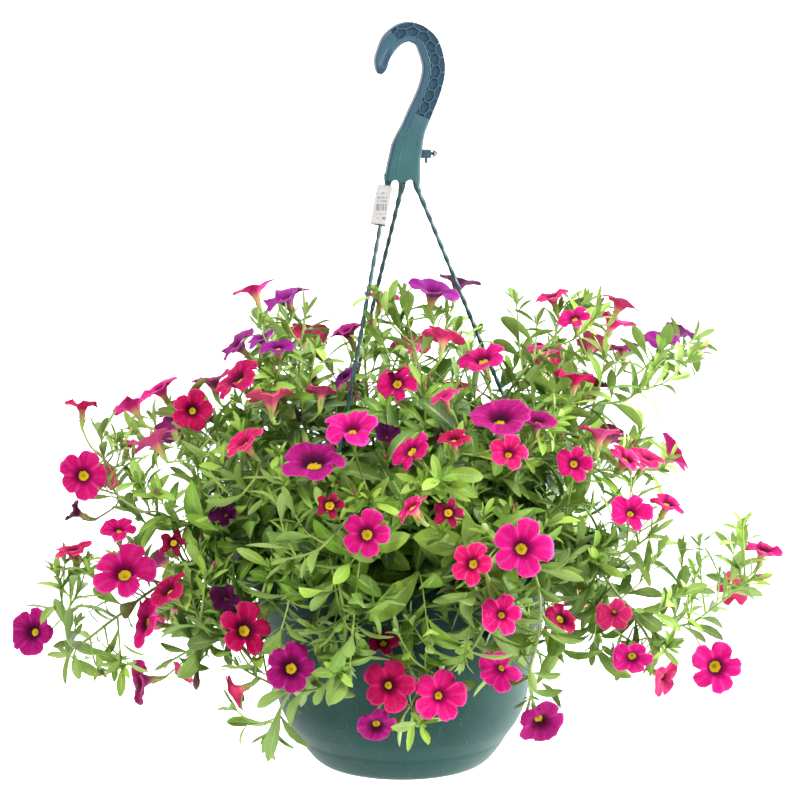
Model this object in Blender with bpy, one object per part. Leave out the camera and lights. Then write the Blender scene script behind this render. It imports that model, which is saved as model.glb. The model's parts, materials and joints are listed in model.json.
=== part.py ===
"""A flowering hanging basket: pot, hanger, soil, leafy trailing stems and trumpet blooms.

Metres, +Z up. The origin is the centre of the pot's flat base. -Y is the front.
"""

import math
import random
from dataclasses import dataclass, field

import bmesh
import bpy
from mathutils import Matrix, Quaternion, Vector
from mathutils.bvhtree import BVHTree

MM = 0.001
CLEARANCE = 0.0003
UP = Vector((0.0, 0.0, 1.0))

# Pot: a turned plastic vessel with a wide turned-out lip.
POT_OUTSIDE = (
    (0.064, 0.000), (0.069, 0.0025), (0.0795, 0.0175), (0.0805, 0.0195), (0.0800, 0.0210), (0.091, 0.034),
    (0.096, 0.047), (0.099, 0.066), (0.105, 0.090), (0.109, 0.112), (0.113, 0.146), (0.127, 0.148),
)
LIP_RADIUS = 0.128
RIM_HEIGHT = 0.162
LIP_INSIDE = ((0.1256, 0.1620), (0.1250, 0.1508), (0.1106, 0.1492))
POT_INSIDE = ((0.1027, 0.090), (0.0967, 0.066), (0.0937, 0.047), (0.066, 0.004))
POT_SIDES = 24

SOIL_TOP = 0.146
SOIL_SIDE = ((0.0648, 0.0043), (0.0925, 0.0480), (0.0952, 0.0660), (0.1087, SOIL_TOP))
SOIL_SIDES = 16
SOIL_RELIEF = 0.0015
SOIL_INNER_RADIUS = 0.070
HOLE_DEPTH = 0.018
HOLE_RADIUS = 0.0032
ROOT_DEPTH = 0.016

# Hanger: a moulded hook whose plate carries three strands down to the rim.
HOOK_YAW = math.radians(12.0)
HOOK_THICKNESS = 0.012
HOOK_CHAMFER = 0.0032
HOOK_LINE = (
    # across, height, width of the limb
    (-0.0170, 0.5265, 0.003), (-0.0160, 0.5330, 0.0085), (-0.0150, 0.5390, 0.0110), (-0.0080, 0.5515, 0.0140),
    (0.0033, 0.5575, 0.0150), (0.0142, 0.5540, 0.0152), (0.0203, 0.5458, 0.0172), (0.0240, 0.5303, 0.0170),
    (0.0203, 0.5133, 0.0170), (0.0100, 0.4893, 0.0180), (0.0030, 0.4690, 0.0235), (0.0, 0.4460, 0.0270),
)
HOOK_STEP = 0.012
CELL_RADIUS = 0.0052
CELL_DEPTH = 0.001
CELL_OVERSHOOT = 0.002
CELL_TURN = 20.0
CELL_CENTRES = (
    # across, height
    (-0.0090, 0.5505), (0.0030, 0.5580), (0.0148, 0.5535), (0.0208, 0.5430), (0.0242, 0.5310),
    (0.0222, 0.5190), (0.0165, 0.5070), (0.0112, 0.4945),
)
LOCK_BLOCK = ((0.008, 0.4635), (0.0220, 0.4635), (0.0220, 0.4700), (0.008, 0.4700))
LOCK_DEPTH = 0.0035
ARROW_HEIGHT = 0.4668
ARROW = ((0.020, 0.0011), (0.0242, 0.0011), (0.0244, 0.0030), (0.0276, 0.0006))
CATCH_ACROSS = 0.0185
CATCH = ((0.4650, 0.0012), (0.4600, 0.0010))
STRAND_RADIUS = 0.0016
STRAND_ROOTS = {"right": 0.0112, "back_left": 0.0, "front_left": -0.0112}
STRAND_AZIMUTHS = {"right": 0.0, "back_left": 120.0, "front_left": 240.0}
STRAND_BENDS = {
    # share of the way down, swelling away from the straight line
    "right": ((0.25, 0.000), (0.55, 0.001), (0.76, 0.006)), "back_left": ((0.5, 0.002),),
    "front_left": ((0.5, 0.0),),
}
STRAND_TOP = 0.4440
STRAND_FOOT = (0.1245, 0.1636)
STRAND_LEAD = 0.0015
STRAND_STEP = 0.022
BOSS_RADIUS = 0.0030
BOSS_HEIGHT = 0.008
CLIP_WIDTH = 0.008
CLIP_LENGTH = 0.010
CLIP_WALL = 0.0026
CLIP_TOP = 0.0026

# Label: a folded paper sheet about the front left strand.
LABEL_LENGTH = 0.030
LABEL_SHEET = 0.0006
LABEL_INSIDE = STRAND_RADIUS + 0.0010
LABEL_FRONT_EDGE = -0.0070
LABEL_BACK_EDGE = -0.0078
LABEL_TURN = 0.0035

# Plant: sizes that every stem, stalk, bloom and leaf shares.

STEM_RADIUS = 0.0015
STALK_RADIUS = 0.0009
SHORT_STALK = 0.020
CALYX_LENGTH = 0.005
CALYX_RADIUS = 0.0026
TUBE_RADIUS = 0.0018
BLADE = 0.0011
WIDE_BLOOM = 0.039
LOBES = 5
LOBE_HALF_ANGLE = 0.36
NOTCH_ANGLE = math.pi / LOBES
THROAT_DEPTH = 0.30
NECK_DEPTH = 0.50
NECK_RADIUS = 0.17
WIDE_LOBE = ((-LOBE_HALF_ANGLE, 0.97, 0.02), (LOBE_HALF_ANGLE, 1.0, -0.02), (NOTCH_ANGLE, 0.80, 0.06))
SMALL_LOBE = ((0.0, 1.0, 0.0), (NOTCH_ANGLE, 0.72, 0.05))
PHYLLOTAXY = math.radians(137.5)
STEM_STEP = 0.027
NODE_HALF = 0.0013
MARGIN = 0.0006
BARE_RADIUS = 0.075
BARE_HEIGHT = 0.035
LEAF_LENGTH = 0.048
TIP_LEAF_LENGTH = 0.030
LEAF_ASPECT = 0.30
LONG_LEAF = 0.045
LEAF_LEAN = (0.85, 1.25)
LEAF_ARCH = (0.12, 0.34)
LEAF_TRIES = ((0.0, 1.0), (0.6, 1.0), (-0.6, 1.0), (1.2, 0.9), (-1.2, 0.9), (0.3, 0.7), (-0.3, 0.7))
SHORT_STATIONS = ((0.60, 0.48, 0.7),)
LONG_STATIONS = ((0.28, 0.22, 0.1), (0.68, 0.47, 0.7))
TUFT_BLADES = 3
TUFT_LEAN = (0.4, 0.85)
TUFT_LENGTH = (0.017, 0.024)
BEND_TRIES = 60
STALK_JOINTS = 12

GREEN = (0.13, 0.30, 0.05)
COLOURS = {
    "magenta": (0.76, 0.02, 0.30), "pink": (0.83, 0.08, 0.30), "crimson": (0.45, 0.01, 0.09),
    "purple": (0.30, 0.02, 0.20), "violet": (0.38, 0.06, 0.33), "dusty": (0.55, 0.16, 0.27),
    "star": (0.50, 0.02, 0.07), "dark": (0.10, 0.01, 0.06),
}


def mm(x, y, z):
    """Returns a point given in millimetres, in metres."""
    return Vector((x, y, z)) * MM


@dataclass(frozen=True)
class Bloom:
    """One trumpet: the centre of its face, the way it opens, its width and its colour."""

    at: tuple
    opens: tuple
    width: float
    colour: str
    node: str = ""


@dataclass(frozen=True)
class Spray:
    """One leafy stem from the soil, with its side stems and its blooms, in millimetres."""

    name: str
    root: tuple
    route: tuple
    sides: tuple = ()
    blooms: tuple = field(default_factory=tuple)


SPRAYS = (
    Spray("spray_far_left", (-70, -36),
          ((-112, -70, 172), (-160, -84, 150), (-211, -72, 126), (-240, -60, 113), (-253, -55, 133), (-258, -55, 158)),
          (),
          (Bloom((-281, -52, 108), (-0.5, -0.85, 0.1), 38, "purple", "bloom_far_left"),
           Bloom((-247, -47, 176), (-0.2, -0.1, 0.97), 33, "pink"))),
    Spray("spray_left", (-82, -18),
          ((-104, -30, 190), (-135, -48, 192), (-182, -46, 199), (-214, -35, 214), (-224, -30, 240), (-226, -28, 258)),
          (),
          (Bloom((-242, -48, 229), (-0.25, -0.95, 0.1), 38, "magenta", "bloom_left_eyed"),
           Bloom((-240, -24, 282), (0.0, 0.3, 0.95), 28, "crimson"),
           Bloom((-206, -10, 250), (0.3, 0.1, 0.9), 27, "magenta"),
           Bloom((-228, 2, 218), (0.2, 0.95, 0.1), 32, "pink"),
           Bloom((-252, -15, 192), (-0.97, -0.1, 0.1), 27, "dark"))),
    Spray("spray_left_up", (-62, -38),
          ((-84, -56, 206), (-110, -68, 240), (-142, -62, 262), (-161, -50, 278), (-168, -44, 292)),
          (),
          (Bloom((-185, -28, 294), (-0.6, -0.1, 0.75), 34, "magenta"),
           Bloom((-154, -66, 283), (0.1, -0.95, 0.25), 33, "crimson", "bloom_left_crimson"),
           Bloom((-172, -22, 262), (-0.2, 0.8, 0.3), 30, "purple"),
           Bloom((-184, -72, 264), (-0.55, 0.3, 0.75), 36, "dusty"))),
    Spray("spray_top_left", (-42, -22),
          ((-54, -38, 205), (-68, -50, 250), (-76, -54, 300), (-73, -47, 340), (-69, -40, 366)),
          (((-70, -52, 262), (-90, -58, 292), (-105, -52, 312), (-112, -44, 328)),),
          (Bloom((-91, -28, 361), (-0.6, -0.25, 0.75), 38, "violet", "bloom_top_left"),
           Bloom((-127, -22, 326), (-0.75, -0.1, 0.6), 34, "violet"),
           Bloom((-92, -62, 331), (-0.1, -0.3, 0.95), 28, "violet"),
           Bloom((-124, -64, 306), (-0.6, -0.45, 0.65), 42, "crimson", "bloom_left_fan"),
           Bloom((-98, -92, 299), (-0.25, 0.55, 0.8), 40, "dusty"),
           Bloom((-58, -76, 300), (0.1, 0.6, 0.7), 25, "dusty"))),
    Spray("spray_left_low", (-66, -56),
          ((-92, -92, 176), (-104, -112, 150), (-122, -112, 126), (-141, -101, 123), (-151, -96, 139),
           (-155, -95, 160)),
          (((-128, -108, 124), (-150, -92, 112), (-170, -78, 98)),),
          (Bloom((-203, -92, 166), (0.0, -0.78, 0.62), 50, "magenta", "bloom_left_broad"),
           Bloom((-172, -116, 159), (-0.55, -0.55, 0.62), 36, "crimson", "bloom_left_cup"),
           Bloom((-192, -84, 128), (-0.85, -0.45, 0.25), 40, "magenta", "bloom_left_side"),
           Bloom((-166, -84, 187), (0.0, -0.9, 0.4), 24, "star"),
           Bloom((-214, -48, 190), (-0.1, -0.5, 0.8), 30, "magenta"),
           Bloom((-163, -72, 84), (-0.6, -0.5, -0.5), 27, "dusty"),
           Bloom((-128, -118, 154), (0.0, -0.97, 0.2), 32, "dark"),
           Bloom((-198, -54, 71), (-0.8, -0.5, -0.15), 38, "purple", "bloom_left_hanging"))),
    Spray("spray_front_left", (-44, -70),
          ((-50, -108, 190), (-45, -150, 176), (-41, -152, 132), (-54, -137, 96), (-81, -126, 88), (-106, -120, 97),
           (-118, -116, 103)),
          (((-78, -128, 88), (-90, -120, 70), (-98, -112, 52)),),
          (Bloom((-112, -132, 136), (0.35, -0.75, 0.5), 44, "crimson", "bloom_front_left_crimson"),
           Bloom((-79, -146, 104), (0.0, -0.97, 0.1), 38, "purple", "bloom_front_left_eyed"),
           Bloom((-124, -108, 80), (-0.85, -0.1, -0.45), 32, "pink"))),
    Spray("spray_front_left_up", (-34, -48),
          ((-44, -78, 200), (-55, -112, 232), (-74, -128, 244), (-105, -116, 244), (-132, -96, 238)),
          (((-50, -96, 220), (-50, -128, 244), (-46, -148, 248)),),
          (Bloom((-117, -112, 269), (-0.65, -0.2, 0.7), 34, "pink"),
           Bloom((-131, -114, 214), (-0.4, -0.8, 0.3), 30, "dark"),
           Bloom((-61, -165, 263), (0.0, -0.6, 0.8), 50, "purple", "bloom_front_wide"),
           Bloom((-50, -194, 238), (0.0, -0.9, 0.4), 24, "star"))),
    Spray("spray_front", (-14, -66),
          ((-16, -104, 200), (-22, -136, 232), (-38, -164, 224), (-58, -172, 204), (-80, -168, 196)),
          (((-18, -118, 216), (-4, -142, 236), (6, -158, 244)),),
          (Bloom((-34, -146, 286), (0.0, -0.6, 0.8), 43, "magenta", "bloom_front_upper"),
           Bloom((-24, -196, 216), (-0.1, -0.97, 0.15), 37, "magenta", "bloom_front_centre"),
           Bloom((4, -188, 236), (-0.7, -0.3, 0.65), 30, "pink"),
           Bloom((-12, -104, 272), (0.0, -0.7, 0.6), 26, "dark"))),
    Spray("spray_front_low", (20, -76),
          ((34, -112, 192), (56, -148, 190), (63, -158, 160), (52, -147, 128), (36, -140, 109), (18, -134, 101),
           (4, -132, 98)),
          (((34, -140, 108), (16, -124, 90), (0, -120, 66)),),
          (Bloom((-10, -156, 96), (0.05, -0.98, 0.05), 40, "crimson", "bloom_front_low_left"),
           Bloom((-22, -130, 62), (-0.2, -0.85, -0.4), 32, "purple"),
           Bloom((28, -150, 86), (0.25, -0.95, 0.0), 40, "magenta", "bloom_front_low_right"),
           Bloom((-12, -140, 124), (0.0, -0.85, 0.5), 24, "crimson"))),
    Spray("spray_front_right", (48, -66),
          ((66, -100, 196), (84, -138, 196), (97, -150, 172), (98, -146, 136), (92, -132, 104), (94, -118, 80)),
          (((80, -130, 198), (72, -150, 206), (64, -156, 212)),),
          (Bloom((84, -194, 207), (0.05, -0.98, 0.2), 46, "magenta", "bloom_right_broad"),
           Bloom((50, -186, 192), (-0.3, -0.93, 0.1), 33, "pink", "bloom_front_pink"),
           Bloom((72, -176, 156), (0.1, -0.9, 0.35), 32, "pink"),
           Bloom((70, -148, 108), (-0.4, -0.85, -0.2), 36, "magenta", "bloom_front_right_side"),
           Bloom((118, -142, 142), (0.7, -0.6, 0.3), 28, "crimson"),
           Bloom((99, -106, 52), (0.1, -0.5, -0.85), 38, "purple", "bloom_right_hanging"),
           Bloom((34, -180, 230), (0.1, -0.95, 0.3), 24, "star"))),
    Spray("spray_right_low", (78, -38),
          ((104, -62, 186), (140, -84, 172), (165, -82, 142), (190, -72, 124), (214, -62, 121), (236, -50, 132),
           (254, -42, 144), (262, -44, 150)),
          (((176, -78, 132), (182, -82, 116), (186, -76, 100)),),
          (Bloom((278, -34, 170), (0.5, -0.3, 0.8), 33, "magenta", "bloom_far_right"),
           Bloom((256, -6, 134), (0.4, 0.6, -0.2), 30, "pink"),
           Bloom((234, -80, 92), (0.15, -0.97, 0.1), 43, "magenta", "bloom_right_low_eyed"),
           Bloom((152, -108, 140), (-0.3, -0.85, -0.3), 30, "dusty"),
           Bloom((170, -112, 108), (0.1, -0.9, -0.3), 32, "magenta"),
           Bloom((193, -76, 76), (0.5, -0.5, -0.7), 32, "dusty"))),
    Spray("spray_right", (64, -50),
          ((90, -74, 200), (118, -96, 198), (142, -100, 184), (164, -94, 184), (182, -86, 194)),
          (),
          (Bloom((164, -108, 212), (-0.1, -0.9, 0.4), 34, "magenta"),
           Bloom((200, -72, 212), (0.5, -0.5, 0.6), 30, "magenta"))),
    Spray("spray_right_up", (58, -22),
          ((78, -34, 210), (102, -46, 256), (131, -46, 284), (162, -30, 300), (188, -10, 312), (210, 6, 326),
           (222, 12, 334)),
          (((112, -47, 268), (132, -62, 264), (148, -64, 252)),),
          (Bloom((196, -14, 330), (0.1, -0.3, 0.95), 32, "violet"),
           Bloom((214, 32, 328), (0.4, 0.6, 0.6), 28, "violet"),
           Bloom((168, 22, 318), (-0.1, 0.4, 0.9), 30, "purple"),
           Bloom((144, -84, 273), (0.1, 0.25, 0.95), 34, "dusty"),
           Bloom((124, -112, 252), (0.0, -0.9, 0.3), 28, "magenta"),
           Bloom((170, -70, 246), (0.7, -0.3, 0.6), 34, "pink"))),
    Spray("spray_upper_right", (36, -16),
          ((46, -28, 210), (62, -40, 260), (82, -44, 298), (106, -36, 326), (129, -26, 350), (146, -20, 368)),
          (),
          (Bloom((112, -12, 362), (-0.3, -0.1, 0.9), 28, "pink"),
           Bloom((168, -10, 356), (0.6, 0.2, 0.75), 34, "pink"),
           Bloom((128, -54, 350), (-0.1, -0.6, 0.75), 26, "magenta"),
           Bloom((144, 6, 320), (0.2, 0.9, 0.3), 28, "dusty"))),
    Spray("spray_upper_right_low", (38, -44),
          ((50, -68, 214), (66, -86, 252), (88, -84, 278), (112, -70, 297), (130, -58, 312)),
          (),
          (Bloom((126, -78, 312), (0.1, 0.3, 0.95), 32, "crimson"),
           Bloom((148, -34, 298), (0.6, 0.3, 0.7), 28, "dark"),
           Bloom((98, -112, 286), (0.1, -0.2, 0.97), 30, "purple"))),
    Spray("spray_top", (8, -20),
          ((14, -30, 210), (18, -44, 260), (14, -44, 305), (4, -28, 345), (-1, -15, 380)),
          (((18, -42, 250), (36, -52, 280), (44, -54, 300)),),
          (Bloom((26, -26, 368), (0.3, -0.3, 0.9), 42, "violet", "bloom_top"),
           Bloom((30, -66, 340), (0.1, 0.6, 0.75), 34, "pink"),
           Bloom((56, -72, 322), (-0.4, -0.5, 0.75), 38, "magenta", "bloom_top_right"),
           Bloom((-4, -68, 305), (-0.2, -0.8, 0.5), 34, "magenta"))),
    Spray("spray_front_top", (14, -48),
          ((20, -78, 204), (28, -106, 240), (40, -116, 262), (58, -116, 272)),
          (((26, -98, 230), (24, -128, 246), (28, -140, 252)),),
          (Bloom((70, -122, 291), (0.0, -0.35, 0.93), 48, "purple", "bloom_right_wide"),
           Bloom((76, -158, 266), (0.1, -0.9, 0.4), 31, "pink", "bloom_right_pink_eyed"),
           Bloom((36, -156, 278), (-0.1, -0.6, 0.75), 26, "crimson"),
           Bloom((6, -146, 268), (-0.5, -0.6, 0.6), 34, "magenta"),
           Bloom((26, -112, 302), (-0.6, -0.2, 0.75), 26, "dusty"))),
    Spray("spray_top_behind", (-14, 4),
          ((-18, 6, 210), (-24, 4, 265), (-28, 2, 310), (-24, 4, 350)),
          (),
          (Bloom((-14, 2, 360), (0.3, -0.1, 0.95), 30, "crimson"),
           Bloom((-46, 2, 332), (-0.6, 0.0, 0.75), 32, "purple"),
           Bloom((-46, -8, 296), (-0.8, -0.3, 0.4), 26, "violet"))),
    Spray("spray_back_left_low", (-66, 40),
          ((-98, 74, 180), (-138, 100, 160), (-168, 118, 120), (-182, 124, 84)),
          (),
          (Bloom((-198, 142, 74), (-0.6, 0.8, 0.1), 42, "magenta"),
           Bloom((-156, 140, 136), (-0.3, 0.9, 0.3), 44, "pink"),
           Bloom((-200, 100, 128), (-0.9, 0.3, 0.3), 38, "purple"))),
    Spray("spray_back_left", (-58, 14),
          ((-86, 36, 206), (-130, 64, 230), (-176, 84, 236), (-206, 94, 242)),
          (((-120, 58, 224), (-128, 40, 250), (-140, 26, 274)),),
          (Bloom((-220, 104, 256), (-0.7, 0.4, 0.6), 38, "magenta"),
           Bloom((-176, 112, 250), (-0.2, 0.8, 0.6), 40, "crimson"),
           Bloom((-150, 22, 292), (-0.5, 0.2, 0.85), 34, "purple"))),
    Spray("spray_back_left_up", (-34, 24),
          ((-50, 44, 220), (-74, 60, 275), (-96, 66, 318), (-106, 68, 342)),
          (),
          (Bloom((-118, 76, 356), (-0.4, 0.4, 0.85), 36, "magenta"),
           Bloom((-78, 92, 312), (-0.1, 0.9, 0.4), 40, "pink"),
           Bloom((-112, 40, 320), (-0.7, -0.2, 0.7), 30, "violet"))),
    Spray("spray_back_low", (-4, 82),
          ((-8, 118, 184), (-10, 156, 160), (-10, 170, 118), (-8, 172, 84)),
          (),
          (Bloom((-4, 192, 74), (0.0, 0.95, -0.2), 42, "crimson"),
           Bloom((-40, 180, 128), (-0.4, 0.9, 0.1), 38, "magenta"),
           Bloom((28, 182, 142), (0.3, 0.9, 0.2), 38, "pink"))),
    Spray("spray_back", (2, 50),
          ((6, 84, 206), (14, 128, 234), (20, 170, 236), (22, 196, 226)),
          (((10, 104, 220), (-16, 132, 240), (-36, 152, 244)),),
          (Bloom((26, 220, 224), (0.1, 0.9, 0.3), 44, "magenta"),
           Bloom((-48, 168, 256), (-0.3, 0.7, 0.6), 40, "purple"),
           Bloom((52, 160, 262), (0.4, 0.5, 0.75), 38, "magenta"))),
    Spray("spray_back_up", (12, 20),
          ((18, 34, 220), (26, 52, 280), (34, 62, 325), (38, 66, 350)),
          (),
          (Bloom((46, 74, 362), (0.3, 0.4, 0.85), 36, "violet"),
           Bloom((8, 96, 306), (-0.1, 0.8, 0.6), 38, "pink"))),
    Spray("spray_back_right_up", (42, 22),
          ((62, 42, 220), (92, 64, 262), (126, 78, 296), (154, 84, 314)),
          (),
          (Bloom((170, 92, 328), (0.5, 0.4, 0.75), 38, "magenta"),
           Bloom((116, 112, 292), (0.2, 0.9, 0.4), 40, "crimson"),
           Bloom((110, 50, 312), (-0.2, -0.2, 0.95), 32, "dusty"))),
    Spray("spray_back_right", (64, 34),
          ((94, 54, 200), (136, 84, 208), (176, 104, 204), (204, 112, 204)),
          (),
          (Bloom((222, 122, 212), (0.8, 0.5, 0.3), 42, "magenta"),
           Bloom((166, 130, 226), (0.2, 0.8, 0.6), 40, "purple"),
           Bloom((196, 66, 222), (0.5, -0.2, 0.85), 34, "pink"))),
    Spray("spray_back_right_low", (50, 62),
          ((76, 94, 186), (112, 128, 166), (134, 142, 124), (146, 148, 88)),
          (),
          (Bloom((155, 164, 78), (0.5, 0.8, 0.0), 40, "pink"),
           Bloom((118, 164, 138), (0.2, 0.95, 0.2), 42, "magenta"))),
)


@dataclass
class Shape:
    """Points and faces of one closed solid."""

    points: list
    faces: list

    def moved(self, matrix):
        """Returns this shape under a matrix."""
        return Shape([matrix @ point for point in self.points], self.faces)


def empty_scene():
    """Removes every object."""
    for item in list(bpy.data.objects):
        bpy.data.objects.remove(item, do_unlink=True)


def material(name, colour, roughness, metallic=0.0):
    """Returns a Principled material."""
    made = bpy.data.materials.new(name)
    made.use_nodes = True
    shader = made.node_tree.nodes["Principled BSDF"]
    shader.inputs["Base Color"].default_value = (*colour, 1.0)
    shader.inputs["Roughness"].default_value = roughness
    shader.inputs["Metallic"].default_value = metallic
    return made


def add_object(name, shape, finish=None):
    """Adds a mesh object made of one shape."""
    mesh = bpy.data.meshes.new(name)
    mesh.from_pydata([tuple(point) for point in shape.points], [], shape.faces)
    mesh.update()
    made = bpy.data.objects.new(name, mesh)
    bpy.context.scene.collection.objects.link(made)
    if finish:
        mesh.materials.append(finish)
    return made


def combine(name, shapes, finish, operation="UNION", first=None, solver="MANIFOLD"):
    """Joins shapes into one body, or cuts them from the first, and applies the Boolean."""
    body = add_object(name, first or shapes[0], finish)
    others = shapes if first else shapes[1:]
    if not others:
        return body
    group = bpy.data.collections.new(f"{name}_repeats")
    bpy.context.scene.collection.children.link(group)
    for index, shape in enumerate(others):
        piece = add_object(f"{name}_repeat_{index}", shape)
        bpy.context.scene.collection.objects.unlink(piece)
        group.objects.link(piece)
    joint = body.modifiers.new("joined", "BOOLEAN")
    joint.operation = operation
    joint.operand_type = "COLLECTION"
    joint.collection = group
    joint.solver = solver
    result = bpy.data.meshes.new_from_object(body.evaluated_get(bpy.context.evaluated_depsgraph_get()))
    keep_largest(result)
    body.modifiers.clear()
    body.data = result
    result.materials.clear()
    result.materials.append(finish)
    for piece in list(group.objects):
        bpy.data.objects.remove(piece, do_unlink=True)
    bpy.data.collections.remove(group)
    return body


def keep_largest(mesh):
    """Drops every loose scrap and fills every sealed hollow of a joined mesh."""
    work = bmesh.new()
    work.from_mesh(mesh)
    groups, seen = [], set()
    for vertex in work.verts:
        if vertex in seen:
            continue
        group, waiting = [], [vertex]
        seen.add(vertex)
        while waiting:
            current = waiting.pop()
            group.append(current)
            for edge in current.link_edges:
                other = edge.other_vert(current)
                if other not in seen:
                    seen.add(other)
                    waiting.append(other)
        groups.append(group)
    groups.sort(key=len)
    bmesh.ops.delete(work, geom=[vertex for group in groups[:-1] for vertex in group], context="VERTS")
    work.to_mesh(mesh)
    work.free()


def wall_faces(low, high, sides):
    """Returns the triangle pairs between two rings of points."""
    faces = []
    for side in range(sides):
        after = (side + 1) % sides
        faces.append((low + side, low + after, high + after))
        faces.append((low + side, high + after, high + side))
    return faces


def ring_faces(count, sides):
    """Returns the triangle pairs between rings of points, with a flat end at both sides."""
    last = (count - 1) * sides
    faces = [face for ring in range(count - 1) for face in wall_faces(ring * sides, (ring + 1) * sides, sides)]
    faces.append(tuple(reversed(range(sides))))
    faces.append(tuple(range(last, last + sides)))
    return faces


def turned(profile, sides=POT_SIDES):
    """Returns the solid made by turning a closed profile of (radius, height) about Z."""
    points = [point for radius, height in profile for point in ring_points(radius, height, sides)]
    return Shape(points, ring_faces(len(profile), sides))


def smooth_route(points, step):
    """Returns points about one step apart on a smooth curve through the given ones."""
    ends = [points[0] * 2.0 - points[1], *points, points[-1] * 2.0 - points[-2]]
    path = []
    for index in range(1, len(ends) - 2):
        before, start, stop, after = ends[index - 1:index + 3]
        pieces = max(1, round((stop - start).length / step))
        for part in range(pieces):
            t = part / pieces
            path.append(0.5 * (2.0 * start + (stop - before) * t
                               + (2.0 * before - 5.0 * start + 4.0 * stop - after) * t * t
                               + (3.0 * start - before - 3.0 * stop + after) * t * t * t))
    path.append(points[-1].copy())
    return path


def tangents(path):
    """Returns the direction of a path at each of its points."""
    last = len(path) - 1
    return [(path[min(i + 1, last)] - path[max(i - 1, 0)]).normalized() for i in range(len(path))]


def tube(path, radii, sides=3, across=None):
    """Returns a closed tube along a path, its first corner towards `across` where that is given."""
    ways = tangents(path)
    across = across or ways[0].orthogonal().normalized()
    points = []
    for index, (point, way) in enumerate(zip(path, ways)):
        across = (across - way * across.dot(way)).normalized()
        other = way.cross(across)
        for side in range(sides):
            angle = 2.0 * math.pi * side / sides
            points.append(point + (across * math.cos(angle) + other * math.sin(angle)) * radii[index])
    return Shape(points, ring_faces(len(path), sides))


def frame_along(way):
    """Returns the rotation whose Z is a direction and whose X is as near level as can be."""
    z = Vector(way).normalized()
    x = UP.cross(z)
    x = x.normalized() if x.length > 1e-4 else Vector((1.0, 0.0, 0.0))
    y = z.cross(x)
    return Matrix((x, y, z)).transposed().to_4x4()


def ring_points(radius, height, sides):
    """Returns evenly spaced points of a level circle."""
    angles = [2.0 * math.pi * side / sides for side in range(sides)]
    return [Vector((radius * math.cos(angle), radius * math.sin(angle), height)) for angle in angles]


def bloom_rim(radius, profile, turn=1.0):
    """Returns the points of a bloom's edge, lobe by lobe; a turn of -1 goes round the other way."""
    rim = []
    for lobe in range(LOBES):
        for offset, reach, lift in profile:
            angle = turn * (2.0 * math.pi * lobe / LOBES + offset)
            rim.append(Vector((math.cos(angle) * reach, math.sin(angle) * reach, lift)) * radius)
    return rim


def bloom_shape(width):
    """Returns a five-lobed trumpet that opens along +Z, its face at the origin."""
    radius = width / 2.0
    rim = bloom_rim(radius, WIDE_LOBE)
    points = [*rim, Vector((0.0, 0.0, -THROAT_DEPTH * radius))]
    points += ring_points(NECK_RADIUS * radius, -NECK_DEPTH * radius, LOBES)
    points += ring_points(TUBE_RADIUS, -bloom_length(width), LOBES)
    throat = len(rim)
    faces = [(i, (i + 1) % throat, throat) for i in range(throat)]
    neck_start = throat + 1
    base_start = neck_start + LOBES
    for lobe in range(LOBES):
        here = neck_start + lobe
        after = neck_start + (lobe + 1) % LOBES
        left, right, notch = 3 * lobe, 3 * lobe + 1, 3 * lobe + 2
        following = (3 * lobe + 3) % throat
        faces += [(right, left, here), (notch, right, here), (notch, here, after), (following, notch, after)]
        low, low_after = base_start + lobe, base_start + (lobe + 1) % LOBES
        faces += [(here, low, low_after), (here, low_after, after)]
    faces.append(tuple(range(base_start + LOBES - 1, base_start - 1, -1)))
    return Shape(points, faces)


def stalked_bloom(path, radii, matrix, width, sides=3):
    """Returns a trumpet in one solid with the stalk that carries it, for a path that ends at the tube's base."""
    radius = width / 2.0
    level = matrix.to_3x3() @ Vector((1.0, 0.0, 0.0))
    neck = matrix @ Vector((0.0, 0.0, -NECK_DEPTH * radius))
    stalk = tube([neck, *reversed(path)], [NECK_RADIUS * radius, *reversed(radii)], sides, level)
    profile = SMALL_LOBE if width < WIDE_BLOOM else WIDE_LOBE
    rim = [matrix @ point for point in bloom_rim(radius, profile, -1.0)]
    count = len(rim)
    throat = len(stalk.points) + count
    points = [*stalk.points, *rim, matrix @ Vector((0.0, 0.0, -THROAT_DEPTH * radius))]
    faces = [face for face in stalk.faces if face != tuple(reversed(range(sides)))]
    first = len(stalk.points)
    for index in range(count):
        here, after = first + index, first + (index + 1) % count
        corner, next_corner = round(index * sides / count) % sides, round((index + 1) * sides / count) % sides
        faces += [(after, here, throat), (here, after, corner)]
        if next_corner != corner:
            faces.append((corner, after, next_corner))
    return Shape(points, faces)


def bloom_length(width):
    """Returns how far a bloom's tube reaches behind its face."""
    return 0.006 + 0.30 * width


def leaf_shape(length, width, arch):
    """Returns a narrow blade along +Z whose upper face looks to +X, rooted at the origin."""
    stations = LONG_STATIONS if length > LONG_LEAF else SHORT_STATIONS
    points = [Vector((0.0, 0.0, 0.0))]
    for share, half, bend in stations:
        x = -arch * length * bend * share
        z = share * length
        keel = x - BLADE
        points += [Vector((x, -half * width, z)), Vector((x, half * width, z)), Vector((keel, 0.0, z))]
    points.append(Vector((-arch * length * 1.15, 0.0, length)))
    last = len(points) - 1
    faces = [(0, 2, 1), (0, 1, 3), (0, 3, 2)]
    for row in range(len(stations) - 1):
        left, right, keel = 1 + 3 * row, 2 + 3 * row, 3 + 3 * row
        next_left, next_right, next_keel = left + 3, right + 3, keel + 3
        faces += [(left, right, next_right), (left, next_right, next_left),
                  (keel, left, next_left), (keel, next_left, next_keel),
                  (right, keel, next_keel), (right, next_keel, next_right)]
    left, right, keel = last - 3, last - 2, last - 1
    faces += [(left, right, last), (keel, left, last), (right, keel, last)]
    return Shape(points, faces)


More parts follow.
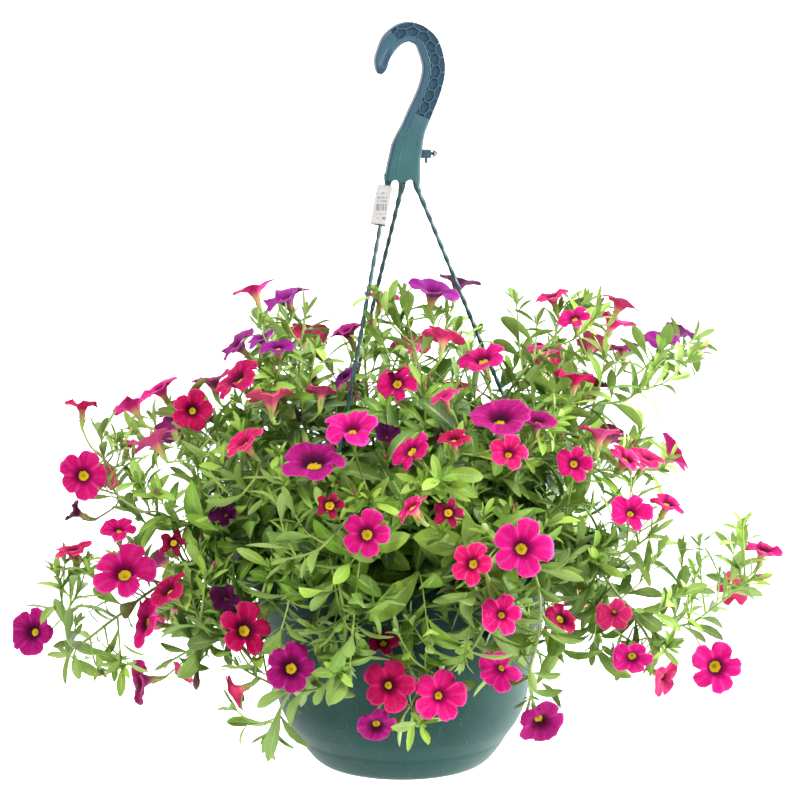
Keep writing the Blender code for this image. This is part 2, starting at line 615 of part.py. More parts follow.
def leafy_stem(path, radii, leaves, tuft, sides=3):
    """Returns one solid: a stem that carries a leaf at some of its points and a tuft of blades at its tip.

    Each leaf is (matrix, length, width, arch, way out of the stem), by the path's point; its root is a face of
    the stem, between two rings close together, and the rings turn so that this face looks the leaf's way.
    """
    ways = tangents(path)
    across = ways[0].orthogonal().normalized()
    part_turn = 2.0 * math.pi / sides
    turn = 0.0
    points, faces, previous = [], [], None

    def ring(point, way, radius):
        other = way.cross(across)
        start = len(points)
        for side in range(sides):
            angle = turn + part_turn * side
            points.append(point + (across * math.cos(angle) + other * math.sin(angle)) * radius)
        return start

    for index, (point, way, radius) in enumerate(zip(path, ways, radii)):
        across = (across - way * across.dot(way)).normalized()
        leaf = leaves.get(index)
        if leaf is None:
            current = ring(point, way, radius)
            if previous is None:
                faces.append(tuple(range(current + sides - 1, current - 1, -1)))
            else:
                faces.extend(wall_faces(previous, current, sides))
            previous = current
            continue
        matrix, length, width, arch, out = leaf
        azimuth = math.atan2(out.dot(way.cross(across)), out.dot(across))
        side = round((azimuth - part_turn / 2.0 - turn) / part_turn)
        turn = azimuth - part_turn / 2.0 - part_turn * side
        side %= sides
        low = ring(point - way * NODE_HALF, way, radius)
        high = ring(point + way * NODE_HALF, way, radius)
        faces.extend(wall_faces(previous, low, sides))
        node = wall_faces(low, high, sides)
        del node[2 * side:2 * side + 2]
        faces.extend(node)
        blade = leaf_shape(length, width, arch).moved(matrix)
        shift = len(points) - 1
        points.extend(blade.points[1:])
        faces.extend(tuple(corner + shift for corner in face) for face in blade.faces[3:])
        near_right, near_left, keel = shift + 1, shift + 2, shift + 3
        a, b = low + side, low + (side + 1) % sides
        c, d = high + (side + 1) % sides, high + side
        faces.extend([(d, near_left, near_right), (d, near_right, c), (c, near_right, keel), (c, keel, b),
                      (d, a, keel), (d, keel, near_left), (a, b, keel)])
        previous = high
    way = ways[-1]
    top = len(points)
    points.append(path[-1] + way * 0.0015)
    for side, (length, lean) in enumerate(tuft):
        out = tuft_way(way, across, turn + part_turn * (side + 0.5))
        along = way * math.cos(lean) + out * math.sin(lean)
        sideways = way.cross(out) * length * 0.16
        middle = path[-1] + along * length * 0.55 - out * length * 0.04
        left = len(points)
        points.extend([middle - sideways, middle + sideways, path[-1] + along * length + out * length * 0.08])
        right, tip = left + 1, left + 2
        corner, after = previous + side, previous + (side + 1) % sides
        faces.extend([(corner, after, right), (corner, right, left), (left, right, tip), (right, after, top),
                      (corner, left, top), (right, top, tip), (top, left, tip)])
    return Shape(points, faces)


def tuft_way(way, across, angle):
    """Returns the sideways direction at an angle about a stem's own direction."""
    return across * math.cos(angle) + way.cross(across) * math.sin(angle)


class Space:
    """What has been placed, so that no node is put through another."""

    def __init__(self):
        self.solids = []

    def take(self, owner, shape):
        """Records a placed shape."""
        low, high = self.limits(shape)
        self.solids.append((owner, low, high, BVHTree.FromPolygons(shape.points, shape.faces)))

    def blocker(self, owner, shape):
        """Returns the name of another node that a shape would touch, or nothing."""
        low, high = self.limits(shape)
        tree = None
        for other, other_low, other_high, other_tree in self.solids:
            if other == owner:
                continue
            if any(low[i] > other_high[i] or high[i] < other_low[i] for i in range(3)):
                continue
            tree = tree or BVHTree.FromPolygons(shape.points, shape.faces)
            if tree.overlap(other_tree):
                return other
        return ""

    @staticmethod
    def limits(shape):
        """Returns the lowest and the highest corner of a shape."""
        return ([min(point[i] for point in shape.points) for i in range(3)],
                [max(point[i] for point in shape.points) for i in range(3)])


def pot_shape():
    """Returns the pot's shape."""
    profile = [*POT_OUTSIDE, (LIP_RADIUS, RIM_HEIGHT), *LIP_INSIDE, *POT_INSIDE]
    return turned(profile)


def soil_shape():
    """Returns the soil that fills the pot, with a slightly uneven top."""
    draw = random.Random(5)
    shape = turned(SOIL_SIDE, SOIL_SIDES)
    inner = len(shape.points)
    for point in ring_points(SOIL_INNER_RADIUS, SOIL_TOP, SOIL_SIDES):
        shape.points.append(point + UP * draw.uniform(-SOIL_RELIEF, SOIL_RELIEF))
    shape.points.append(UP * SOIL_TOP)
    centre = len(shape.points) - 1
    del shape.faces[-1]
    shape.faces += wall_faces(inner - SOIL_SIDES, inner, SOIL_SIDES)
    shape.faces += [(inner + step, inner + (step + 1) % SOIL_SIDES, centre) for step in range(SOIL_SIDES)]
    return shape


def hook_point(across, height, depth=0.0):
    """Returns a point of the hook from its place across the plate, its height and its depth."""
    return Matrix.Rotation(HOOK_YAW, 3, "Z") @ Vector((across, depth, height))


def hook_body():
    """Returns the hook's limb and plate, swept along its centre line with a chamfered section."""
    line = [Vector((across, 0.0, height)) for across, height, _ in HOOK_LINE]
    widths = [width for _, _, width in HOOK_LINE]
    counts = [max(1, round((b - a).length / HOOK_STEP)) for a, b in zip(line, line[1:])]
    path = smooth_route(line, HOOK_STEP)
    spans = []
    for index, count in enumerate(counts):
        start, stop = widths[index], widths[index + 1]
        spans += [start + (stop - start) * part / count for part in range(count)]
    spans.append(widths[-1])
    half = HOOK_THICKNESS / 2.0
    points = []
    for point, way, width in zip(path, tangents(path), spans):
        out = Vector((way.z, 0.0, -way.x))
        edge = width / 2.0
        flat = max(edge - HOOK_CHAMFER, edge * 0.35)
        for across, depth in ((edge, -half * 0.5), (edge, half * 0.5), (flat, half), (-flat, half),
                              (-edge, half * 0.5), (-edge, -half * 0.5), (-flat, -half), (flat, -half)):
            spot = point + out * across
            points.append(hook_point(spot.x, spot.z, depth))
    return Shape(points, ring_faces(len(path), 8))


def prism(outline, depth_from, depth_to, place=hook_point):
    """Returns an outline of (across, height) extruded in depth."""
    count = len(outline)
    points = [place(x, z, depth_from) for x, z in outline] + [place(x, z, depth_to) for x, z in outline]
    return Shape(points, ring_faces(2, count))


def hook_cells():
    """Returns the shallow six-sided cells that both faces of the limb carry."""
    cells = []
    half = HOOK_THICKNESS / 2.0
    corners = [math.radians(CELL_TURN + 60.0 * corner) for corner in range(6)]
    for x, z in CELL_CENTRES:
        outline = [(x + CELL_RADIUS * math.cos(angle), z + CELL_RADIUS * math.sin(angle)) for angle in corners]
        cells.append(prism(outline, half - CELL_DEPTH, half + CELL_OVERSHOOT))
        cells.append(prism(outline, -half - CELL_OVERSHOOT, -half + CELL_DEPTH))
    return cells


def hook_details():
    """Returns the strand bosses under the plate and the lock peg at its side."""
    shapes = []
    for across in STRAND_ROOTS.values():
        root = hook_point(across, STRAND_TOP + CLEARANCE)
        shapes.append(tube([root, root + UP * BOSS_HEIGHT], [BOSS_RADIUS, BOSS_RADIUS * 1.2], 6))
    shapes.append(prism(LOCK_BLOCK, -LOCK_DEPTH, LOCK_DEPTH))
    shapes.append(tube([hook_point(across, ARROW_HEIGHT) for across, _ in ARROW], [radius for _, radius in ARROW], 6))
    shapes.append(tube([hook_point(CATCH_ACROSS, height) for height, _ in CATCH], [radius for _, radius in CATCH], 6))
    return shapes


def strand_path(name):
    """Returns the points of a strand from the plate to the rim."""
    azimuth = math.radians(STRAND_AZIMUTHS[name])
    out = Vector((math.cos(azimuth), math.sin(azimuth), 0.0))
    top = hook_point(STRAND_ROOTS[name], STRAND_TOP)
    foot = out * STRAND_FOOT[0] + UP * STRAND_FOOT[1]
    bends = [top.lerp(foot, share) + out * swell for share, swell in STRAND_BENDS[name]]
    return smooth_route([top, top - UP * STRAND_LEAD, *bends, foot], STRAND_STEP)


def clip_shape(name):
    """Returns the clip that straddles the pot's lip at a strand's foot."""
    azimuth = math.radians(STRAND_AZIMUTHS[name])
    turn = Matrix.Rotation(azimuth, 3, "Z")
    low = RIM_HEIGHT - CLIP_LENGTH
    under = RIM_HEIGHT + CLEARANCE
    top = under + CLIP_TOP
    inner = LIP_INSIDE[0][0] - 3.0 * CLEARANCE
    outer = LIP_RADIUS + CLEARANCE + 0.0001
    outline = [(inner - CLIP_WALL, low), (inner - 0.0006, low), (inner, under), (outer, under), (outer, low - 0.002),
               (outer + 0.0030, low - 0.001), (outer + 0.0024, top), (inner - CLIP_WALL, top)]
    return prism(outline, CLIP_WIDTH / 2.0, -CLIP_WIDTH / 2.0, lambda x, z, depth: turn @ Vector((x, depth, z)))


def label_shape():
    """Returns the folded paper label that hangs round a strand, just under the plate."""
    path = strand_path("front_left")
    way = (path[3] - path[1]).normalized()
    begin = path[0] - UP * STRAND_LEAD
    end = begin + way * LABEL_LENGTH
    inside, outside = LABEL_INSIDE, LABEL_INSIDE + LABEL_SHEET
    bend, turn = LABEL_TURN - 0.0004, LABEL_TURN + 0.0007
    section = ((LABEL_FRONT_EDGE, -outside), (LABEL_TURN, -outside), (turn, 0.0), (LABEL_TURN, outside),
               (LABEL_BACK_EDGE, outside), (LABEL_BACK_EDGE, inside), (bend, inside), (LABEL_TURN, 0.0),
               (bend, -inside), (LABEL_FRONT_EDGE, -inside))
    level = Vector((1.0, 0.0, 0.0))
    level = (level - way * level.dot(way)).normalized()
    depth = level.cross(way).normalized()
    if depth.y < 0.0:
        depth = -depth
    points = [spot + level * x + depth * y for spot in (end, begin) for x, y in section]
    return Shape(points, ring_faces(2, len(section)))


def in_soil(point):
    """Tells whether a point lies below the soil's top, inside the pot."""
    return point.z < SOIL_TOP + 0.002 and math.hypot(point.x, point.y) < 0.1


@dataclass
class Growth:
    """The placed shapes of the whole plant, by the node that holds them."""

    space: Space
    nodes: dict = field(default_factory=dict)
    missed: list = field(default_factory=list)

    def add(self, owner, shape):
        """Keeps a shape in a node."""
        self.nodes.setdefault(owner, []).append(shape)
        self.space.take(owner, shape)

    def bent_clear(self, owner, points, radius, draw, free):
        """Returns a route bent at its free points until its tube is clear of other nodes."""
        in_the_way = set()
        for attempt in range(BEND_TRIES):
            sway = 0.0 if attempt == 0 else 0.002 + 0.0004 * attempt
            moved = [point + Vector([draw.uniform(-sway, sway) for _ in range(3)]) if index in free else point
                     for index, point in enumerate(points)]
            path = smooth_route(moved, STEM_STEP)
            outside = [point for point in path if not in_soil(point)]
            touched = self.space.blocker(owner, tube(outside, [radius + MARGIN] * len(outside)))
            if not touched:
                return path, in_the_way
            in_the_way.add(touched)
        return None, in_the_way


def place_blooms(growth):
    """Places every bloom, in a node of its own or in its spray's."""
    for spray in SPRAYS:
        for bloom in spray.blooms:
            owner = bloom.node or spray.name
            matrix = Matrix.Translation(mm(*bloom.at)) @ frame_along(bloom.opens)
            touched = growth.space.blocker(owner, bloom_shape(bloom.width * MM * 1.04).moved(matrix))
            if touched:
                growth.missed.append(f"bloom {bloom.at} of {spray.name} touches {touched}")
            shape = bloom_shape(bloom.width * MM).moved(matrix)
            if bloom.node:
                growth.add(owner, shape)
            else:
                growth.space.take(owner, shape)


def place_stems(growth):
    """Places the main and the side stems; returns each spray's stem paths."""
    stems = {}
    for spray in SPRAYS:
        draw = random.Random(spray.name)
        x, y = spray.root
        start = [mm(x, y, 1000.0 * (SOIL_TOP - ROOT_DEPTH)), mm(x, y, 1000.0 * SOIL_TOP + 2.0)]
        routes = [start + [mm(*point) for point in spray.route]]
        routes += [[mm(*point) for point in side] for side in spray.sides]
        paths = []
        for index, route in enumerate(routes):
            if index:
                route[0] = min(paths[0], key=lambda point: (point - route[0]).length)
            free = range(1 if index else 2, len(route))
            path, touched = growth.bent_clear(spray.name, route, STEM_RADIUS, draw, free)
            if path is None:
                growth.missed.append(f"stem {index} of {spray.name} by {touched}")
                if index:
                    continue
                path = smooth_route(route, STEM_STEP)
            growth.space.take(spray.name, tube(path, stem_radii(path)))
            paths.append(path)
        stems[spray.name] = paths
    return stems


def place_stalks(growth, stems):
    """Places the stalk of every bloom, which widens into its calyx."""
    for spray in SPRAYS:
        draw = random.Random(f"{spray.name} stalks")
        joints = [point for path in stems[spray.name] for point in path[1:-1]
                  if math.hypot(point.x, point.y) > 0.06 or point.z > SOIL_TOP + 0.05]
        for bloom in spray.blooms:
            way = Vector(bloom.opens).normalized()
            length = bloom_length(bloom.width * MM)
            top = mm(*bloom.at) - way * (length + (CLEARANCE if bloom.node else 0.0))
            foot = top - way * CALYX_LENGTH
            route = found = None
            in_the_way = set()
            for joint in sorted(joints, key=lambda point: (point - foot).length)[:STALK_JOINTS]:
                reach = (foot - joint).length
                behind = foot - way * reach * 0.4
                route = [joint, joint.lerp(behind, 0.6) + UP * reach * 0.1, foot]
                if reach < SHORT_STALK:
                    route.pop(1)
                free = range(1, len(route) - 1)
                found, touched = growth.bent_clear(spray.name, route, STALK_RADIUS, draw, free)
                in_the_way |= touched
                if found:
                    break
            if not found:
                growth.missed.append(f"stalk of {bloom.at} of {spray.name} by {in_the_way}")
                found = smooth_route(route, STEM_STEP)
            radii = [STALK_RADIUS] * (len(found) - 1) + [STALK_RADIUS * 1.4, CALYX_RADIUS]
            if bloom.node:
                growth.add(spray.name, tube([*found, top], radii))
            else:
                matrix = Matrix.Translation(mm(*bloom.at)) @ frame_along(bloom.opens)
                growth.add(spray.name, stalked_bloom([*found, top], radii, matrix, bloom.width * MM))


def place_leaf(growth, owner, joint, way, angle, length, lean, arch):
    """Returns one leaf that is clear of the other nodes, turned or shortened until it is, or None."""
    radial = way.orthogonal().normalized()
    for turn, shrink in LEAF_TRIES:
        size = length * shrink
        out = Quaternion(way, angle + turn) @ radial
        along = (way * math.cos(lean) + out * math.sin(lean)).normalized()
        upper = (way - along * way.dot(along)).normalized()
        side = along.cross(upper)
        matrix = Matrix((upper, side, along)).transposed().to_4x4()
        matrix.translation = joint
        width = size * LEAF_ASPECT
        test = leaf_shape(size + MARGIN, width + 2.0 * MARGIN, arch).moved(matrix)
        lifted = leaf_shape(size + MARGIN, width, arch).moved(Matrix.Translation(upper * MARGIN) @ matrix)
        if not growth.space.blocker(owner, test) and not growth.space.blocker(owner, lifted):
            growth.space.take(owner, leaf_shape(size, width, arch).moved(matrix))
            return matrix, size, width, arch, out
    return None


def place_leaves(growth, stems):
    """Places the leaves along every stem and the tuft at its tip, and keeps the leafy stems' solids."""
    count = 0
    for spray in SPRAYS:
        draw = random.Random(f"{spray.name} leaves")
        for path in stems[spray.name]:
            ways = tangents(path)
            turn = draw.uniform(0.0, 6.0)
            leaves = {}
            for index in range(1, len(path) - 1):
                point = path[index]
                if math.hypot(point.x, point.y) < BARE_RADIUS and point.z < SOIL_TOP + BARE_HEIGHT:
                    continue
                share = index / (len(path) - 1)
                turn += PHYLLOTAXY + draw.uniform(-0.25, 0.25)
                length = (LEAF_LENGTH - (LEAF_LENGTH - TIP_LEAF_LENGTH) * share) * draw.uniform(0.85, 1.12)
                leaf = place_leaf(growth, spray.name, point, ways[index], turn, length,
                                  draw.uniform(*LEAF_LEAN), draw.uniform(*LEAF_ARCH))
                if leaf:
                    leaves[index] = leaf
            count += len(leaves)
            tuft = place_tuft(growth, spray.name, path[-1], ways[-1], draw)
            growth.nodes.setdefault(spray.name, []).append(leafy_stem(path, stem_radii(path), leaves, tuft))
    return count


def place_tuft(growth, owner, tip, way, draw):
    """Returns the length and the lean of each blade of a stem's tuft, short where something is in the way."""
    tuft = []
    for _ in range(TUFT_BLADES):
        lean = draw.uniform(*TUFT_LEAN)
        full = draw.uniform(*TUFT_LENGTH)
        for length in (full, full * 0.7, full * 0.4, full * 0.15):
            reach = [tip, tip + way * length * math.cos(lean)]
            cone = tube(reach, [STEM_RADIUS + MARGIN, length * math.sin(lean) * 1.2 + MARGIN], 8)
            if not growth.space.blocker(owner, cone):
                break
        tuft.append((length, lean))
    longest = max(length for length, _ in tuft)
    growth.space.take(owner, tube([tip, tip + way * longest], [STEM_RADIUS, longest * 0.8], 6))
    return tuft


def stem_radii(path):
    """Returns a stem's radius at each point of its path."""
    last = len(path) - 1
    return [STEM_RADIUS * (1.0 - 0.4 * index / last) for index in range(last + 1)]


def build_pot_and_hanger(space):
    """Builds the pot, the soil with its holes, the hook, the strands and the label."""
    plastic = (0.085, 0.17, 0.16)
    space.take("pot", pot_shape())
    add_object("pot", pot_shape(), material("pot_plastic", plastic, 0.55))
    soil = soil_shape()
    space.take("potting_soil", soil)
    holes = [tube([mm(x, y, 1000.0 * (SOIL_TOP - HOLE_DEPTH)), mm(x, y, 1000.0 * SOIL_TOP + 6.0)],
                  [HOLE_RADIUS] * 2, 4) for x, y in (spray.root for spray in SPRAYS)]
    combine("potting_soil", holes, material("soil", (0.05, 0.03, 0.02), 0.95), "DIFFERENCE", soil)
    teal = material("hanger_plastic", (0.09, 0.18, 0.20), 0.45)
    body = combine("hanger_hook_body", [hook_body(), *hook_details()], teal, solver="EXACT")
    shape = Shape([vertex.co.copy() for vertex in body.data.vertices],
                  [tuple(face.vertices) for face in body.data.polygons])
    bpy.data.objects.remove(body, do_unlink=True)
    combine("hanger_hook", hook_cells(), teal, "DIFFERENCE", shape, "EXACT")
    space.take("hanger_hook", shape)
    for name in STRAND_AZIMUTHS:
        path = strand_path(name)
        cord = tube(path, [STRAND_RADIUS] * len(path), 5)
        clip = clip_shape(name)
        node = f"hanger_strand_{name}"
        combine(node, [cord, clip], teal)
        space.take(node, cord)
        space.take(node, clip)
    label = label_shape()
    space.take("price_label", label)
    add_object("price_label", label, material("label_paper", (0.85, 0.84, 0.80), 0.7))


def build_plant(space):
    """Places and builds every spray and bloom."""
    growth = Growth(space)
    place_blooms(growth)
    stems = place_stems(growth)
    place_stalks(growth, stems)
    leaves = place_leaves(growth, stems)
    foliage = material("foliage", GREEN, 0.6)
    petals = {name: material(f"petal_{name}", colour, 0.6) for name, colour in COLOURS.items()}
    colours = {bloom.node: bloom.colour for spray in SPRAYS for bloom in spray.blooms if bloom.node}
    for node, shapes in growth.nodes.items():
        finish = petals[colours[node]] if node in colours else foliage
        combine(node, shapes, finish)
    print(f"{leaves} leaves; not placed clear: {growth.missed}")


def main():
    """Builds the whole part."""
    empty_scene()
    space = Space()
    build_pot_and_hanger(space)
    build_plant(space)


main()
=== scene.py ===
"""Looks of a flowering hanging basket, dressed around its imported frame.

Metres, +Z up, the origin at the centre of the pot's flat base, the front towards -Y. The plant's layout
repeats the routes and the rule by which the frame's own sprays were grown, so that each fine stem, leaf and
bloom lies where its plain solid does. More leaves and shoots are then added between them.
"""

from __future__ import annotations

import json
import logging
import math
import random
from dataclasses import dataclass, field
from enum import Enum
from functools import lru_cache

import bmesh
import bpy
import numpy as np
from mathutils import Matrix, Quaternion, Vector, noise
from mathutils.bvhtree import BVHTree

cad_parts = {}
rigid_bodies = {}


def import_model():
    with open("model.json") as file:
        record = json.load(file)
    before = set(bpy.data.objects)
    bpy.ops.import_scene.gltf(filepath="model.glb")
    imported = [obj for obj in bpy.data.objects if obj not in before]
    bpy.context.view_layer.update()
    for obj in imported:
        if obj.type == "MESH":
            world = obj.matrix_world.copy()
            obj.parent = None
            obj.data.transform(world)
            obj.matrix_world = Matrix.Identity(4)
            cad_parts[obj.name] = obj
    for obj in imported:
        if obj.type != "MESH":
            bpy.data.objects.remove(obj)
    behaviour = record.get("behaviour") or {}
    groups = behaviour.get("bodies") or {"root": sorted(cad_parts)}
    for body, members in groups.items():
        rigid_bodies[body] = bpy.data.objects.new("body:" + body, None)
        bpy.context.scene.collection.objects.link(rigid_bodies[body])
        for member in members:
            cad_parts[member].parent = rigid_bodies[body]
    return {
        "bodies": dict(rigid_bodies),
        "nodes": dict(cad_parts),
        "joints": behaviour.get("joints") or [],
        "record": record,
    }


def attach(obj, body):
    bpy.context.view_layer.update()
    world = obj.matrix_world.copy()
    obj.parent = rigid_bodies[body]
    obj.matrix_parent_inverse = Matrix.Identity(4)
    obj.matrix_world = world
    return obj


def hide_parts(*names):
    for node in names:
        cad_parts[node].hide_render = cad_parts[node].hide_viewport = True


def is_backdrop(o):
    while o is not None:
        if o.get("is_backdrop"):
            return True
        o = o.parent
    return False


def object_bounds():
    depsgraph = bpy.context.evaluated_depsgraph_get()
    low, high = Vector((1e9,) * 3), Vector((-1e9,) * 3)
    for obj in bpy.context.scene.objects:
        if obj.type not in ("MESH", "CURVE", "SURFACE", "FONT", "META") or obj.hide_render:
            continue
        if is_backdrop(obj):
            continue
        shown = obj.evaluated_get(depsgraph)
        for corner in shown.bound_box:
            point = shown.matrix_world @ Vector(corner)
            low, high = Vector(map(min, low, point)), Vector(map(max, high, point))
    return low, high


LOG = logging.getLogger("hanging_basket")
MM = 0.001
TAU = 2.0 * math.pi
UP = Vector((0.0, 0.0, 1.0))
CLEARANCE = 0.0003

# Sizes that the frame's solids share with the pieces here.
SOIL_TOP = 0.146
SOIL_RADIUS = 0.1085
RIM_HEIGHT = 0.162
HOOK_YAW = math.radians(12.0)
STRAND_TOP = 0.4440
STRAND_LEAD = 0.0015
STRAND_FOOT = (0.1245, 0.1636)
STRAND_ROOTS = {"right": 0.0112, "back_left": 0.0, "front_left": -0.0112}
STRAND_AZIMUTHS = {"right": 0.0, "back_left": 120.0, "front_left": 240.0}
STRAND_BENDS = {
    # share of the way down, swelling away from the straight line
    "right": ((0.25, 0.000), (0.55, 0.001), (0.76, 0.006)), "back_left": ((0.5, 0.002),),
    "front_left": ((0.5, 0.0),),
}

# The rule of growth, the same as the frame's.
ROOT_DEPTH = 0.016
STEM_RADIUS = 0.0015
STALK_RADIUS = 0.0009
SHORT_STALK = 0.020
CALYX_LENGTH = 0.005
CALYX_RADIUS = 0.0026
TUBE_RADIUS = 0.0018
BLADE = 0.0011
WIDE_BLOOM = 0.039
LOBES = 5
LOBE_HALF_ANGLE = 0.36
NOTCH_ANGLE = math.pi / LOBES
THROAT_DEPTH = 0.30
NECK_DEPTH = 0.50
NECK_RADIUS = 0.17
FACE_ROOM = 1.06
WIDE_LOBE = ((-LOBE_HALF_ANGLE, 0.97, 0.02), (LOBE_HALF_ANGLE, 1.0, -0.02), (NOTCH_ANGLE, 0.80, 0.06))
SMALL_LOBE = ((0.0, 1.0, 0.0), (NOTCH_ANGLE, 0.72, 0.05))
PHYLLOTAXY = math.radians(137.5)
STEM_STEP = 0.027
MARGIN = 0.0006
SOIL_MARGIN = 0.002
SOIL_REACH = 0.1
BARE_RADIUS = 0.075
BARE_HEIGHT = 0.035
JOINT_RADIUS = 0.06
JOINT_HEIGHT = 0.05
LEAF_LENGTH = 0.048
TIP_LEAF_LENGTH = 0.030
LEAF_ASPECT = 0.30
LONG_LEAF = 0.045
LEAF_LEAN = (0.85, 1.25)
LEAF_ARCH = (0.12, 0.34)
LEAF_TRIES = ((0.0, 1.0), (0.6, 1.0), (-0.6, 1.0), (1.2, 0.9), (-1.2, 0.9), (0.3, 0.7), (-0.3, 0.7))
SHORT_STATIONS = ((0.60, 0.48, 0.7),)
LONG_STATIONS = ((0.28, 0.22, 0.1), (0.68, 0.47, 0.7))
TUFT_BLADES = 3
TUFT_LEAN = (0.4, 0.85)
TUFT_LENGTH = (0.017, 0.024)
TUFT_SHRINKS = (1.0, 0.7, 0.4, 0.15)
BEND_TRIES = 60
FIRST_SWAY = 0.002
MORE_SWAY = 0.0004
STALK_JOINTS = 12

Colour = tuple[float, float, float]
Span = tuple[float, float]
Place = tuple[float, float, float]


def mm(x: float, y: float, z: float) -> Vector:
    """Returns a point given in millimetres, in metres."""
    return Vector((x, y, z)) * MM


def shade(red: int, green: int, blue: int) -> Colour:
    """Returns the linear colour of a display colour.

    Args:
        red: the red channel, from 0 to 255.
        green: the green channel.
        blue: the blue channel.

    Returns:
        The three linear channels, from 0 to 1.
    """
    def channel(value: int) -> float:
        """Returns one linear channel."""
        part = value / 255.0
        return part / 12.92 if part <= 0.04045 else ((part + 0.055) / 1.055) ** 2.4
    return channel(red), channel(green), channel(blue)


def blend(first: Colour, second: Colour, share: float) -> Colour:
    """Returns a colour between two others."""
    return tuple(a + (b - a) * share for a, b in zip(first, second))


@dataclass(frozen=True)
class Bloom:
    """One trumpet: the centre of its face, the way it opens, its width and its colour, in millimetres."""

    at: Place
    opens: Place
    width: float
    colour: str
    node: str = ""

    @property
    def matrix(self) -> Matrix:
        """The frame of the face, in metres, opening along its Z."""
        return Matrix.Translation(mm(*self.at)) @ frame_along(Vector(self.opens))

    @property
    def tube_length(self) -> float:
        """How far the tube reaches behind the face, in metres."""
        return 0.006 + 0.30 * self.width * MM


@dataclass(frozen=True)
class Spray:
    """One leafy stem from the soil, with its side stems and its blooms, in millimetres."""

    name: str
    root: tuple[float, float]
    route: tuple[Place, ...]
    sides: tuple[tuple[Place, ...], ...] = ()
    blooms: tuple[Bloom, ...] = ()


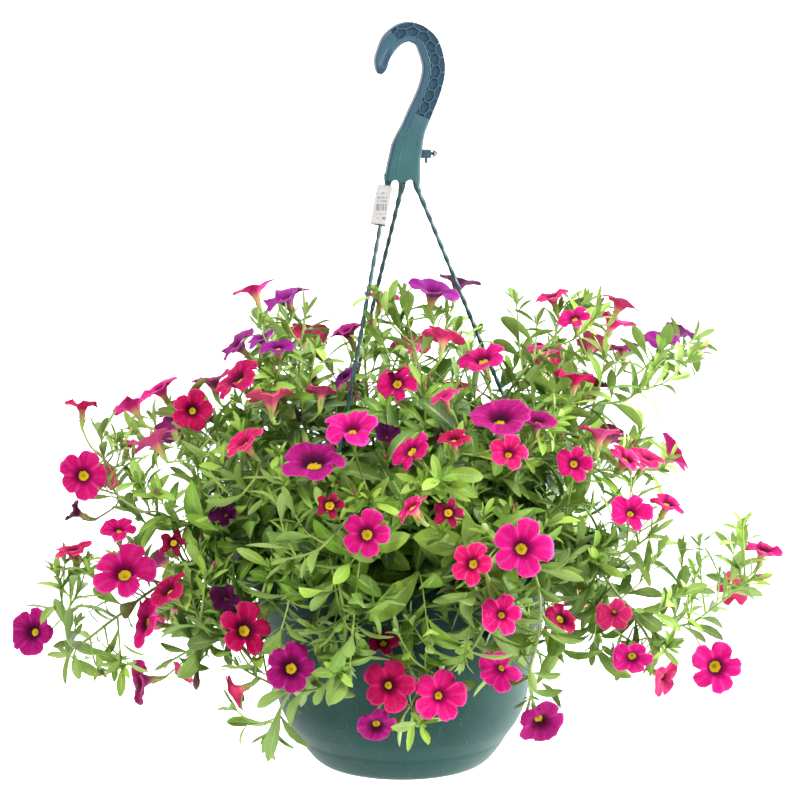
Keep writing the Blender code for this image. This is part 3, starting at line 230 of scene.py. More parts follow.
SPRAYS = (
    Spray("spray_far_left", (-70, -36),
          ((-112, -70, 172), (-160, -84, 150), (-211, -72, 126), (-240, -60, 113), (-253, -55, 133),
           (-258, -55, 158)),
          (),
          (Bloom((-281, -52, 108), (-0.5, -0.85, 0.1), 38, "purple", "bloom_far_left"),
           Bloom((-247, -47, 176), (-0.2, -0.1, 0.97), 33, "pink"))),
    Spray("spray_left", (-82, -18),
          ((-104, -30, 190), (-135, -48, 192), (-182, -46, 199), (-214, -35, 214), (-224, -30, 240),
           (-226, -28, 258)),
          (),
          (Bloom((-242, -48, 229), (-0.25, -0.95, 0.1), 38, "magenta", "bloom_left_eyed"),
           Bloom((-240, -24, 282), (0.0, 0.3, 0.95), 28, "crimson"),
           Bloom((-206, -10, 250), (0.3, 0.1, 0.9), 27, "magenta"),
           Bloom((-228, 2, 218), (0.2, 0.95, 0.1), 32, "pink"),
           Bloom((-252, -15, 192), (-0.97, -0.1, 0.1), 27, "dark"))),
    Spray("spray_left_up", (-62, -38),
          ((-84, -56, 206), (-110, -68, 240), (-142, -62, 262), (-161, -50, 278), (-168, -44, 292)),
          (),
          (Bloom((-185, -28, 294), (-0.6, -0.1, 0.75), 34, "magenta"),
           Bloom((-154, -66, 283), (0.1, -0.95, 0.25), 33, "crimson", "bloom_left_crimson"),
           Bloom((-172, -22, 262), (-0.2, 0.8, 0.3), 30, "purple"),
           Bloom((-184, -72, 264), (-0.55, 0.3, 0.75), 36, "dusty"))),
    Spray("spray_top_left", (-42, -22),
          ((-54, -38, 205), (-68, -50, 250), (-76, -54, 300), (-73, -47, 340), (-69, -40, 366)),
          (((-70, -52, 262), (-90, -58, 292), (-105, -52, 312), (-112, -44, 328)),),
          (Bloom((-91, -28, 361), (-0.6, -0.25, 0.75), 38, "violet", "bloom_top_left"),
           Bloom((-127, -22, 326), (-0.75, -0.1, 0.6), 34, "violet"),
           Bloom((-92, -62, 331), (-0.1, -0.3, 0.95), 28, "violet"),
           Bloom((-124, -64, 306), (-0.6, -0.45, 0.65), 42, "crimson", "bloom_left_fan"),
           Bloom((-98, -92, 299), (-0.25, 0.55, 0.8), 40, "dusty"),
           Bloom((-58, -76, 300), (0.1, 0.6, 0.7), 25, "dusty"))),
    Spray("spray_left_low", (-66, -56),
          ((-92, -92, 176), (-104, -112, 150), (-122, -112, 126), (-141, -101, 123), (-151, -96, 139),
           (-155, -95, 160)),
          (((-128, -108, 124), (-150, -92, 112), (-170, -78, 98)),),
          (Bloom((-203, -92, 166), (0.0, -0.78, 0.62), 50, "magenta", "bloom_left_broad"),
           Bloom((-172, -116, 159), (-0.55, -0.55, 0.62), 36, "crimson", "bloom_left_cup"),
           Bloom((-192, -84, 128), (-0.85, -0.45, 0.25), 40, "magenta", "bloom_left_side"),
           Bloom((-166, -84, 187), (0.0, -0.9, 0.4), 24, "star"),
           Bloom((-214, -48, 190), (-0.1, -0.5, 0.8), 30, "magenta"),
           Bloom((-163, -72, 84), (-0.6, -0.5, -0.5), 27, "dusty"),
           Bloom((-128, -118, 154), (0.0, -0.97, 0.2), 32, "dark"),
           Bloom((-198, -54, 71), (-0.8, -0.5, -0.15), 38, "purple", "bloom_left_hanging"))),
    Spray("spray_front_left", (-44, -70),
          ((-50, -108, 190), (-45, -150, 176), (-41, -152, 132), (-54, -137, 96), (-81, -126, 88),
           (-106, -120, 97), (-118, -116, 103)),
          (((-78, -128, 88), (-90, -120, 70), (-98, -112, 52)),),
          (Bloom((-112, -132, 136), (0.35, -0.75, 0.5), 44, "crimson", "bloom_front_left_crimson"),
           Bloom((-79, -146, 104), (0.0, -0.97, 0.1), 38, "purple", "bloom_front_left_eyed"),
           Bloom((-124, -108, 80), (-0.85, -0.1, -0.45), 32, "pink"))),
    Spray("spray_front_left_up", (-34, -48),
          ((-44, -78, 200), (-55, -112, 232), (-74, -128, 244), (-105, -116, 244), (-132, -96, 238)),
          (((-50, -96, 220), (-50, -128, 244), (-46, -148, 248)),),
          (Bloom((-117, -112, 269), (-0.65, -0.2, 0.7), 34, "pink"),
           Bloom((-131, -114, 214), (-0.4, -0.8, 0.3), 30, "dark"),
           Bloom((-61, -165, 263), (0.0, -0.6, 0.8), 50, "purple", "bloom_front_wide"),
           Bloom((-50, -194, 238), (0.0, -0.9, 0.4), 24, "star"))),
    Spray("spray_front", (-14, -66),
          ((-16, -104, 200), (-22, -136, 232), (-38, -164, 224), (-58, -172, 204), (-80, -168, 196)),
          (((-18, -118, 216), (-4, -142, 236), (6, -158, 244)),),
          (Bloom((-34, -146, 286), (0.0, -0.6, 0.8), 43, "magenta", "bloom_front_upper"),
           Bloom((-24, -196, 216), (-0.1, -0.97, 0.15), 37, "magenta", "bloom_front_centre"),
           Bloom((4, -188, 236), (-0.7, -0.3, 0.65), 30, "pink"),
           Bloom((-12, -104, 272), (0.0, -0.7, 0.6), 26, "dark"))),
    Spray("spray_front_low", (20, -76),
          ((34, -112, 192), (56, -148, 190), (63, -158, 160), (52, -147, 128), (36, -140, 109),
           (18, -134, 101), (4, -132, 98)),
          (((34, -140, 108), (16, -124, 90), (0, -120, 66)),),
          (Bloom((-10, -156, 96), (0.05, -0.98, 0.05), 40, "crimson", "bloom_front_low_left"),
           Bloom((-22, -130, 62), (-0.2, -0.85, -0.4), 32, "purple"),
           Bloom((28, -150, 86), (0.25, -0.95, 0.0), 40, "magenta", "bloom_front_low_right"),
           Bloom((-12, -140, 124), (0.0, -0.85, 0.5), 24, "crimson"))),
    Spray("spray_front_right", (48, -66),
          ((66, -100, 196), (84, -138, 196), (97, -150, 172), (98, -146, 136), (92, -132, 104),
           (94, -118, 80)),
          (((80, -130, 198), (72, -150, 206), (64, -156, 212)),),
          (Bloom((84, -194, 207), (0.05, -0.98, 0.2), 46, "magenta", "bloom_right_broad"),
           Bloom((50, -186, 192), (-0.3, -0.93, 0.1), 33, "pink", "bloom_front_pink"),
           Bloom((72, -176, 156), (0.1, -0.9, 0.35), 32, "pink"),
           Bloom((70, -148, 108), (-0.4, -0.85, -0.2), 36, "magenta", "bloom_front_right_side"),
           Bloom((118, -142, 142), (0.7, -0.6, 0.3), 28, "crimson"),
           Bloom((99, -106, 52), (0.1, -0.5, -0.85), 38, "purple", "bloom_right_hanging"),
           Bloom((34, -180, 230), (0.1, -0.95, 0.3), 24, "star"))),
    Spray("spray_right_low", (78, -38),
          ((104, -62, 186), (140, -84, 172), (165, -82, 142), (190, -72, 124), (214, -62, 121),
           (236, -50, 132), (254, -42, 144), (262, -44, 150)),
          (((176, -78, 132), (182, -82, 116), (186, -76, 100)),),
          (Bloom((278, -34, 170), (0.5, -0.3, 0.8), 33, "magenta", "bloom_far_right"),
           Bloom((256, -6, 134), (0.4, 0.6, -0.2), 30, "pink"),
           Bloom((234, -80, 92), (0.15, -0.97, 0.1), 43, "magenta", "bloom_right_low_eyed"),
           Bloom((152, -108, 140), (-0.3, -0.85, -0.3), 30, "dusty"),
           Bloom((170, -112, 108), (0.1, -0.9, -0.3), 32, "magenta"),
           Bloom((193, -76, 76), (0.5, -0.5, -0.7), 32, "dusty"))),
    Spray("spray_right", (64, -50),
          ((90, -74, 200), (118, -96, 198), (142, -100, 184), (164, -94, 184), (182, -86, 194)),
          (),
          (Bloom((164, -108, 212), (-0.1, -0.9, 0.4), 34, "magenta"),
           Bloom((200, -72, 212), (0.5, -0.5, 0.6), 30, "magenta"))),
    Spray("spray_right_up", (58, -22),
          ((78, -34, 210), (102, -46, 256), (131, -46, 284), (162, -30, 300), (188, -10, 312), (210, 6, 326),
           (222, 12, 334)),
          (((112, -47, 268), (132, -62, 264), (148, -64, 252)),),
          (Bloom((196, -14, 330), (0.1, -0.3, 0.95), 32, "violet"),
           Bloom((214, 32, 328), (0.4, 0.6, 0.6), 28, "violet"),
           Bloom((168, 22, 318), (-0.1, 0.4, 0.9), 30, "purple"),
           Bloom((144, -84, 273), (0.1, 0.25, 0.95), 34, "dusty"),
           Bloom((124, -112, 252), (0.0, -0.9, 0.3), 28, "magenta"),
           Bloom((170, -70, 246), (0.7, -0.3, 0.6), 34, "pink"))),
    Spray("spray_upper_right", (36, -16),
          ((46, -28, 210), (62, -40, 260), (82, -44, 298), (106, -36, 326), (129, -26, 350), (146, -20, 368)),
          (),
          (Bloom((112, -12, 362), (-0.3, -0.1, 0.9), 28, "pink"),
           Bloom((168, -10, 356), (0.6, 0.2, 0.75), 34, "pink"),
           Bloom((128, -54, 350), (-0.1, -0.6, 0.75), 26, "magenta"),
           Bloom((144, 6, 320), (0.2, 0.9, 0.3), 28, "dusty"))),
    Spray("spray_upper_right_low", (38, -44),
          ((50, -68, 214), (66, -86, 252), (88, -84, 278), (112, -70, 297), (130, -58, 312)),
          (),
          (Bloom((126, -78, 312), (0.1, 0.3, 0.95), 32, "crimson"),
           Bloom((148, -34, 298), (0.6, 0.3, 0.7), 28, "dark"),
           Bloom((98, -112, 286), (0.1, -0.2, 0.97), 30, "purple"))),
    Spray("spray_top", (8, -20),
          ((14, -30, 210), (18, -44, 260), (14, -44, 305), (4, -28, 345), (-1, -15, 380)),
          (((18, -42, 250), (36, -52, 280), (44, -54, 300)),),
          (Bloom((26, -26, 368), (0.3, -0.3, 0.9), 42, "violet", "bloom_top"),
           Bloom((30, -66, 340), (0.1, 0.6, 0.75), 34, "pink"),
           Bloom((56, -72, 322), (-0.4, -0.5, 0.75), 38, "magenta", "bloom_top_right"),
           Bloom((-4, -68, 305), (-0.2, -0.8, 0.5), 34, "magenta"))),
    Spray("spray_front_top", (14, -48),
          ((20, -78, 204), (28, -106, 240), (40, -116, 262), (58, -116, 272)),
          (((26, -98, 230), (24, -128, 246), (28, -140, 252)),),
          (Bloom((70, -122, 291), (0.0, -0.35, 0.93), 48, "purple", "bloom_right_wide"),
           Bloom((76, -158, 266), (0.1, -0.9, 0.4), 31, "pink", "bloom_right_pink_eyed"),
           Bloom((36, -156, 278), (-0.1, -0.6, 0.75), 26, "crimson"),
           Bloom((6, -146, 268), (-0.5, -0.6, 0.6), 34, "magenta"),
           Bloom((26, -112, 302), (-0.6, -0.2, 0.75), 26, "dusty"))),
    Spray("spray_top_behind", (-14, 4),
          ((-18, 6, 210), (-24, 4, 265), (-28, 2, 310), (-24, 4, 350)),
          (),
          (Bloom((-14, 2, 360), (0.3, -0.1, 0.95), 30, "crimson"),
           Bloom((-46, 2, 332), (-0.6, 0.0, 0.75), 32, "purple"),
           Bloom((-46, -8, 296), (-0.8, -0.3, 0.4), 26, "violet"))),
    Spray("spray_back_left_low", (-66, 40),
          ((-98, 74, 180), (-138, 100, 160), (-168, 118, 120), (-182, 124, 84)),
          (),
          (Bloom((-198, 142, 74), (-0.6, 0.8, 0.1), 42, "magenta"),
           Bloom((-156, 140, 136), (-0.3, 0.9, 0.3), 44, "pink"),
           Bloom((-200, 100, 128), (-0.9, 0.3, 0.3), 38, "purple"))),
    Spray("spray_back_left", (-58, 14),
          ((-86, 36, 206), (-130, 64, 230), (-176, 84, 236), (-206, 94, 242)),
          (((-120, 58, 224), (-128, 40, 250), (-140, 26, 274)),),
          (Bloom((-220, 104, 256), (-0.7, 0.4, 0.6), 38, "magenta"),
           Bloom((-176, 112, 250), (-0.2, 0.8, 0.6), 40, "crimson"),
           Bloom((-150, 22, 292), (-0.5, 0.2, 0.85), 34, "purple"))),
    Spray("spray_back_left_up", (-34, 24),
          ((-50, 44, 220), (-74, 60, 275), (-96, 66, 318), (-106, 68, 342)),
          (),
          (Bloom((-118, 76, 356), (-0.4, 0.4, 0.85), 36, "magenta"),
           Bloom((-78, 92, 312), (-0.1, 0.9, 0.4), 40, "pink"),
           Bloom((-112, 40, 320), (-0.7, -0.2, 0.7), 30, "violet"))),
    Spray("spray_back_low", (-4, 82),
          ((-8, 118, 184), (-10, 156, 160), (-10, 170, 118), (-8, 172, 84)),
          (),
          (Bloom((-4, 192, 74), (0.0, 0.95, -0.2), 42, "crimson"),
           Bloom((-40, 180, 128), (-0.4, 0.9, 0.1), 38, "magenta"),
           Bloom((28, 182, 142), (0.3, 0.9, 0.2), 38, "pink"))),
    Spray("spray_back", (2, 50),
          ((6, 84, 206), (14, 128, 234), (20, 170, 236), (22, 196, 226)),
          (((10, 104, 220), (-16, 132, 240), (-36, 152, 244)),),
          (Bloom((26, 220, 224), (0.1, 0.9, 0.3), 44, "magenta"),
           Bloom((-48, 168, 256), (-0.3, 0.7, 0.6), 40, "purple"),
           Bloom((52, 160, 262), (0.4, 0.5, 0.75), 38, "magenta"))),
    Spray("spray_back_up", (12, 20),
          ((18, 34, 220), (26, 52, 280), (34, 62, 325), (38, 66, 350)),
          (),
          (Bloom((46, 74, 362), (0.3, 0.4, 0.85), 36, "violet"),
           Bloom((8, 96, 306), (-0.1, 0.8, 0.6), 38, "pink"))),
    Spray("spray_back_right_up", (42, 22),
          ((62, 42, 220), (92, 64, 262), (126, 78, 296), (154, 84, 314)),
          (),
          (Bloom((170, 92, 328), (0.5, 0.4, 0.75), 38, "magenta"),
           Bloom((116, 112, 292), (0.2, 0.9, 0.4), 40, "crimson"),
           Bloom((110, 50, 312), (-0.2, -0.2, 0.95), 32, "dusty"))),
    Spray("spray_back_right", (64, 34),
          ((94, 54, 200), (136, 84, 208), (176, 104, 204), (204, 112, 204)),
          (),
          (Bloom((222, 122, 212), (0.8, 0.5, 0.3), 42, "magenta"),
           Bloom((166, 130, 226), (0.2, 0.8, 0.6), 40, "purple"),
           Bloom((196, 66, 222), (0.5, -0.2, 0.85), 34, "pink"))),
    Spray("spray_back_right_low", (50, 62),
          ((76, 94, 186), (112, 128, 166), (134, 142, 124), (146, 148, 88)),
          (),
          (Bloom((155, 164, 78), (0.5, 0.8, 0.0), 40, "pink"),
           Bloom((118, 164, 138), (0.2, 0.95, 0.2), 42, "magenta"))),
)


# ---------------------------------------------------------------- clearance shapes and curves


@dataclass
class Shape:
    """Points and faces of one plain solid, used only to keep things clear of each other."""

    points: list[Vector]
    faces: list[tuple[int, ...]]

    def moved(self, matrix: Matrix) -> Shape:
        """Returns this shape under a matrix."""
        return Shape([matrix @ point for point in self.points], self.faces)


def ring_faces(count: int, sides: int) -> list[tuple[int, ...]]:
    """Lists the triangle pairs between rings of points, with a flat face at both ends.

    Args:
        count: how many rings there are.
        sides: how many points each ring has.

    Returns:
        The corners of each face.
    """
    faces: list[tuple[int, ...]] = []
    for ring in range(count - 1):
        low, high = ring * sides, (ring + 1) * sides
        for side in range(sides):
            after = (side + 1) % sides
            faces.append((low + side, low + after, high + after))
            faces.append((low + side, high + after, high + side))
    last = (count - 1) * sides
    return [*faces, tuple(reversed(range(sides))), tuple(range(last, last + sides))]


def ring_points(radius: float, height: float, sides: int) -> list[Vector]:
    """Returns evenly spaced points of a level circle."""
    angles = [TAU * side / sides for side in range(sides)]
    return [Vector((radius * math.cos(angle), radius * math.sin(angle), height)) for angle in angles]


def smooth_route(points: list[Vector], step: float) -> list[Vector]:
    """Draws a smooth curve through points.

    Args:
        points: the points that it passes through.
        step: about how far apart the new points are, in metres.

    Returns:
        The curve's points, the given ones among them.
    """
    ends = [points[0] * 2.0 - points[1], *points, points[-1] * 2.0 - points[-2]]
    path = []
    for index in range(1, len(ends) - 2):
        before, start, stop, after = ends[index - 1:index + 3]
        pieces = max(1, round((stop - start).length / step))
        for part in range(pieces):
            t = part / pieces
            path.append(0.5 * (2.0 * start + (stop - before) * t
                               + (2.0 * before - 5.0 * start + 4.0 * stop - after) * t * t
                               + (3.0 * start - before - 3.0 * stop + after) * t * t * t))
    path.append(points[-1].copy())
    return path


def tangents(path: list[Vector]) -> list[Vector]:
    """Returns the direction of a path at each of its points."""
    last = len(path) - 1
    return [(path[min(i + 1, last)] - path[max(i - 1, 0)]).normalized() for i in range(len(path))]


def tube(path: list[Vector], radii: list[float], sides: int = 3) -> Shape:
    """Makes a plain closed tube along a path.

    Args:
        path: its centre line.
        radii: its radius at each point of the path.
        sides: how many sides it has.

    Returns:
        The tube.
    """
    ways = tangents(path)
    across = ways[0].orthogonal().normalized()
    points = []
    for index, (point, way) in enumerate(zip(path, ways)):
        across = (across - way * across.dot(way)).normalized()
        other = way.cross(across)
        for side in range(sides):
            angle = TAU * side / sides
            points.append(point + (across * math.cos(angle) + other * math.sin(angle)) * radii[index])
    return Shape(points, ring_faces(len(path), sides))


def frame_along(way: Vector) -> Matrix:
    """Turns a frame to a direction.

    Args:
        way: the direction.

    Returns:
        The rotation whose Z is the direction and whose X is as near level as can be.
    """
    z = Vector(way).normalized()
    x = UP.cross(z)
    x = x.normalized() if x.length > 1e-4 else Vector((1.0, 0.0, 0.0))
    return Matrix((x, z.cross(x), z)).transposed().to_4x4()


def bloom_shape(width: float, tube_length: float) -> Shape:
    """Makes a plain five-lobed trumpet that opens along +Z, its face at the origin.

    Args:
        width: how wide its face is, in metres.
        tube_length: how far its tube reaches behind the face.

    Returns:
        The trumpet.
    """
    radius = width / 2.0
    rim = []
    for lobe in range(LOBES):
        for offset, reach, lift in WIDE_LOBE:
            angle = TAU * lobe / LOBES + offset
            rim.append(Vector((math.cos(angle) * reach, math.sin(angle) * reach, lift)) * radius)
    throat = len(rim)
    points = [*rim, Vector((0.0, 0.0, -THROAT_DEPTH * radius))]
    points += ring_points(NECK_RADIUS * radius, -NECK_DEPTH * radius, LOBES)
    points += ring_points(TUBE_RADIUS, -tube_length, LOBES)
    faces: list[tuple[int, ...]] = [(i, (i + 1) % throat, throat) for i in range(throat)]
    neck, base = throat + 1, throat + 1 + LOBES
    for lobe in range(LOBES):
        here, after = neck + lobe, neck + (lobe + 1) % LOBES
        left, right, notch = 3 * lobe, 3 * lobe + 1, 3 * lobe + 2
        following = (3 * lobe + 3) % throat
        faces += [(right, left, here), (notch, right, here), (notch, here, after), (following, notch, after)]
        low, low_after = base + lobe, base + (lobe + 1) % LOBES
        faces += [(here, low, low_after), (here, low_after, after)]
    return Shape(points, [*faces, tuple(range(base + LOBES - 1, base - 1, -1))])


def stalked_bloom(path: list[Vector], radii: list[float], matrix: Matrix, width: float) -> Shape:
    """Makes a plain trumpet in one solid with its stalk.

    Args:
        path: the stalk's centre line, which ends at the base of the tube.
        radii: the stalk's radius at each point of the path.
        matrix: the frame of the trumpet's face.
        width: how wide the face is, in metres.

    Returns:
        The trumpet and its stalk.
    """
    radius, sides = width / 2.0, 3
    neck = matrix @ Vector((0.0, 0.0, -NECK_DEPTH * radius))
    line = [neck, *reversed(path)]
    ways = tangents(line)
    across = matrix.to_3x3() @ Vector((1.0, 0.0, 0.0))
    points = []
    for point, way, size in zip(line, ways, [NECK_RADIUS * radius, *reversed(radii)]):
        across = (across - way * across.dot(way)).normalized()
        for side in range(sides):
            points.append(point + Quaternion(way, TAU * side / sides) @ across * size)
    faces = [face for face in ring_faces(len(line), sides) if face != tuple(reversed(range(sides)))]
    first = len(points)
    for lobe in range(LOBES):
        for offset, reach, lift in SMALL_LOBE if width < WIDE_BLOOM else WIDE_LOBE:
            angle = -(TAU * lobe / LOBES + offset)
            corner = Vector((math.cos(angle) * reach, math.sin(angle) * reach, lift))
            points.append(matrix @ (corner * radius))
    count, throat = len(points) - first, len(points)
    points.append(matrix @ Vector((0.0, 0.0, -THROAT_DEPTH * radius)))
    for index in range(count):
        here, after = first + index, first + (index + 1) % count
        side, next_side = (round(step * sides / count) % sides for step in (index, index + 1))
        faces += [(after, here, throat), (here, after, side)]
        if next_side != side:
            faces.append((side, after, next_side))
    return Shape(points, faces)


def leaf_shape(length: float, width: float, arch: float) -> Shape:
    """Makes a plain narrow blade along +Z whose upper face looks to +X, rooted at the origin.

    Args:
        length: how long it is, in metres.
        width: how wide it is.
        arch: how far it bends back, as a share of its length.

    Returns:
        The blade.
    """
    stations = LONG_STATIONS if length > LONG_LEAF else SHORT_STATIONS
    points = [Vector((0.0, 0.0, 0.0))]
    for share, half, bend in stations:
        x, z = -arch * length * bend * share, share * length
        points += [Vector((x, -half * width, z)), Vector((x, half * width, z)), Vector((x - BLADE, 0.0, z))]
    points.append(Vector((-arch * length * 1.15, 0.0, length)))
    last = len(points) - 1
    faces: list[tuple[int, ...]] = [(0, 2, 1), (0, 1, 3), (0, 3, 2)]
    for row in range(len(stations) - 1):
        a, b, c = 1 + 3 * row, 2 + 3 * row, 3 + 3 * row
        for here, after in ((a, b), (c, a), (b, c)):
            faces += [(here, after, after + 3), (here, after + 3, here + 3)]
    ends = [(last - 3, last - 2, last), (last - 1, last - 3, last), (last - 2, last - 1, last)]
    return Shape(points, faces + ends)


class Space:
    """What has been placed, so that nothing is put through it."""

    def __init__(self) -> None:
        """Starts with nothing placed."""
        self.solids: list[tuple[str, list[float], list[float], BVHTree]] = []

    def take(self, owner: str, shape: Shape) -> None:
        """Records a placed shape under its owner's name."""
        low, high = self.limits(shape)
        self.solids.append((owner, low, high, BVHTree.FromPolygons(shape.points, shape.faces)))

    def blocker(self, owner: str, shape: Shape) -> str:
        """Tells which other owner's solid a shape would touch.

        Args:
            owner: the name whose own solids don't count.
            shape: the shape to try.

        Returns:
            The other owner's name, or an empty text.
        """
        low, high = self.limits(shape)
        tree = None
        for other, other_low, other_high, other_tree in self.solids:
            if other == owner:
                continue
            if any(low[i] > other_high[i] or high[i] < other_low[i] for i in range(3)):
                continue
            tree = tree or BVHTree.FromPolygons(shape.points, shape.faces)
            if tree.overlap(other_tree):
                return other
        return ""

    @staticmethod
    def limits(shape: Shape) -> tuple[list[float], list[float]]:
        """Returns the lowest and the highest corner of a shape."""
        return ([min(point[i] for point in shape.points) for i in range(3)],
                [max(point[i] for point in shape.points) for i in range(3)])


# ---------------------------------------------------------------- the plant's layout


@dataclass
class Stem:
    """A placed stem: the points that it was routed by, and the coarse path through them."""

    owner: str
    knots: list[Vector]
    path: list[Vector]
    side: bool
    leaves: list[Leaf] = field(default_factory=list)
    tuft: float = 0.02


@dataclass
class Stalk:
    """A placed flower stalk, from its joint to the base of the bloom's tube."""

    owner: str
    knots: list[Vector]
    bloom: Bloom


@dataclass
class Leaf:
    """A placed leaf: its frame, upper face to X and length along Z, its sizes and its age, 0 old to 1 new."""

    matrix: Matrix
    length: float
    width: float
    arch: float
    youth: float = 0.3


def in_soil(point: Vector) -> bool:
    """Tells whether a point lies below the soil's top, inside the pot."""
    return point.z < SOIL_TOP + SOIL_MARGIN and math.hypot(point.x, point.y) < SOIL_REACH


def stem_radii(path: list[Vector]) -> list[float]:
    """Returns a stem's radius at each point of its path."""
    last = len(path) - 1
    return [STEM_RADIUS * (1.0 - 0.4 * index / last) for index in range(last + 1)]


@dataclass
class Layout:
    """Where every stem, stalk and large leaf of the frame's sprays lies."""

    space: Space
    stems: list[Stem] = field(default_factory=list)
    stalks: list[Stalk] = field(default_factory=list)

    def grow(self) -> None:
        """Places the blooms, then the stems, the stalks and the leaves, each clear of what stands already."""
        for spray in SPRAYS:
            for bloom in spray.blooms:
                shape = bloom_shape(bloom.width * MM, bloom.tube_length).moved(bloom.matrix)
                self.space.take(bloom.node or spray.name, shape)
        for spray in SPRAYS:
            self.place_stems(spray)
        for spray in SPRAYS:
            self.place_stalks(spray)
        for spray in SPRAYS:
            self.place_leaves(spray)

    def bent_clear(self, owner: str, points: list[Vector], radius: float, draw: random.Random,
                   free: range) -> list[Vector] | None:
        """Bends a route at its free points until its tube is clear of other owners.

        Args:
            owner: the spray that the route belongs to.
            points: the route's points.
            radius: the tube's radius.
            draw: the spray's own random draws.
            free: the indices of the points that may move.

        Returns:
            The moved points, or None where no bend was clear.
        """
        for attempt in range(BEND_TRIES):
            sway = 0.0 if attempt == 0 else FIRST_SWAY + MORE_SWAY * attempt
            moved = [point + Vector([draw.uniform(-sway, sway) for _ in range(3)]) if index in free else point
                     for index, point in enumerate(points)]
            outside = [point for point in smooth_route(moved, STEM_STEP) if not in_soil(point)]
            if not self.space.blocker(owner, tube(outside, [radius + MARGIN] * len(outside))):
                return moved
        return None

    def place_stems(self, spray: Spray) -> None:
        """Places a spray's main stem and its side stems.

        Args:
            spray: the spray.
        """
        draw = random.Random(spray.name)
        x, y = spray.root
        start = [mm(x, y, 1000.0 * (SOIL_TOP - ROOT_DEPTH)), mm(x, y, 1000.0 * SOIL_TOP + 2.0)]
        routes = [start + [mm(*point) for point in spray.route]]
        routes += [[mm(*point) for point in side] for side in spray.sides]
        main: list[Vector] = []
        for index, route in enumerate(routes):
            if index:
                route[0] = min(main, key=lambda point: (point - route[0]).length)
            free = range(1 if index else 2, len(route))
            knots = self.bent_clear(spray.name, route, STEM_RADIUS, draw, free)
            if knots is None:
                LOG.warning("stem %d of %s isn't clear", index, spray.name)
                knots = route
            path = smooth_route(knots, STEM_STEP)
            main = main or path
            self.space.take(spray.name, tube(path, stem_radii(path)))
            self.stems.append(Stem(spray.name, knots, path, bool(index)))

    def place_stalks(self, spray: Spray) -> None:
        """Places the stalk of each of a spray's blooms.

        Args:
            spray: the spray.
        """
        draw = random.Random(f"{spray.name} stalks")
        joints = [point for stem in self.stems if stem.owner == spray.name for point in stem.path[1:-1]
                  if math.hypot(point.x, point.y) > JOINT_RADIUS or point.z > SOIL_TOP + JOINT_HEIGHT]
        for bloom in spray.blooms:
            way = Vector(bloom.opens).normalized()
            top = mm(*bloom.at) - way * (bloom.tube_length + (CLEARANCE if bloom.node else 0.0))
            foot = top - way * CALYX_LENGTH
            knots, route = None, []
            for joint in sorted(joints, key=lambda point: (point - foot).length)[:STALK_JOINTS]:
                reach = (foot - joint).length
                behind = foot - way * reach * 0.4
                route = [joint, joint.lerp(behind, 0.6) + UP * reach * 0.1, foot]
                if reach < SHORT_STALK:
                    route.pop(1)
                knots = self.bent_clear(spray.name, route, STALK_RADIUS, draw, range(1, len(route) - 1))
                if knots:
                    break
            knots = knots or route
            path = [*smooth_route(knots, STEM_STEP), top]
            radii = [STALK_RADIUS] * (len(path) - 2) + [STALK_RADIUS * 1.4, CALYX_RADIUS]
            if bloom.node:
                self.space.take(spray.name, tube(path, radii))
            else:
                self.space.take(spray.name, stalked_bloom(path, radii, bloom.matrix, bloom.width * MM))
            self.stalks.append(Stalk(spray.name, [*knots, top], bloom))

    def place_leaves(self, spray: Spray) -> None:
        """Places the large leaves along a spray's stems, and measures the room for the tuft at each tip.

        Args:
            spray: the spray.
        """
        draw = random.Random(f"{spray.name} leaves")
        for stem in (stem for stem in self.stems if stem.owner == spray.name):
            path, ways = stem.path, tangents(stem.path)
            turn = draw.uniform(0.0, 6.0)
            for index in range(1, len(path) - 1):
                point = path[index]
                if math.hypot(point.x, point.y) < BARE_RADIUS and point.z < SOIL_TOP + BARE_HEIGHT:
                    continue
                share = index / (len(path) - 1)
                turn += PHYLLOTAXY + draw.uniform(-0.25, 0.25)
                length = (LEAF_LENGTH - (LEAF_LENGTH - TIP_LEAF_LENGTH) * share) * draw.uniform(0.85, 1.12)
                leaf = self.placed_leaf(spray.name, point, ways[index], turn, length,
                                        draw.uniform(*LEAF_LEAN), draw.uniform(*LEAF_ARCH))
                if leaf:
                    leaf.youth = share * share
                    stem.leaves.append(leaf)
            stem.tuft = self.tuft_reach(spray.name, path[-1], ways[-1], draw)

    def placed_leaf(self, owner: str, joint: Vector, way: Vector, angle: float, length: float, lean: float,
                    arch: float) -> Leaf | None:
        """Places a leaf, turned or shortened until it is clear of the other owners.

        Args:
            owner: the spray that it grows on.
            joint: where it leaves the stem.
            way: the stem's direction there.
            angle: the leaf's angle about the stem.
            length: its length.
            lean: its angle away from the stem.
            arch: how far it bends back.

        Returns:
            The leaf, or None where there is no room.
        """
        for turn, shrink in LEAF_TRIES:
            size = length * shrink
            matrix = leaf_frame(joint, way, angle + turn, lean)
            upper = matrix.to_3x3() @ Vector((1.0, 0.0, 0.0))
            width = size * LEAF_ASPECT
            test = leaf_shape(size + MARGIN, width + 2.0 * MARGIN, arch).moved(matrix)
            lifted = leaf_shape(size + MARGIN, width, arch).moved(Matrix.Translation(upper * MARGIN) @ matrix)
            if not self.space.blocker(owner, test) and not self.space.blocker(owner, lifted):
                self.space.take(owner, leaf_shape(size, width, arch).moved(matrix))
                return Leaf(matrix, size, width, arch)
        return None

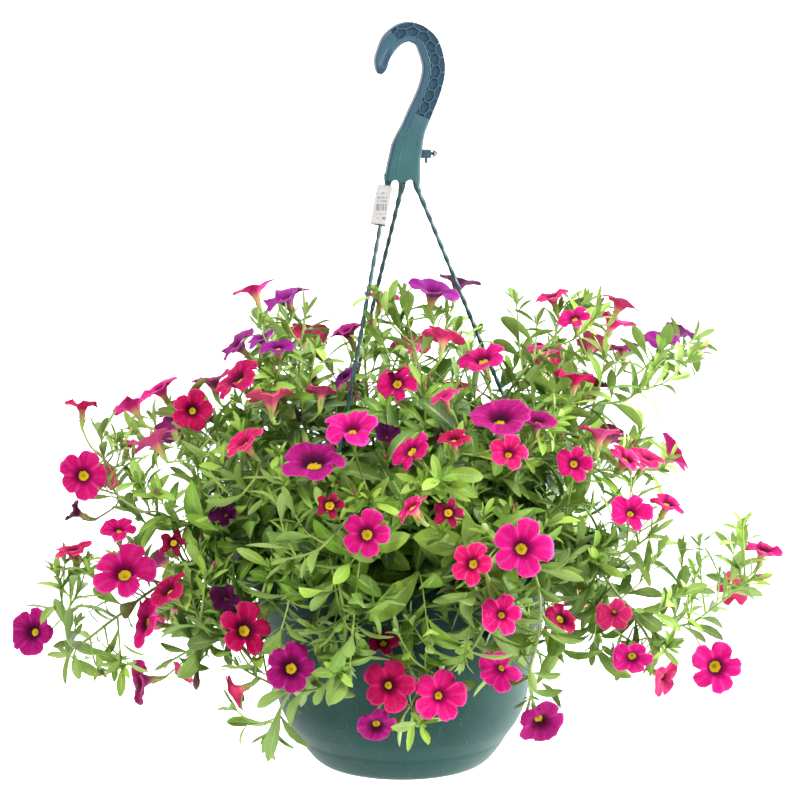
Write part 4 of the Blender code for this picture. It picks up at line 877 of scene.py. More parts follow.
    def tuft_reach(self, owner: str, tip: Vector, way: Vector, draw: random.Random) -> float:
        """Measures how far a tuft of small blades may reach from a stem's tip, and keeps that room for it.

        Args:
            owner: the spray that it grows on.
            tip: the stem's tip.
            way: the stem's direction there.
            draw: the spray's own random draws.

        Returns:
            The tuft's reach.
        """
        lengths = []
        for _ in range(TUFT_BLADES):
            lean = draw.uniform(*TUFT_LEAN)
            full = draw.uniform(*TUFT_LENGTH)
            for shrink in TUFT_SHRINKS:
                length = full * shrink
                reach = [tip, tip + way * length * math.cos(lean)]
                cone = tube(reach, [STEM_RADIUS + MARGIN, length * math.sin(lean) * 1.2 + MARGIN], 8)
                if not self.space.blocker(owner, cone):
                    break
            lengths.append(length)
        longest = max(lengths)
        self.space.take(owner, tube([tip, tip + way * longest], [STEM_RADIUS, longest * 0.8], 6))
        return longest


def leaf_frame(joint: Vector, way: Vector, angle: float, lean: float) -> Matrix:
    """Frames a leaf that leaves a stem.

    Args:
        joint: where it leaves the stem.
        way: the stem's direction there.
        angle: the leaf's angle about the stem.
        lean: its angle away from the stem.

    Returns:
        The frame at the joint, the leaf's upper face to X and its length along Z.
    """
    out = Quaternion(way, angle) @ way.orthogonal().normalized()
    along = (way * math.cos(lean) + out * math.sin(lean)).normalized()
    upper = (way - along * way.dot(along)).normalized()
    matrix = Matrix((upper, along.cross(upper), along)).transposed().to_4x4()
    matrix.translation = joint
    return matrix


# ---------------------------------------------------------------- sheets of many small forms


@dataclass(frozen=True)
class Sleeve:
    """A closed tube of plain faces: the ring and the side of each point, and of each face's corners."""

    ring: np.ndarray
    side: np.ndarray
    corners: np.ndarray
    sizes: np.ndarray
    face_side: np.ndarray


@lru_cache(maxsize=None)
def sleeve(sides: int, rings: int) -> Sleeve:
    """Makes the plain tube that stems, leaves and blooms are shaped from.

    Args:
        sides: how many sides it has.
        rings: how many rings of points it has, both ends included.

    Returns:
        The tube's arrays, its faces pointing outwards.
    """
    blank = bmesh.new()
    bmesh.ops.create_cone(blank, cap_ends=True, segments=sides, radius1=1.0, radius2=1.0, depth=rings - 1.0)
    if rings > 2:
        upright = [edge for edge in blank.edges if abs(edge.verts[0].co.z - edge.verts[1].co.z) > 0.5]
        bmesh.ops.subdivide_edges(blank, edges=upright, cuts=rings - 2, use_grid_fill=True)
    bmesh.ops.recalc_face_normals(blank, faces=blank.faces[:])
    blank.verts.index_update()
    places = np.array([tuple(vertex.co) for vertex in blank.verts])
    ring = np.rint(places[:, 2] + (rings - 1) / 2.0).astype(int)
    side = np.rint(np.arctan2(places[:, 1], places[:, 0]) * sides / TAU).astype(int) % sides
    corners = np.array([vertex.index for face in blank.faces for vertex in face.verts])
    sizes = np.array([len(face.verts) for face in blank.faces])
    middles = [face.calc_center_median() for face in blank.faces]
    face_side = np.array([-1 if len(face.verts) == sides and abs(face.normal.z) > 0.5 else
                          int(math.atan2(middle.y, middle.x) % TAU * sides / TAU)
                          for face, middle in zip(blank.faces, middles)])
    blank.free()
    return Sleeve(ring, side, corners, sizes, face_side)


@dataclass
class Sheet:
    """A growing mesh of many closed forms, with a tint and a place on its form for each face corner."""

    points: list[np.ndarray] = field(default_factory=list)
    corners: list[np.ndarray] = field(default_factory=list)
    sizes: list[np.ndarray] = field(default_factory=list)
    tints: list[np.ndarray] = field(default_factory=list)
    places: list[np.ndarray] = field(default_factory=list)
    count: int = 0

    def add(self, form: Sleeve, points: np.ndarray, tint: np.ndarray, place: np.ndarray) -> None:
        """Adds one form.

        Args:
            form: the tube that it is shaped from.
            points: the places of the tube's points.
            tint: a colour for each corner, or one for all of them.
            place: four values for each corner, or one set for all of them.
        """
        total = len(form.corners)
        self.points.append(points)
        self.corners.append(form.corners + self.count)
        self.sizes.append(form.sizes)
        self.tints.append(np.broadcast_to(tint, (total, 3)))
        self.places.append(np.broadcast_to(place, (total, 4)))
        self.count += len(points)

    def add_tube(self, path: list[Vector], radii: list[float], tint: Colour, sides: int = 6) -> None:
        """Adds a round stem along a path.

        Args:
            path: its centre line.
            radii: its radius at each point of the path.
            tint: its colour.
            sides: how many sides it has.
        """
        form = sleeve(sides, len(path))
        line = np.array([tuple(point) for point in path])
        across, other = self.twist_free(path)
        angle = form.side * TAU / sides
        reach = np.array(radii)[form.ring]
        points = line[form.ring] + (across[form.ring] * np.cos(angle)[:, None]
                                    + other[form.ring] * np.sin(angle)[:, None]) * reach[:, None]
        along = form.ring[form.corners] / (len(path) - 1.0)
        place = np.stack([np.ones(len(along)), along, np.full(len(along), 0.5), np.full(len(along), 0.5)], 1)
        self.add(form, points, np.array(tint), place)

    @staticmethod
    def twist_free(path: list[Vector]) -> tuple[np.ndarray, np.ndarray]:
        """Carries two directions across a path along it, without a twist.

        Args:
            path: the path.

        Returns:
            The first and the second direction at each point, one row for each.
        """
        ways = tangents(path)
        across = ways[0].orthogonal().normalized()
        first, second = [], []
        for way in ways:
            across = (across - way * across.dot(way)).normalized()
            first.append(tuple(across))
            second.append(tuple(way.cross(across)))
        return np.array(first), np.array(second)

    def build(self, name: str, finish: bpy.types.Material, sharp: float = 70.0) -> bpy.types.Object:
        """Makes the object.

        Args:
            name: the piece's name.
            finish: its material.
            sharp: the angle, in degrees, past which an edge is shaded as a corner.

        Returns:
            The object, in the scene, at the origin.
        """
        mesh = bpy.data.meshes.new(name)
        points, corners = np.concatenate(self.points), np.concatenate(self.corners)
        sizes = np.concatenate(self.sizes)
        mesh.vertices.add(len(points))
        mesh.vertices.foreach_set("co", points.astype(np.float32).ravel())
        mesh.loops.add(len(corners))
        mesh.loops.foreach_set("vertex_index", corners.astype(np.int32))
        mesh.polygons.add(len(sizes))
        mesh.polygons.foreach_set("loop_start", (np.cumsum(sizes) - sizes).astype(np.int32))
        mesh.update(calc_edges=True)
        tints = np.concatenate(self.tints)
        mesh.attributes.new("tint", "FLOAT_COLOR", "CORNER").data.foreach_set(
            "color", np.concatenate([tints, np.ones((len(tints), 1))], 1).astype(np.float32).ravel())
        mesh.attributes.new("place", "FLOAT_COLOR", "CORNER").data.foreach_set(
            "color", np.concatenate(self.places).astype(np.float32).ravel())
        mesh.polygons.foreach_set("use_smooth", np.ones(len(sizes), dtype=bool))
        mesh.set_sharp_from_angle(angle=math.radians(sharp))
        mesh.materials.append(finish)
        mesh.validate()
        return show(name, mesh)


def show(name: str, mesh: bpy.types.Mesh) -> bpy.types.Object:
    """Puts a mesh in the scene.

    Args:
        name: the object's name.
        mesh: its mesh.

    Returns:
        The object, at the origin.
    """
    piece = bpy.data.objects.new(name, mesh)
    bpy.context.scene.collection.objects.link(piece)
    return piece


def finished(name: str, shape: bmesh.types.BMesh, finish: bpy.types.Material,
             sharp: float = 35.0) -> bpy.types.Object:
    """Turns a finished bmesh into an object, shaded smooth except along its sharp edges.

    Args:
        name: the object's name.
        shape: its mesh, which is freed.
        finish: its material.
        sharp: the angle, in degrees, past which an edge is shaded as a corner.

    Returns:
        The object, at the origin.
    """
    bmesh.ops.recalc_face_normals(shape, faces=shape.faces[:])
    mesh = bpy.data.meshes.new(name)
    shape.to_mesh(mesh)
    shape.free()
    mesh.polygons.foreach_set("use_smooth", [True] * len(mesh.polygons))
    mesh.set_sharp_from_angle(angle=math.radians(sharp))
    mesh.materials.append(finish)
    return show(name, mesh)


# ---------------------------------------------------------------- leaves


@dataclass(frozen=True)
class BladeForm:
    """The outline and the fold of a spoon-shaped leaf, as shares of its length and width."""

    stations: tuple[float, ...] = (0.0, 0.15, 0.35, 0.55, 0.75, 0.92, 1.0)
    halves: tuple[float, ...] = (0.06, 0.15, 0.36, 0.49, 0.47, 0.27, 0.03)
    fold: float = 0.352
    fold_power: float = 1.4
    thick: float = 0.00028
    waves: float = 9.0
    wave_shift: float = 3000.0
    wave_depth: float = 0.35
    tip_drop: float = 1.15
    shortening: float = 0.25

    def points(self, length: float, width: float, arch: float, twist: float, wave: float,
               form: Sleeve) -> np.ndarray:
        """Shapes one leaf along +Z, its upper face to +X.

        Args:
            length: how long it is, in metres.
            width: how wide it is, in metres.
            arch: how far it bends back, as a share of its length.
            twist: how far its tip is turned about its length, in radians.
            wave: how far its edges wave, as a share of its width.
            form: the tube that it is shaped from, with four or eight sides.

        Returns:
            One row for each point.
        """
        sides = int(form.side.max()) + 1
        along = np.array(self.stations)[form.ring]
        half = np.array(self.halves)[form.ring] * width
        angle = form.side * TAU / sides
        across = np.sin(angle)
        lift = np.cos(angle)
        y = across * half
        x = np.abs(across) ** self.fold_power * half * self.fold + lift * self.thick * 0.5
        ripple = np.sin(along * self.waves + length * self.wave_shift)
        x = x + wave * width * across * ripple * self.wave_depth
        turn = twist * along
        x, y = x * np.cos(turn) - y * np.sin(turn), x * np.sin(turn) + y * np.cos(turn)
        x = x - self.tip_drop * arch * length * along * along
        z = along * length * (1.0 - self.shortening * arch * along)
        return np.stack([x, y, z], 1)


BLADES = BladeForm()
NARROW = BladeForm(stations=(0.0, 0.3, 0.65, 1.0), halves=(0.20, 0.42, 0.40, 0.04), fold=0.55, thick=0.0003)


def leaf_place(form: Sleeve, along: np.ndarray, grain: float) -> np.ndarray:
    """Tells the place of each corner of a leaf on it.

    Args:
        form: the tube that the leaf is shaped from.
        along: the share of the leaf's length at each of the tube's rings.
        grain: the leaf's own number, from 0 to 1.

    Returns:
        A row for each corner: its distance from the midrib, its share along, 1 on the underside, the grain.
    """
    sides = int(form.side.max()) + 1
    side = form.side[form.corners]
    across = np.abs(np.sin(side * TAU / sides))
    faces = np.repeat(form.face_side, form.sizes)
    under = ((faces >= sides // 4) & (faces < 3 * sides // 4)).astype(float)
    return np.stack([across, along[form.ring[form.corners]], under, np.full(len(side), grain)], 1)


@dataclass(frozen=True)
class LeafColours:
    """How a leaf's colour goes from old to new."""

    # The old green is the leaves' own older tone, darkened further as painted shade for the crown's middle,
    # whose leaves take it.
    old: Colour = shade(56, 94, 24)
    grown: Colour = shade(111, 155, 42)
    new: Colour = shade(148, 184, 64)
    age_spread: float = 0.22
    brightness: Span = (0.74, 1.16)

    def at(self, youth: float, draw: random.Random) -> Colour:
        """Draws a leaf's colour.

        Args:
            youth: its age, from 0, old, to 1, new.
            draw: the spray's own random draws.

        Returns:
            The colour.
        """
        youth = min(1.0, max(0.0, youth + draw.uniform(-self.age_spread, self.age_spread)))
        if youth < 0.5:
            base = blend(self.old, self.grown, youth * 2.0)
        else:
            base = blend(self.grown, self.new, youth * 2.0 - 1.0)
        bright = draw.uniform(*self.brightness)
        return tuple(channel * bright for channel in base)


LEAF_COLOURS = LeafColours()
LONG_BLADE = 0.031
BLADE_TWIST = 0.35
BLADE_WAVE = 0.1
STEM_COLOUR = shade(138, 164, 80)
YOUNG_STEM = shade(150, 176, 80)
WOODY = shade(122, 112, 78)


def add_leaf(sheet: Sheet, leaf: Leaf, draw: random.Random, outline: BladeForm = BLADES) -> None:
    """Adds one leaf to a sheet.

    Args:
        sheet: where it goes.
        leaf: its frame, sizes and age.
        draw: the spray's own random draws.
        outline: its outline.
    """
    sides = 8 if leaf.length > LONG_BLADE and outline is BLADES else 4
    form = sleeve(sides, len(outline.stations))
    twist, wave = draw.uniform(-BLADE_TWIST, BLADE_TWIST), draw.uniform(0.0, BLADE_WAVE)
    points = outline.points(leaf.length, leaf.width, leaf.arch, twist, wave, form)
    frame = np.array(leaf.matrix)
    points = points @ frame[:3, :3].T + frame[:3, 3]
    tint = np.array(LEAF_COLOURS.at(leaf.youth, draw))
    sheet.add(form, points, tint, leaf_place(form, np.array(outline.stations), draw.random()))


# ---------------------------------------------------------------- blooms


@dataclass(frozen=True)
class Petals:
    """The colours of one kind of bloom, and how its lobes are cut."""

    face: Colour
    edge: Colour
    vein: Colour
    back: Colour
    eye: Colour = shade(208, 176, 30)
    # The dark ring round the eye is partly the flower's own dark throat and partly painted shade down in the
    # funnel.
    ring: Colour = shade(48, 0, 30)
    eye_share: float = 0.18
    ring_share: float = 0.56
    notch: float = 0.70
    point: float = 2.2
    rib: float = 0.45


PETALS = {
    "magenta": Petals(shade(194, 0, 102), shade(240, 84, 170), shade(112, 0, 62), shade(208, 34, 122),
                      ring=shade(84, 0, 48), ring_share=0.46, notch=0.62, point=2.4),
    "pink": Petals(shade(200, 6, 92), shade(246, 106, 168), shade(132, 0, 56), shade(232, 66, 130),
                   ring=shade(92, 0, 44), ring_share=0.48, notch=0.63),
    "crimson": Petals(shade(164, 0, 66), shade(226, 50, 128), shade(80, 0, 34), shade(192, 24, 92),
                      notch=0.64, point=2.1),
    "purple": Petals(shade(148, 0, 92), shade(204, 50, 150), shade(60, 0, 44), shade(148, 46, 112),
                     eye_share=0.19, ring_share=0.64, notch=0.78),
    "violet": Petals(shade(132, 18, 116), shade(176, 74, 164), shade(76, 4, 70), shade(140, 56, 132),
                     eye_share=0.14, ring_share=0.40, notch=0.76),
    "dusty": Petals(shade(190, 26, 100), shade(228, 108, 150), shade(126, 8, 62), shade(206, 78, 124),
                    eye_share=0.14, ring_share=0.30),
    "star": Petals(shade(134, 0, 50), shade(192, 30, 96), shade(64, 0, 22), shade(160, 40, 76),
                   eye_share=0.26, ring_share=0.62, notch=0.34, point=1.35, rib=0.9),
    "dark": Petals(shade(70, 8, 54), shade(112, 40, 92), shade(36, 2, 26), shade(92, 36, 70),
                   eye=shade(130, 86, 44), eye_share=0.07, ring_share=0.20, notch=0.6, rib=0.6),
}


@dataclass(frozen=True)
class TrumpetForm:
    """The profile of a bloom past its tube, over the rim and into its throat.

    Each station is its distance from the axis and its height, both as shares of the face's radius.
    """

    outside: tuple[Span, ...] = ((NECK_RADIUS, -NECK_DEPTH), (0.26, -0.30), (0.42, -0.13), (0.66, -0.05),
                                 (0.88, -0.028))
    rim: tuple[Span, ...] = ((1.0, -0.010), (0.99, 0.006))
    inside: tuple[Span, ...] = ((0.86, 0.0), (0.66, -0.022), (0.48, -0.065), (0.35, -0.125), (0.26, -0.21),
                                (0.13, -0.33), (0.015, -0.38))

    @property
    def stations(self) -> list[Span]:
        """All stations past the tube."""
        return [*self.outside, *self.rim, *self.inside]


FULL_TRUMPET = TrumpetForm()
SMALL_TRUMPET = TrumpetForm(outside=((NECK_RADIUS, -NECK_DEPTH), (0.34, -0.20), (0.70, -0.05)),
                            rim=((1.0, -0.008), (0.985, 0.008)),
                            inside=((0.70, -0.01), (0.42, -0.06), (0.24, -0.15), (0.02, -0.36)))
TUBE_SWELL = 1.25
LONGEST_SEPAL = 0.0105
SEPAL_WIDTH = 0.0022
SEPAL_DROP = 0.0012


@dataclass(frozen=True)
class Lift:
    """How far a bloom's face is turned up to the light, in degrees and in the share that it gets."""

    level: float = -0.2
    span: Span = (6.0, 24.0)
    steepest: float = 76.0
    hanging: float = -0.6
    hanging_lift: float = 30.0
    swing: float = 14.0
    shares: tuple[float, ...] = (1.0, 0.75, 0.5, 0.25, 0.0)


LIFT = Lift()


def lifted_face(bloom: Bloom, share: float) -> Matrix:
    """Lifts a bloom's face a little to the light, about the base of its tube.

    Args:
        bloom: the bloom.
        share: how much of its lift it gets, from 0 to 1.

    Returns:
        The frame of the face, opening along its Z.
    """
    way = (bloom.matrix.to_3x3() @ UP).normalized()
    draw = random.Random(f"lift {bloom.at}")
    rise = math.asin(max(-1.0, min(1.0, way.z)))
    if way.z > LIFT.level:
        lift = min(math.radians(LIFT.steepest) - rise, math.radians(draw.uniform(*LIFT.span)))
        rise += max(0.0, lift) * share
    elif way.z < LIFT.hanging:
        rise += math.radians(LIFT.hanging_lift) * share
    level = math.atan2(way.y, way.x) + math.radians(draw.uniform(-LIFT.swing, LIFT.swing)) * share
    turned = Vector((math.cos(rise) * math.cos(level), math.cos(rise) * math.sin(level), math.sin(rise)))
    base = mm(*bloom.at) - way * bloom.tube_length
    turn = way.rotation_difference(turned).to_matrix().to_4x4()
    return Matrix.Translation(base) @ turn @ Matrix.Translation(-base) @ bloom.matrix


def face_shape(bloom: Bloom) -> Shape:
    """Returns the open part of a bloom, a little large, without the tube that its stalk holds."""
    width = bloom.width * MM * FACE_ROOM
    return bloom_shape(width, NECK_DEPTH * width / 2.0 + TUBE_RADIUS)


def settled_faces(layout: Layout, hard: Space) -> dict[Bloom, Matrix]:
    """Lifts each bloom's face as far as it clears the stems, the large leaves, the pot and the other blooms.

    Args:
        layout: the plant's stems, stalks and large leaves.
        hard: a space that holds the pot and its hanger, which the plant is added to.

    Returns:
        The frame of each bloom's face.
    """
    for stem in layout.stems:
        hard.take("stem", tube(stem.path, [STEM_RADIUS] * len(stem.path)))
        for leaf in stem.leaves:
            hard.take("leaf", leaf_shape(leaf.length, leaf.width, leaf.arch).moved(leaf.matrix))
    for stalk in layout.stalks:
        hard.take(str(stalk.bloom.at), tube(list(stalk.knots), [STALK_RADIUS] * len(stalk.knots)))
        hard.take(str(stalk.bloom.at), face_shape(stalk.bloom).moved(stalk.bloom.matrix))
    frames = {}
    for stalk in layout.stalks:
        bloom = stalk.bloom
        for share in LIFT.shares:
            frames[bloom] = lifted_face(bloom, share)
            face = face_shape(bloom).moved(frames[bloom])
            if not hard.blocker(str(bloom.at), face):
                break
        hard.take(str(bloom.at), face)
    held = sum(1 for bloom, frame in frames.items() if frame != lifted_face(bloom, 1.0))
    LOG.info("%d blooms turned, %d of them only in part", len(frames), held)
    return frames


@dataclass(frozen=True)
class LobeChance:
    """The spans that the lobes of each bloom are drawn from, and the waves that all blooms have."""

    size: Span = (-0.10, 0.03)
    tilt: float = 0.15
    curl: Span = (-0.24, 0.06)
    withered_size: Span = (0.66, 0.92)
    withered_curl: Span = (-0.10, 0.45)
    notch: float = 0.10
    deepest_notch: float = 0.88
    dip: float = 0.040
    dip_width: float = 0.15
    frill: float = 0.012
    seam: float = 0.070
    crease: float = 0.050
    crease_width: float = 0.13
    ruffle: float = 0.026
    sway: float = 0.05
    opening: Span = (0.84, 1.12)
    brightness: Span = (0.90, 1.12)
    full_lilac: Span = (0.94, 1.24)
    small_lilac: Span = (0.80, 1.22)


CHANCE = LobeChance()


def add_bloom(sheet: Sheet, bloom: Bloom, frame: Matrix, draw: random.Random, full: bool) -> None:
    """Adds one bloom to a sheet.

    Args:
        sheet: where it goes.
        bloom: its width and colour.
        frame: the frame of its face.
        draw: its own random draws.
        full: whether it is drawn with the finer profile.
    """
    colours = PETALS[bloom.colour]
    profile = FULL_TRUMPET if full else SMALL_TRUMPET
    radius = bloom.width * MM / 2.0
    stations = profile.stations
    sides = 8 * LOBES if full else 6 * LOBES
    form = sleeve(sides, len(stations) + 2)
    base = bloom.tube_length / radius
    share = np.array([0.0, 0.1, *[reach for reach, _ in stations]])
    deep = np.array([-base, -0.5 * (NECK_DEPTH + base), *[depth for _, depth in stations]])
    reach = share[form.ring]
    depth = deep[form.ring]
    angle = form.side * TAU / sides
    lobe = np.rint(angle / (TAU / LOBES)).astype(int) % LOBES
    t = (angle - np.rint(angle / (TAU / LOBES)) * TAU / LOBES) / NOTCH_ANGLE
    sizes = np.array([1.0 + draw.uniform(*CHANCE.size) for _ in range(LOBES)])
    tilt = np.array([draw.uniform(-CHANCE.tilt, CHANCE.tilt) for _ in range(LOBES)])
    curl = np.array([draw.uniform(*CHANCE.curl) for _ in range(LOBES)])
    roll = draw.uniform(0.0, TAU)
    if bloom.colour == "dark":
        sizes = sizes * np.array([draw.uniform(*CHANCE.withered_size) for _ in range(LOBES)])
        curl = curl + np.array([draw.uniform(*CHANCE.withered_curl) for _ in range(LOBES)])
    notch = min(CHANCE.deepest_notch, colours.notch + draw.uniform(-CHANCE.notch, CHANCE.notch))
    dip = draw.uniform(0.0, CHANCE.dip)
    outline = notch + (1.0 - notch) * (1.0 - np.abs(t) ** colours.point) ** 0.6
    outline = outline - dip * np.exp(-(t / CHANCE.dip_width) ** 2)
    outline = outline + CHANCE.frill * np.sin(angle * 17.0 + roll * 3.0)
    grown = np.clip((reach - 0.15) / 0.85, 0.0, 1.0)
    size = 1.0 + (outline * sizes[lobe] - 1.0) * grown
    r = reach * size
    z = depth + tilt[lobe] * t * grown ** 1.5 + curl[lobe] * grown ** 3 * (1.0 - 0.4 * np.abs(t))
    z = z + CHANCE.seam * np.abs(t) ** 3 * grown
    z = z - CHANCE.crease * np.exp(-(t / CHANCE.crease_width) ** 2) * grown * (1.0 - 0.6 * grown)
    z = z + CHANCE.ruffle * np.sin(angle * 11.0 + roll) * grown ** 2
    swell = np.where(form.ring == 0, 1.0, TUBE_SWELL)
    r = np.maximum(r, TUBE_RADIUS / radius * np.where(form.ring < 2, swell, 0.0))
    swing = angle + CHANCE.sway * np.sin(angle * 3.0 + roll) * grown
    local = np.stack([r * np.cos(swing), r * np.sin(swing), z], 1) * radius
    matrix = np.array(frame)
    points = local @ matrix[:3, :3].T + matrix[:3, 3]
    ring = form.ring[form.corners]
    # The face and the back share the ring at the rim, so the lowest ring of each mesh face tells its side.
    lowest = np.repeat(np.minimum.reduceat(ring, np.cumsum(form.sizes) - form.sizes), form.sizes)
    back = (lowest < 2 + len(profile.outside)).astype(float)
    along = share[ring] ** draw.uniform(*CHANCE.opening)
    place = np.stack([np.abs(t)[form.corners], along, back, np.full(len(ring), draw.random())], 1)
    bright = draw.uniform(*CHANCE.brightness)
    lilac = draw.uniform(*(CHANCE.full_lilac if full else CHANCE.small_lilac))
    sheet.add(form, points, np.array((bright, bright, bright * lilac)), place)


def add_sepals(sheet: Sheet, bloom: Bloom, frame: Matrix, draw: random.Random) -> None:
    """Adds the five narrow sepals that hold a bloom's tube.

    Args:
        sheet: where they go.
        bloom: the bloom.
        frame: the frame of its face.
        draw: the spray's own random draws.
    """
    length = min(LONGEST_SEPAL, 0.0055 + bloom.width * MM * 0.09)
    base = frame @ Vector((0.0, 0.0, -bloom.tube_length - SEPAL_DROP))
    way = (frame.to_3x3() @ UP).normalized()
    for index in range(LOBES):
        angle = TAU * index / LOBES + draw.uniform(-0.2, 0.2)
        matrix = leaf_frame(base, way, angle, draw.uniform(0.10, 0.42))
        leaf = Leaf(matrix, length * draw.uniform(0.85, 1.1), SEPAL_WIDTH, draw.uniform(-0.1, 0.35),
                    draw.uniform(0.35, 0.8))
        out = Quaternion(way, angle) @ way.orthogonal().normalized()
        leaf.matrix.translation = base + out * TUBE_RADIUS * 0.9
        add_leaf(sheet, leaf, draw, NARROW)


# ---------------------------------------------------------------- finishes


class Nodes:
    """A small desk for wiring one node tree."""

    def __init__(self, tree: bpy.types.NodeTree) -> None:
        """Starts on a tree."""
        self.tree = tree

    def node(self, kind: str, **settings: object) -> bpy.types.Node:
        """Adds a node.

        Args:
            kind: its type, without ShaderNode.
            settings: its settings, by name.

        Returns:
            The node.
        """
        node = self.tree.nodes.new(f"ShaderNode{kind}")
        for name, value in settings.items():
            setattr(node, name, value)
        return node

    def plug(self, socket: bpy.types.NodeSocket, value: object) -> None:
        """Links a socket to another one, or sets its value.

        Args:
            socket: the socket.
            value: the other socket, a number or a colour.
        """
        if isinstance(value, bpy.types.NodeSocket):
            self.tree.links.new(value, socket)
        elif isinstance(value, tuple) and len(value) == 3 and socket.type == "RGBA":
            socket.default_value = (*value, 1.0)
        else:
            socket.default_value = value

    def math(self, operation: str, first: object, second: object = 0.0) -> bpy.types.NodeSocket:
        """Works out a value from one or two others.

        Args:
            operation: the Math node's operation.
            first: a socket or a number.
            second: a socket or a number.

        Returns:
            The result.
        """
        node = self.node("Math", operation=operation)
        for socket, value in zip(node.inputs, (first, second)):
            self.plug(socket, value)
        return node.outputs[0]

    def product(self, *values: object) -> bpy.types.NodeSocket:
        """Returns the product of two or more values."""
        result, *others = values
        for value in others:
            result = self.math("MULTIPLY", result, value)
        return result

    def step(self, value: object, start: object, stop: object, low: float = 0.0,
             high: float = 1.0) -> bpy.types.NodeSocket:
        """Draws a soft step.

        Args:
            value: a socket.
            start: the value where the step begins.
            stop: the value where it ends.
            low: the result before it.
            high: the result past it.

        Returns:
            The result.
        """
        node = self.node("MapRange", interpolation_type="SMOOTHSTEP")
        for socket, number in zip(node.inputs[:5], (value, start, stop, low, high)):
            self.plug(socket, number)
        return node.outputs[0]

    def mix(self, share: object, first: object, second: object,
            blend_type: str = "MIX") -> bpy.types.NodeSocket:
        """Mixes two colours.

        Args:
            share: how much of the second there is.
            first: a socket or a colour.
            second: a socket or a colour.
            blend_type: how they meet.

        Returns:
            The mixed colour.
        """
        node = self.node("Mix", data_type="RGBA", blend_type=blend_type, clamp_result=False)
        self.plug(node.inputs[0], share)
        self.plug(node.inputs[6], first)
        self.plug(node.inputs[7], second)
        return node.outputs[2]

    def noise(self, vector: object, scale: object, detail: float = 3.0,
              roughness: float = 0.5) -> bpy.types.NodeSocket:
        """Draws a Noise texture.

        Args:
            vector: where it is read.
            scale: how fine it is.
            detail: how many finer layers it has.
            roughness: how strong those are.

        Returns:
            Its value.
        """
        node = self.node("TexNoise")
        self.plug(node.inputs["Vector"], vector)
        self.plug(node.inputs["Scale"], scale)
        node.inputs["Detail"].default_value = detail
        node.inputs["Roughness"].default_value = roughness
        return node.outputs[0]

    def attribute(self, name: str) -> bpy.types.NodeSocket:
        """Returns an attribute's colour."""
        return self.node("Attribute", attribute_name=name).outputs["Color"]

    def parts(self, colour: bpy.types.NodeSocket) -> tuple[bpy.types.NodeSocket, ...]:
        """Splits a colour.

        Args:
            colour: its socket.

        Returns:
            Its three channels.
        """
        node = self.node("SeparateColor")
        self.plug(node.inputs[0], colour)
        return tuple(node.outputs)

    def point(self) -> bpy.types.NodeSocket:
        """Returns the place in the object."""
        return self.node("TexCoord").outputs["Object"]

    def join(self, x: object, y: object, z: object) -> bpy.types.NodeSocket:
        """Joins three values.

        Args:
            x: the first one.
            y: the second one.
            z: the third one.

        Returns:
            The vector.
        """
        node = self.node("CombineXYZ")
        for socket, value in zip(node.inputs, (x, y, z)):
            self.plug(socket, value)
        return node.outputs[0]

    def bump(self, height: object, strength: float, distance: float) -> bpy.types.NodeSocket:
        """Bends the normal by a height.

        Args:
            height: the height.
            strength: how much of it counts.
            distance: how high it is, in metres.

        Returns:
            The normal.
        """
        node = self.node("Bump")
        node.inputs["Strength"].default_value = strength
        node.inputs["Distance"].default_value = distance
        self.plug(node.inputs["Height"], height)
        return node.outputs[0]


class Finish:
    """A material with a Principled shader, ready to be wired."""

    def __init__(self, name: str, roughness: float, **fixed: float) -> None:
        """Makes the material.

        Args:
            name: its name.
            roughness: the shader's plain roughness.
            fixed: further plain values, by socket name with _ for a space.
        """
        self.material = bpy.data.materials.new(name)
        self.material.use_nodes = True
        self.desk = Nodes(self.material.node_tree)
        self.shader = self.material.node_tree.nodes["Principled BSDF"]
        self.shader.inputs["Roughness"].default_value = roughness
        for socket, value in fixed.items():
            self.shader.inputs[socket.replace("_", " ")].default_value = value

    def set(self, socket: str, value: object) -> None:
        """Wires or sets one of the shader's sockets."""
        self.desk.plug(self.shader.inputs[socket], value)


Sockets = dict[str, bpy.types.NodeSocket]


def shared_group(name: str, inputs: dict[str, object],
                 outputs: dict[str, str]) -> tuple[bpy.types.NodeTree, Nodes, Sockets, Sockets]:
    """Starts a shader node group with named sockets.

    Args:
        name: the group's name.
        inputs: the default of each input; three numbers make a colour.
        outputs: the kind of each output, Float, Color or Vector.

    Returns:
        The group, its desk, its inputs' sockets and its outputs' sockets by name.
    """
    tree = bpy.data.node_groups.new(name, "ShaderNodeTree")
    for label, default in inputs.items():
        kind = "NodeSocketColor" if isinstance(default, tuple) else "NodeSocketFloat"
        socket = tree.interface.new_socket(name=label, in_out="INPUT", socket_type=kind)
        socket.default_value = (*default, 1.0) if isinstance(default, tuple) else default
    for label, kind in outputs.items():
        tree.interface.new_socket(name=label, in_out="OUTPUT", socket_type=f"NodeSocket{kind}")
    desk = Nodes(tree)
    entry, leave = tree.nodes.new("NodeGroupInput"), tree.nodes.new("NodeGroupOutput")
    return (tree, desk, {label: entry.outputs[label] for label in inputs},
            {label: leave.inputs[label] for label in outputs})


def placed_group(desk: Nodes, tree: bpy.types.NodeTree, values: dict[str, object]) -> bpy.types.Node:
    """Places a node group in a material.

    Args:
        desk: the material's own desk.
        tree: the group.
        values: the material's values, by the names of the group's inputs.

    Returns:
        The group's node.
    """
    node = desk.node("Group", node_tree=tree)
    for label, value in values.items():
        desk.plug(node.inputs[label], value)
    return node


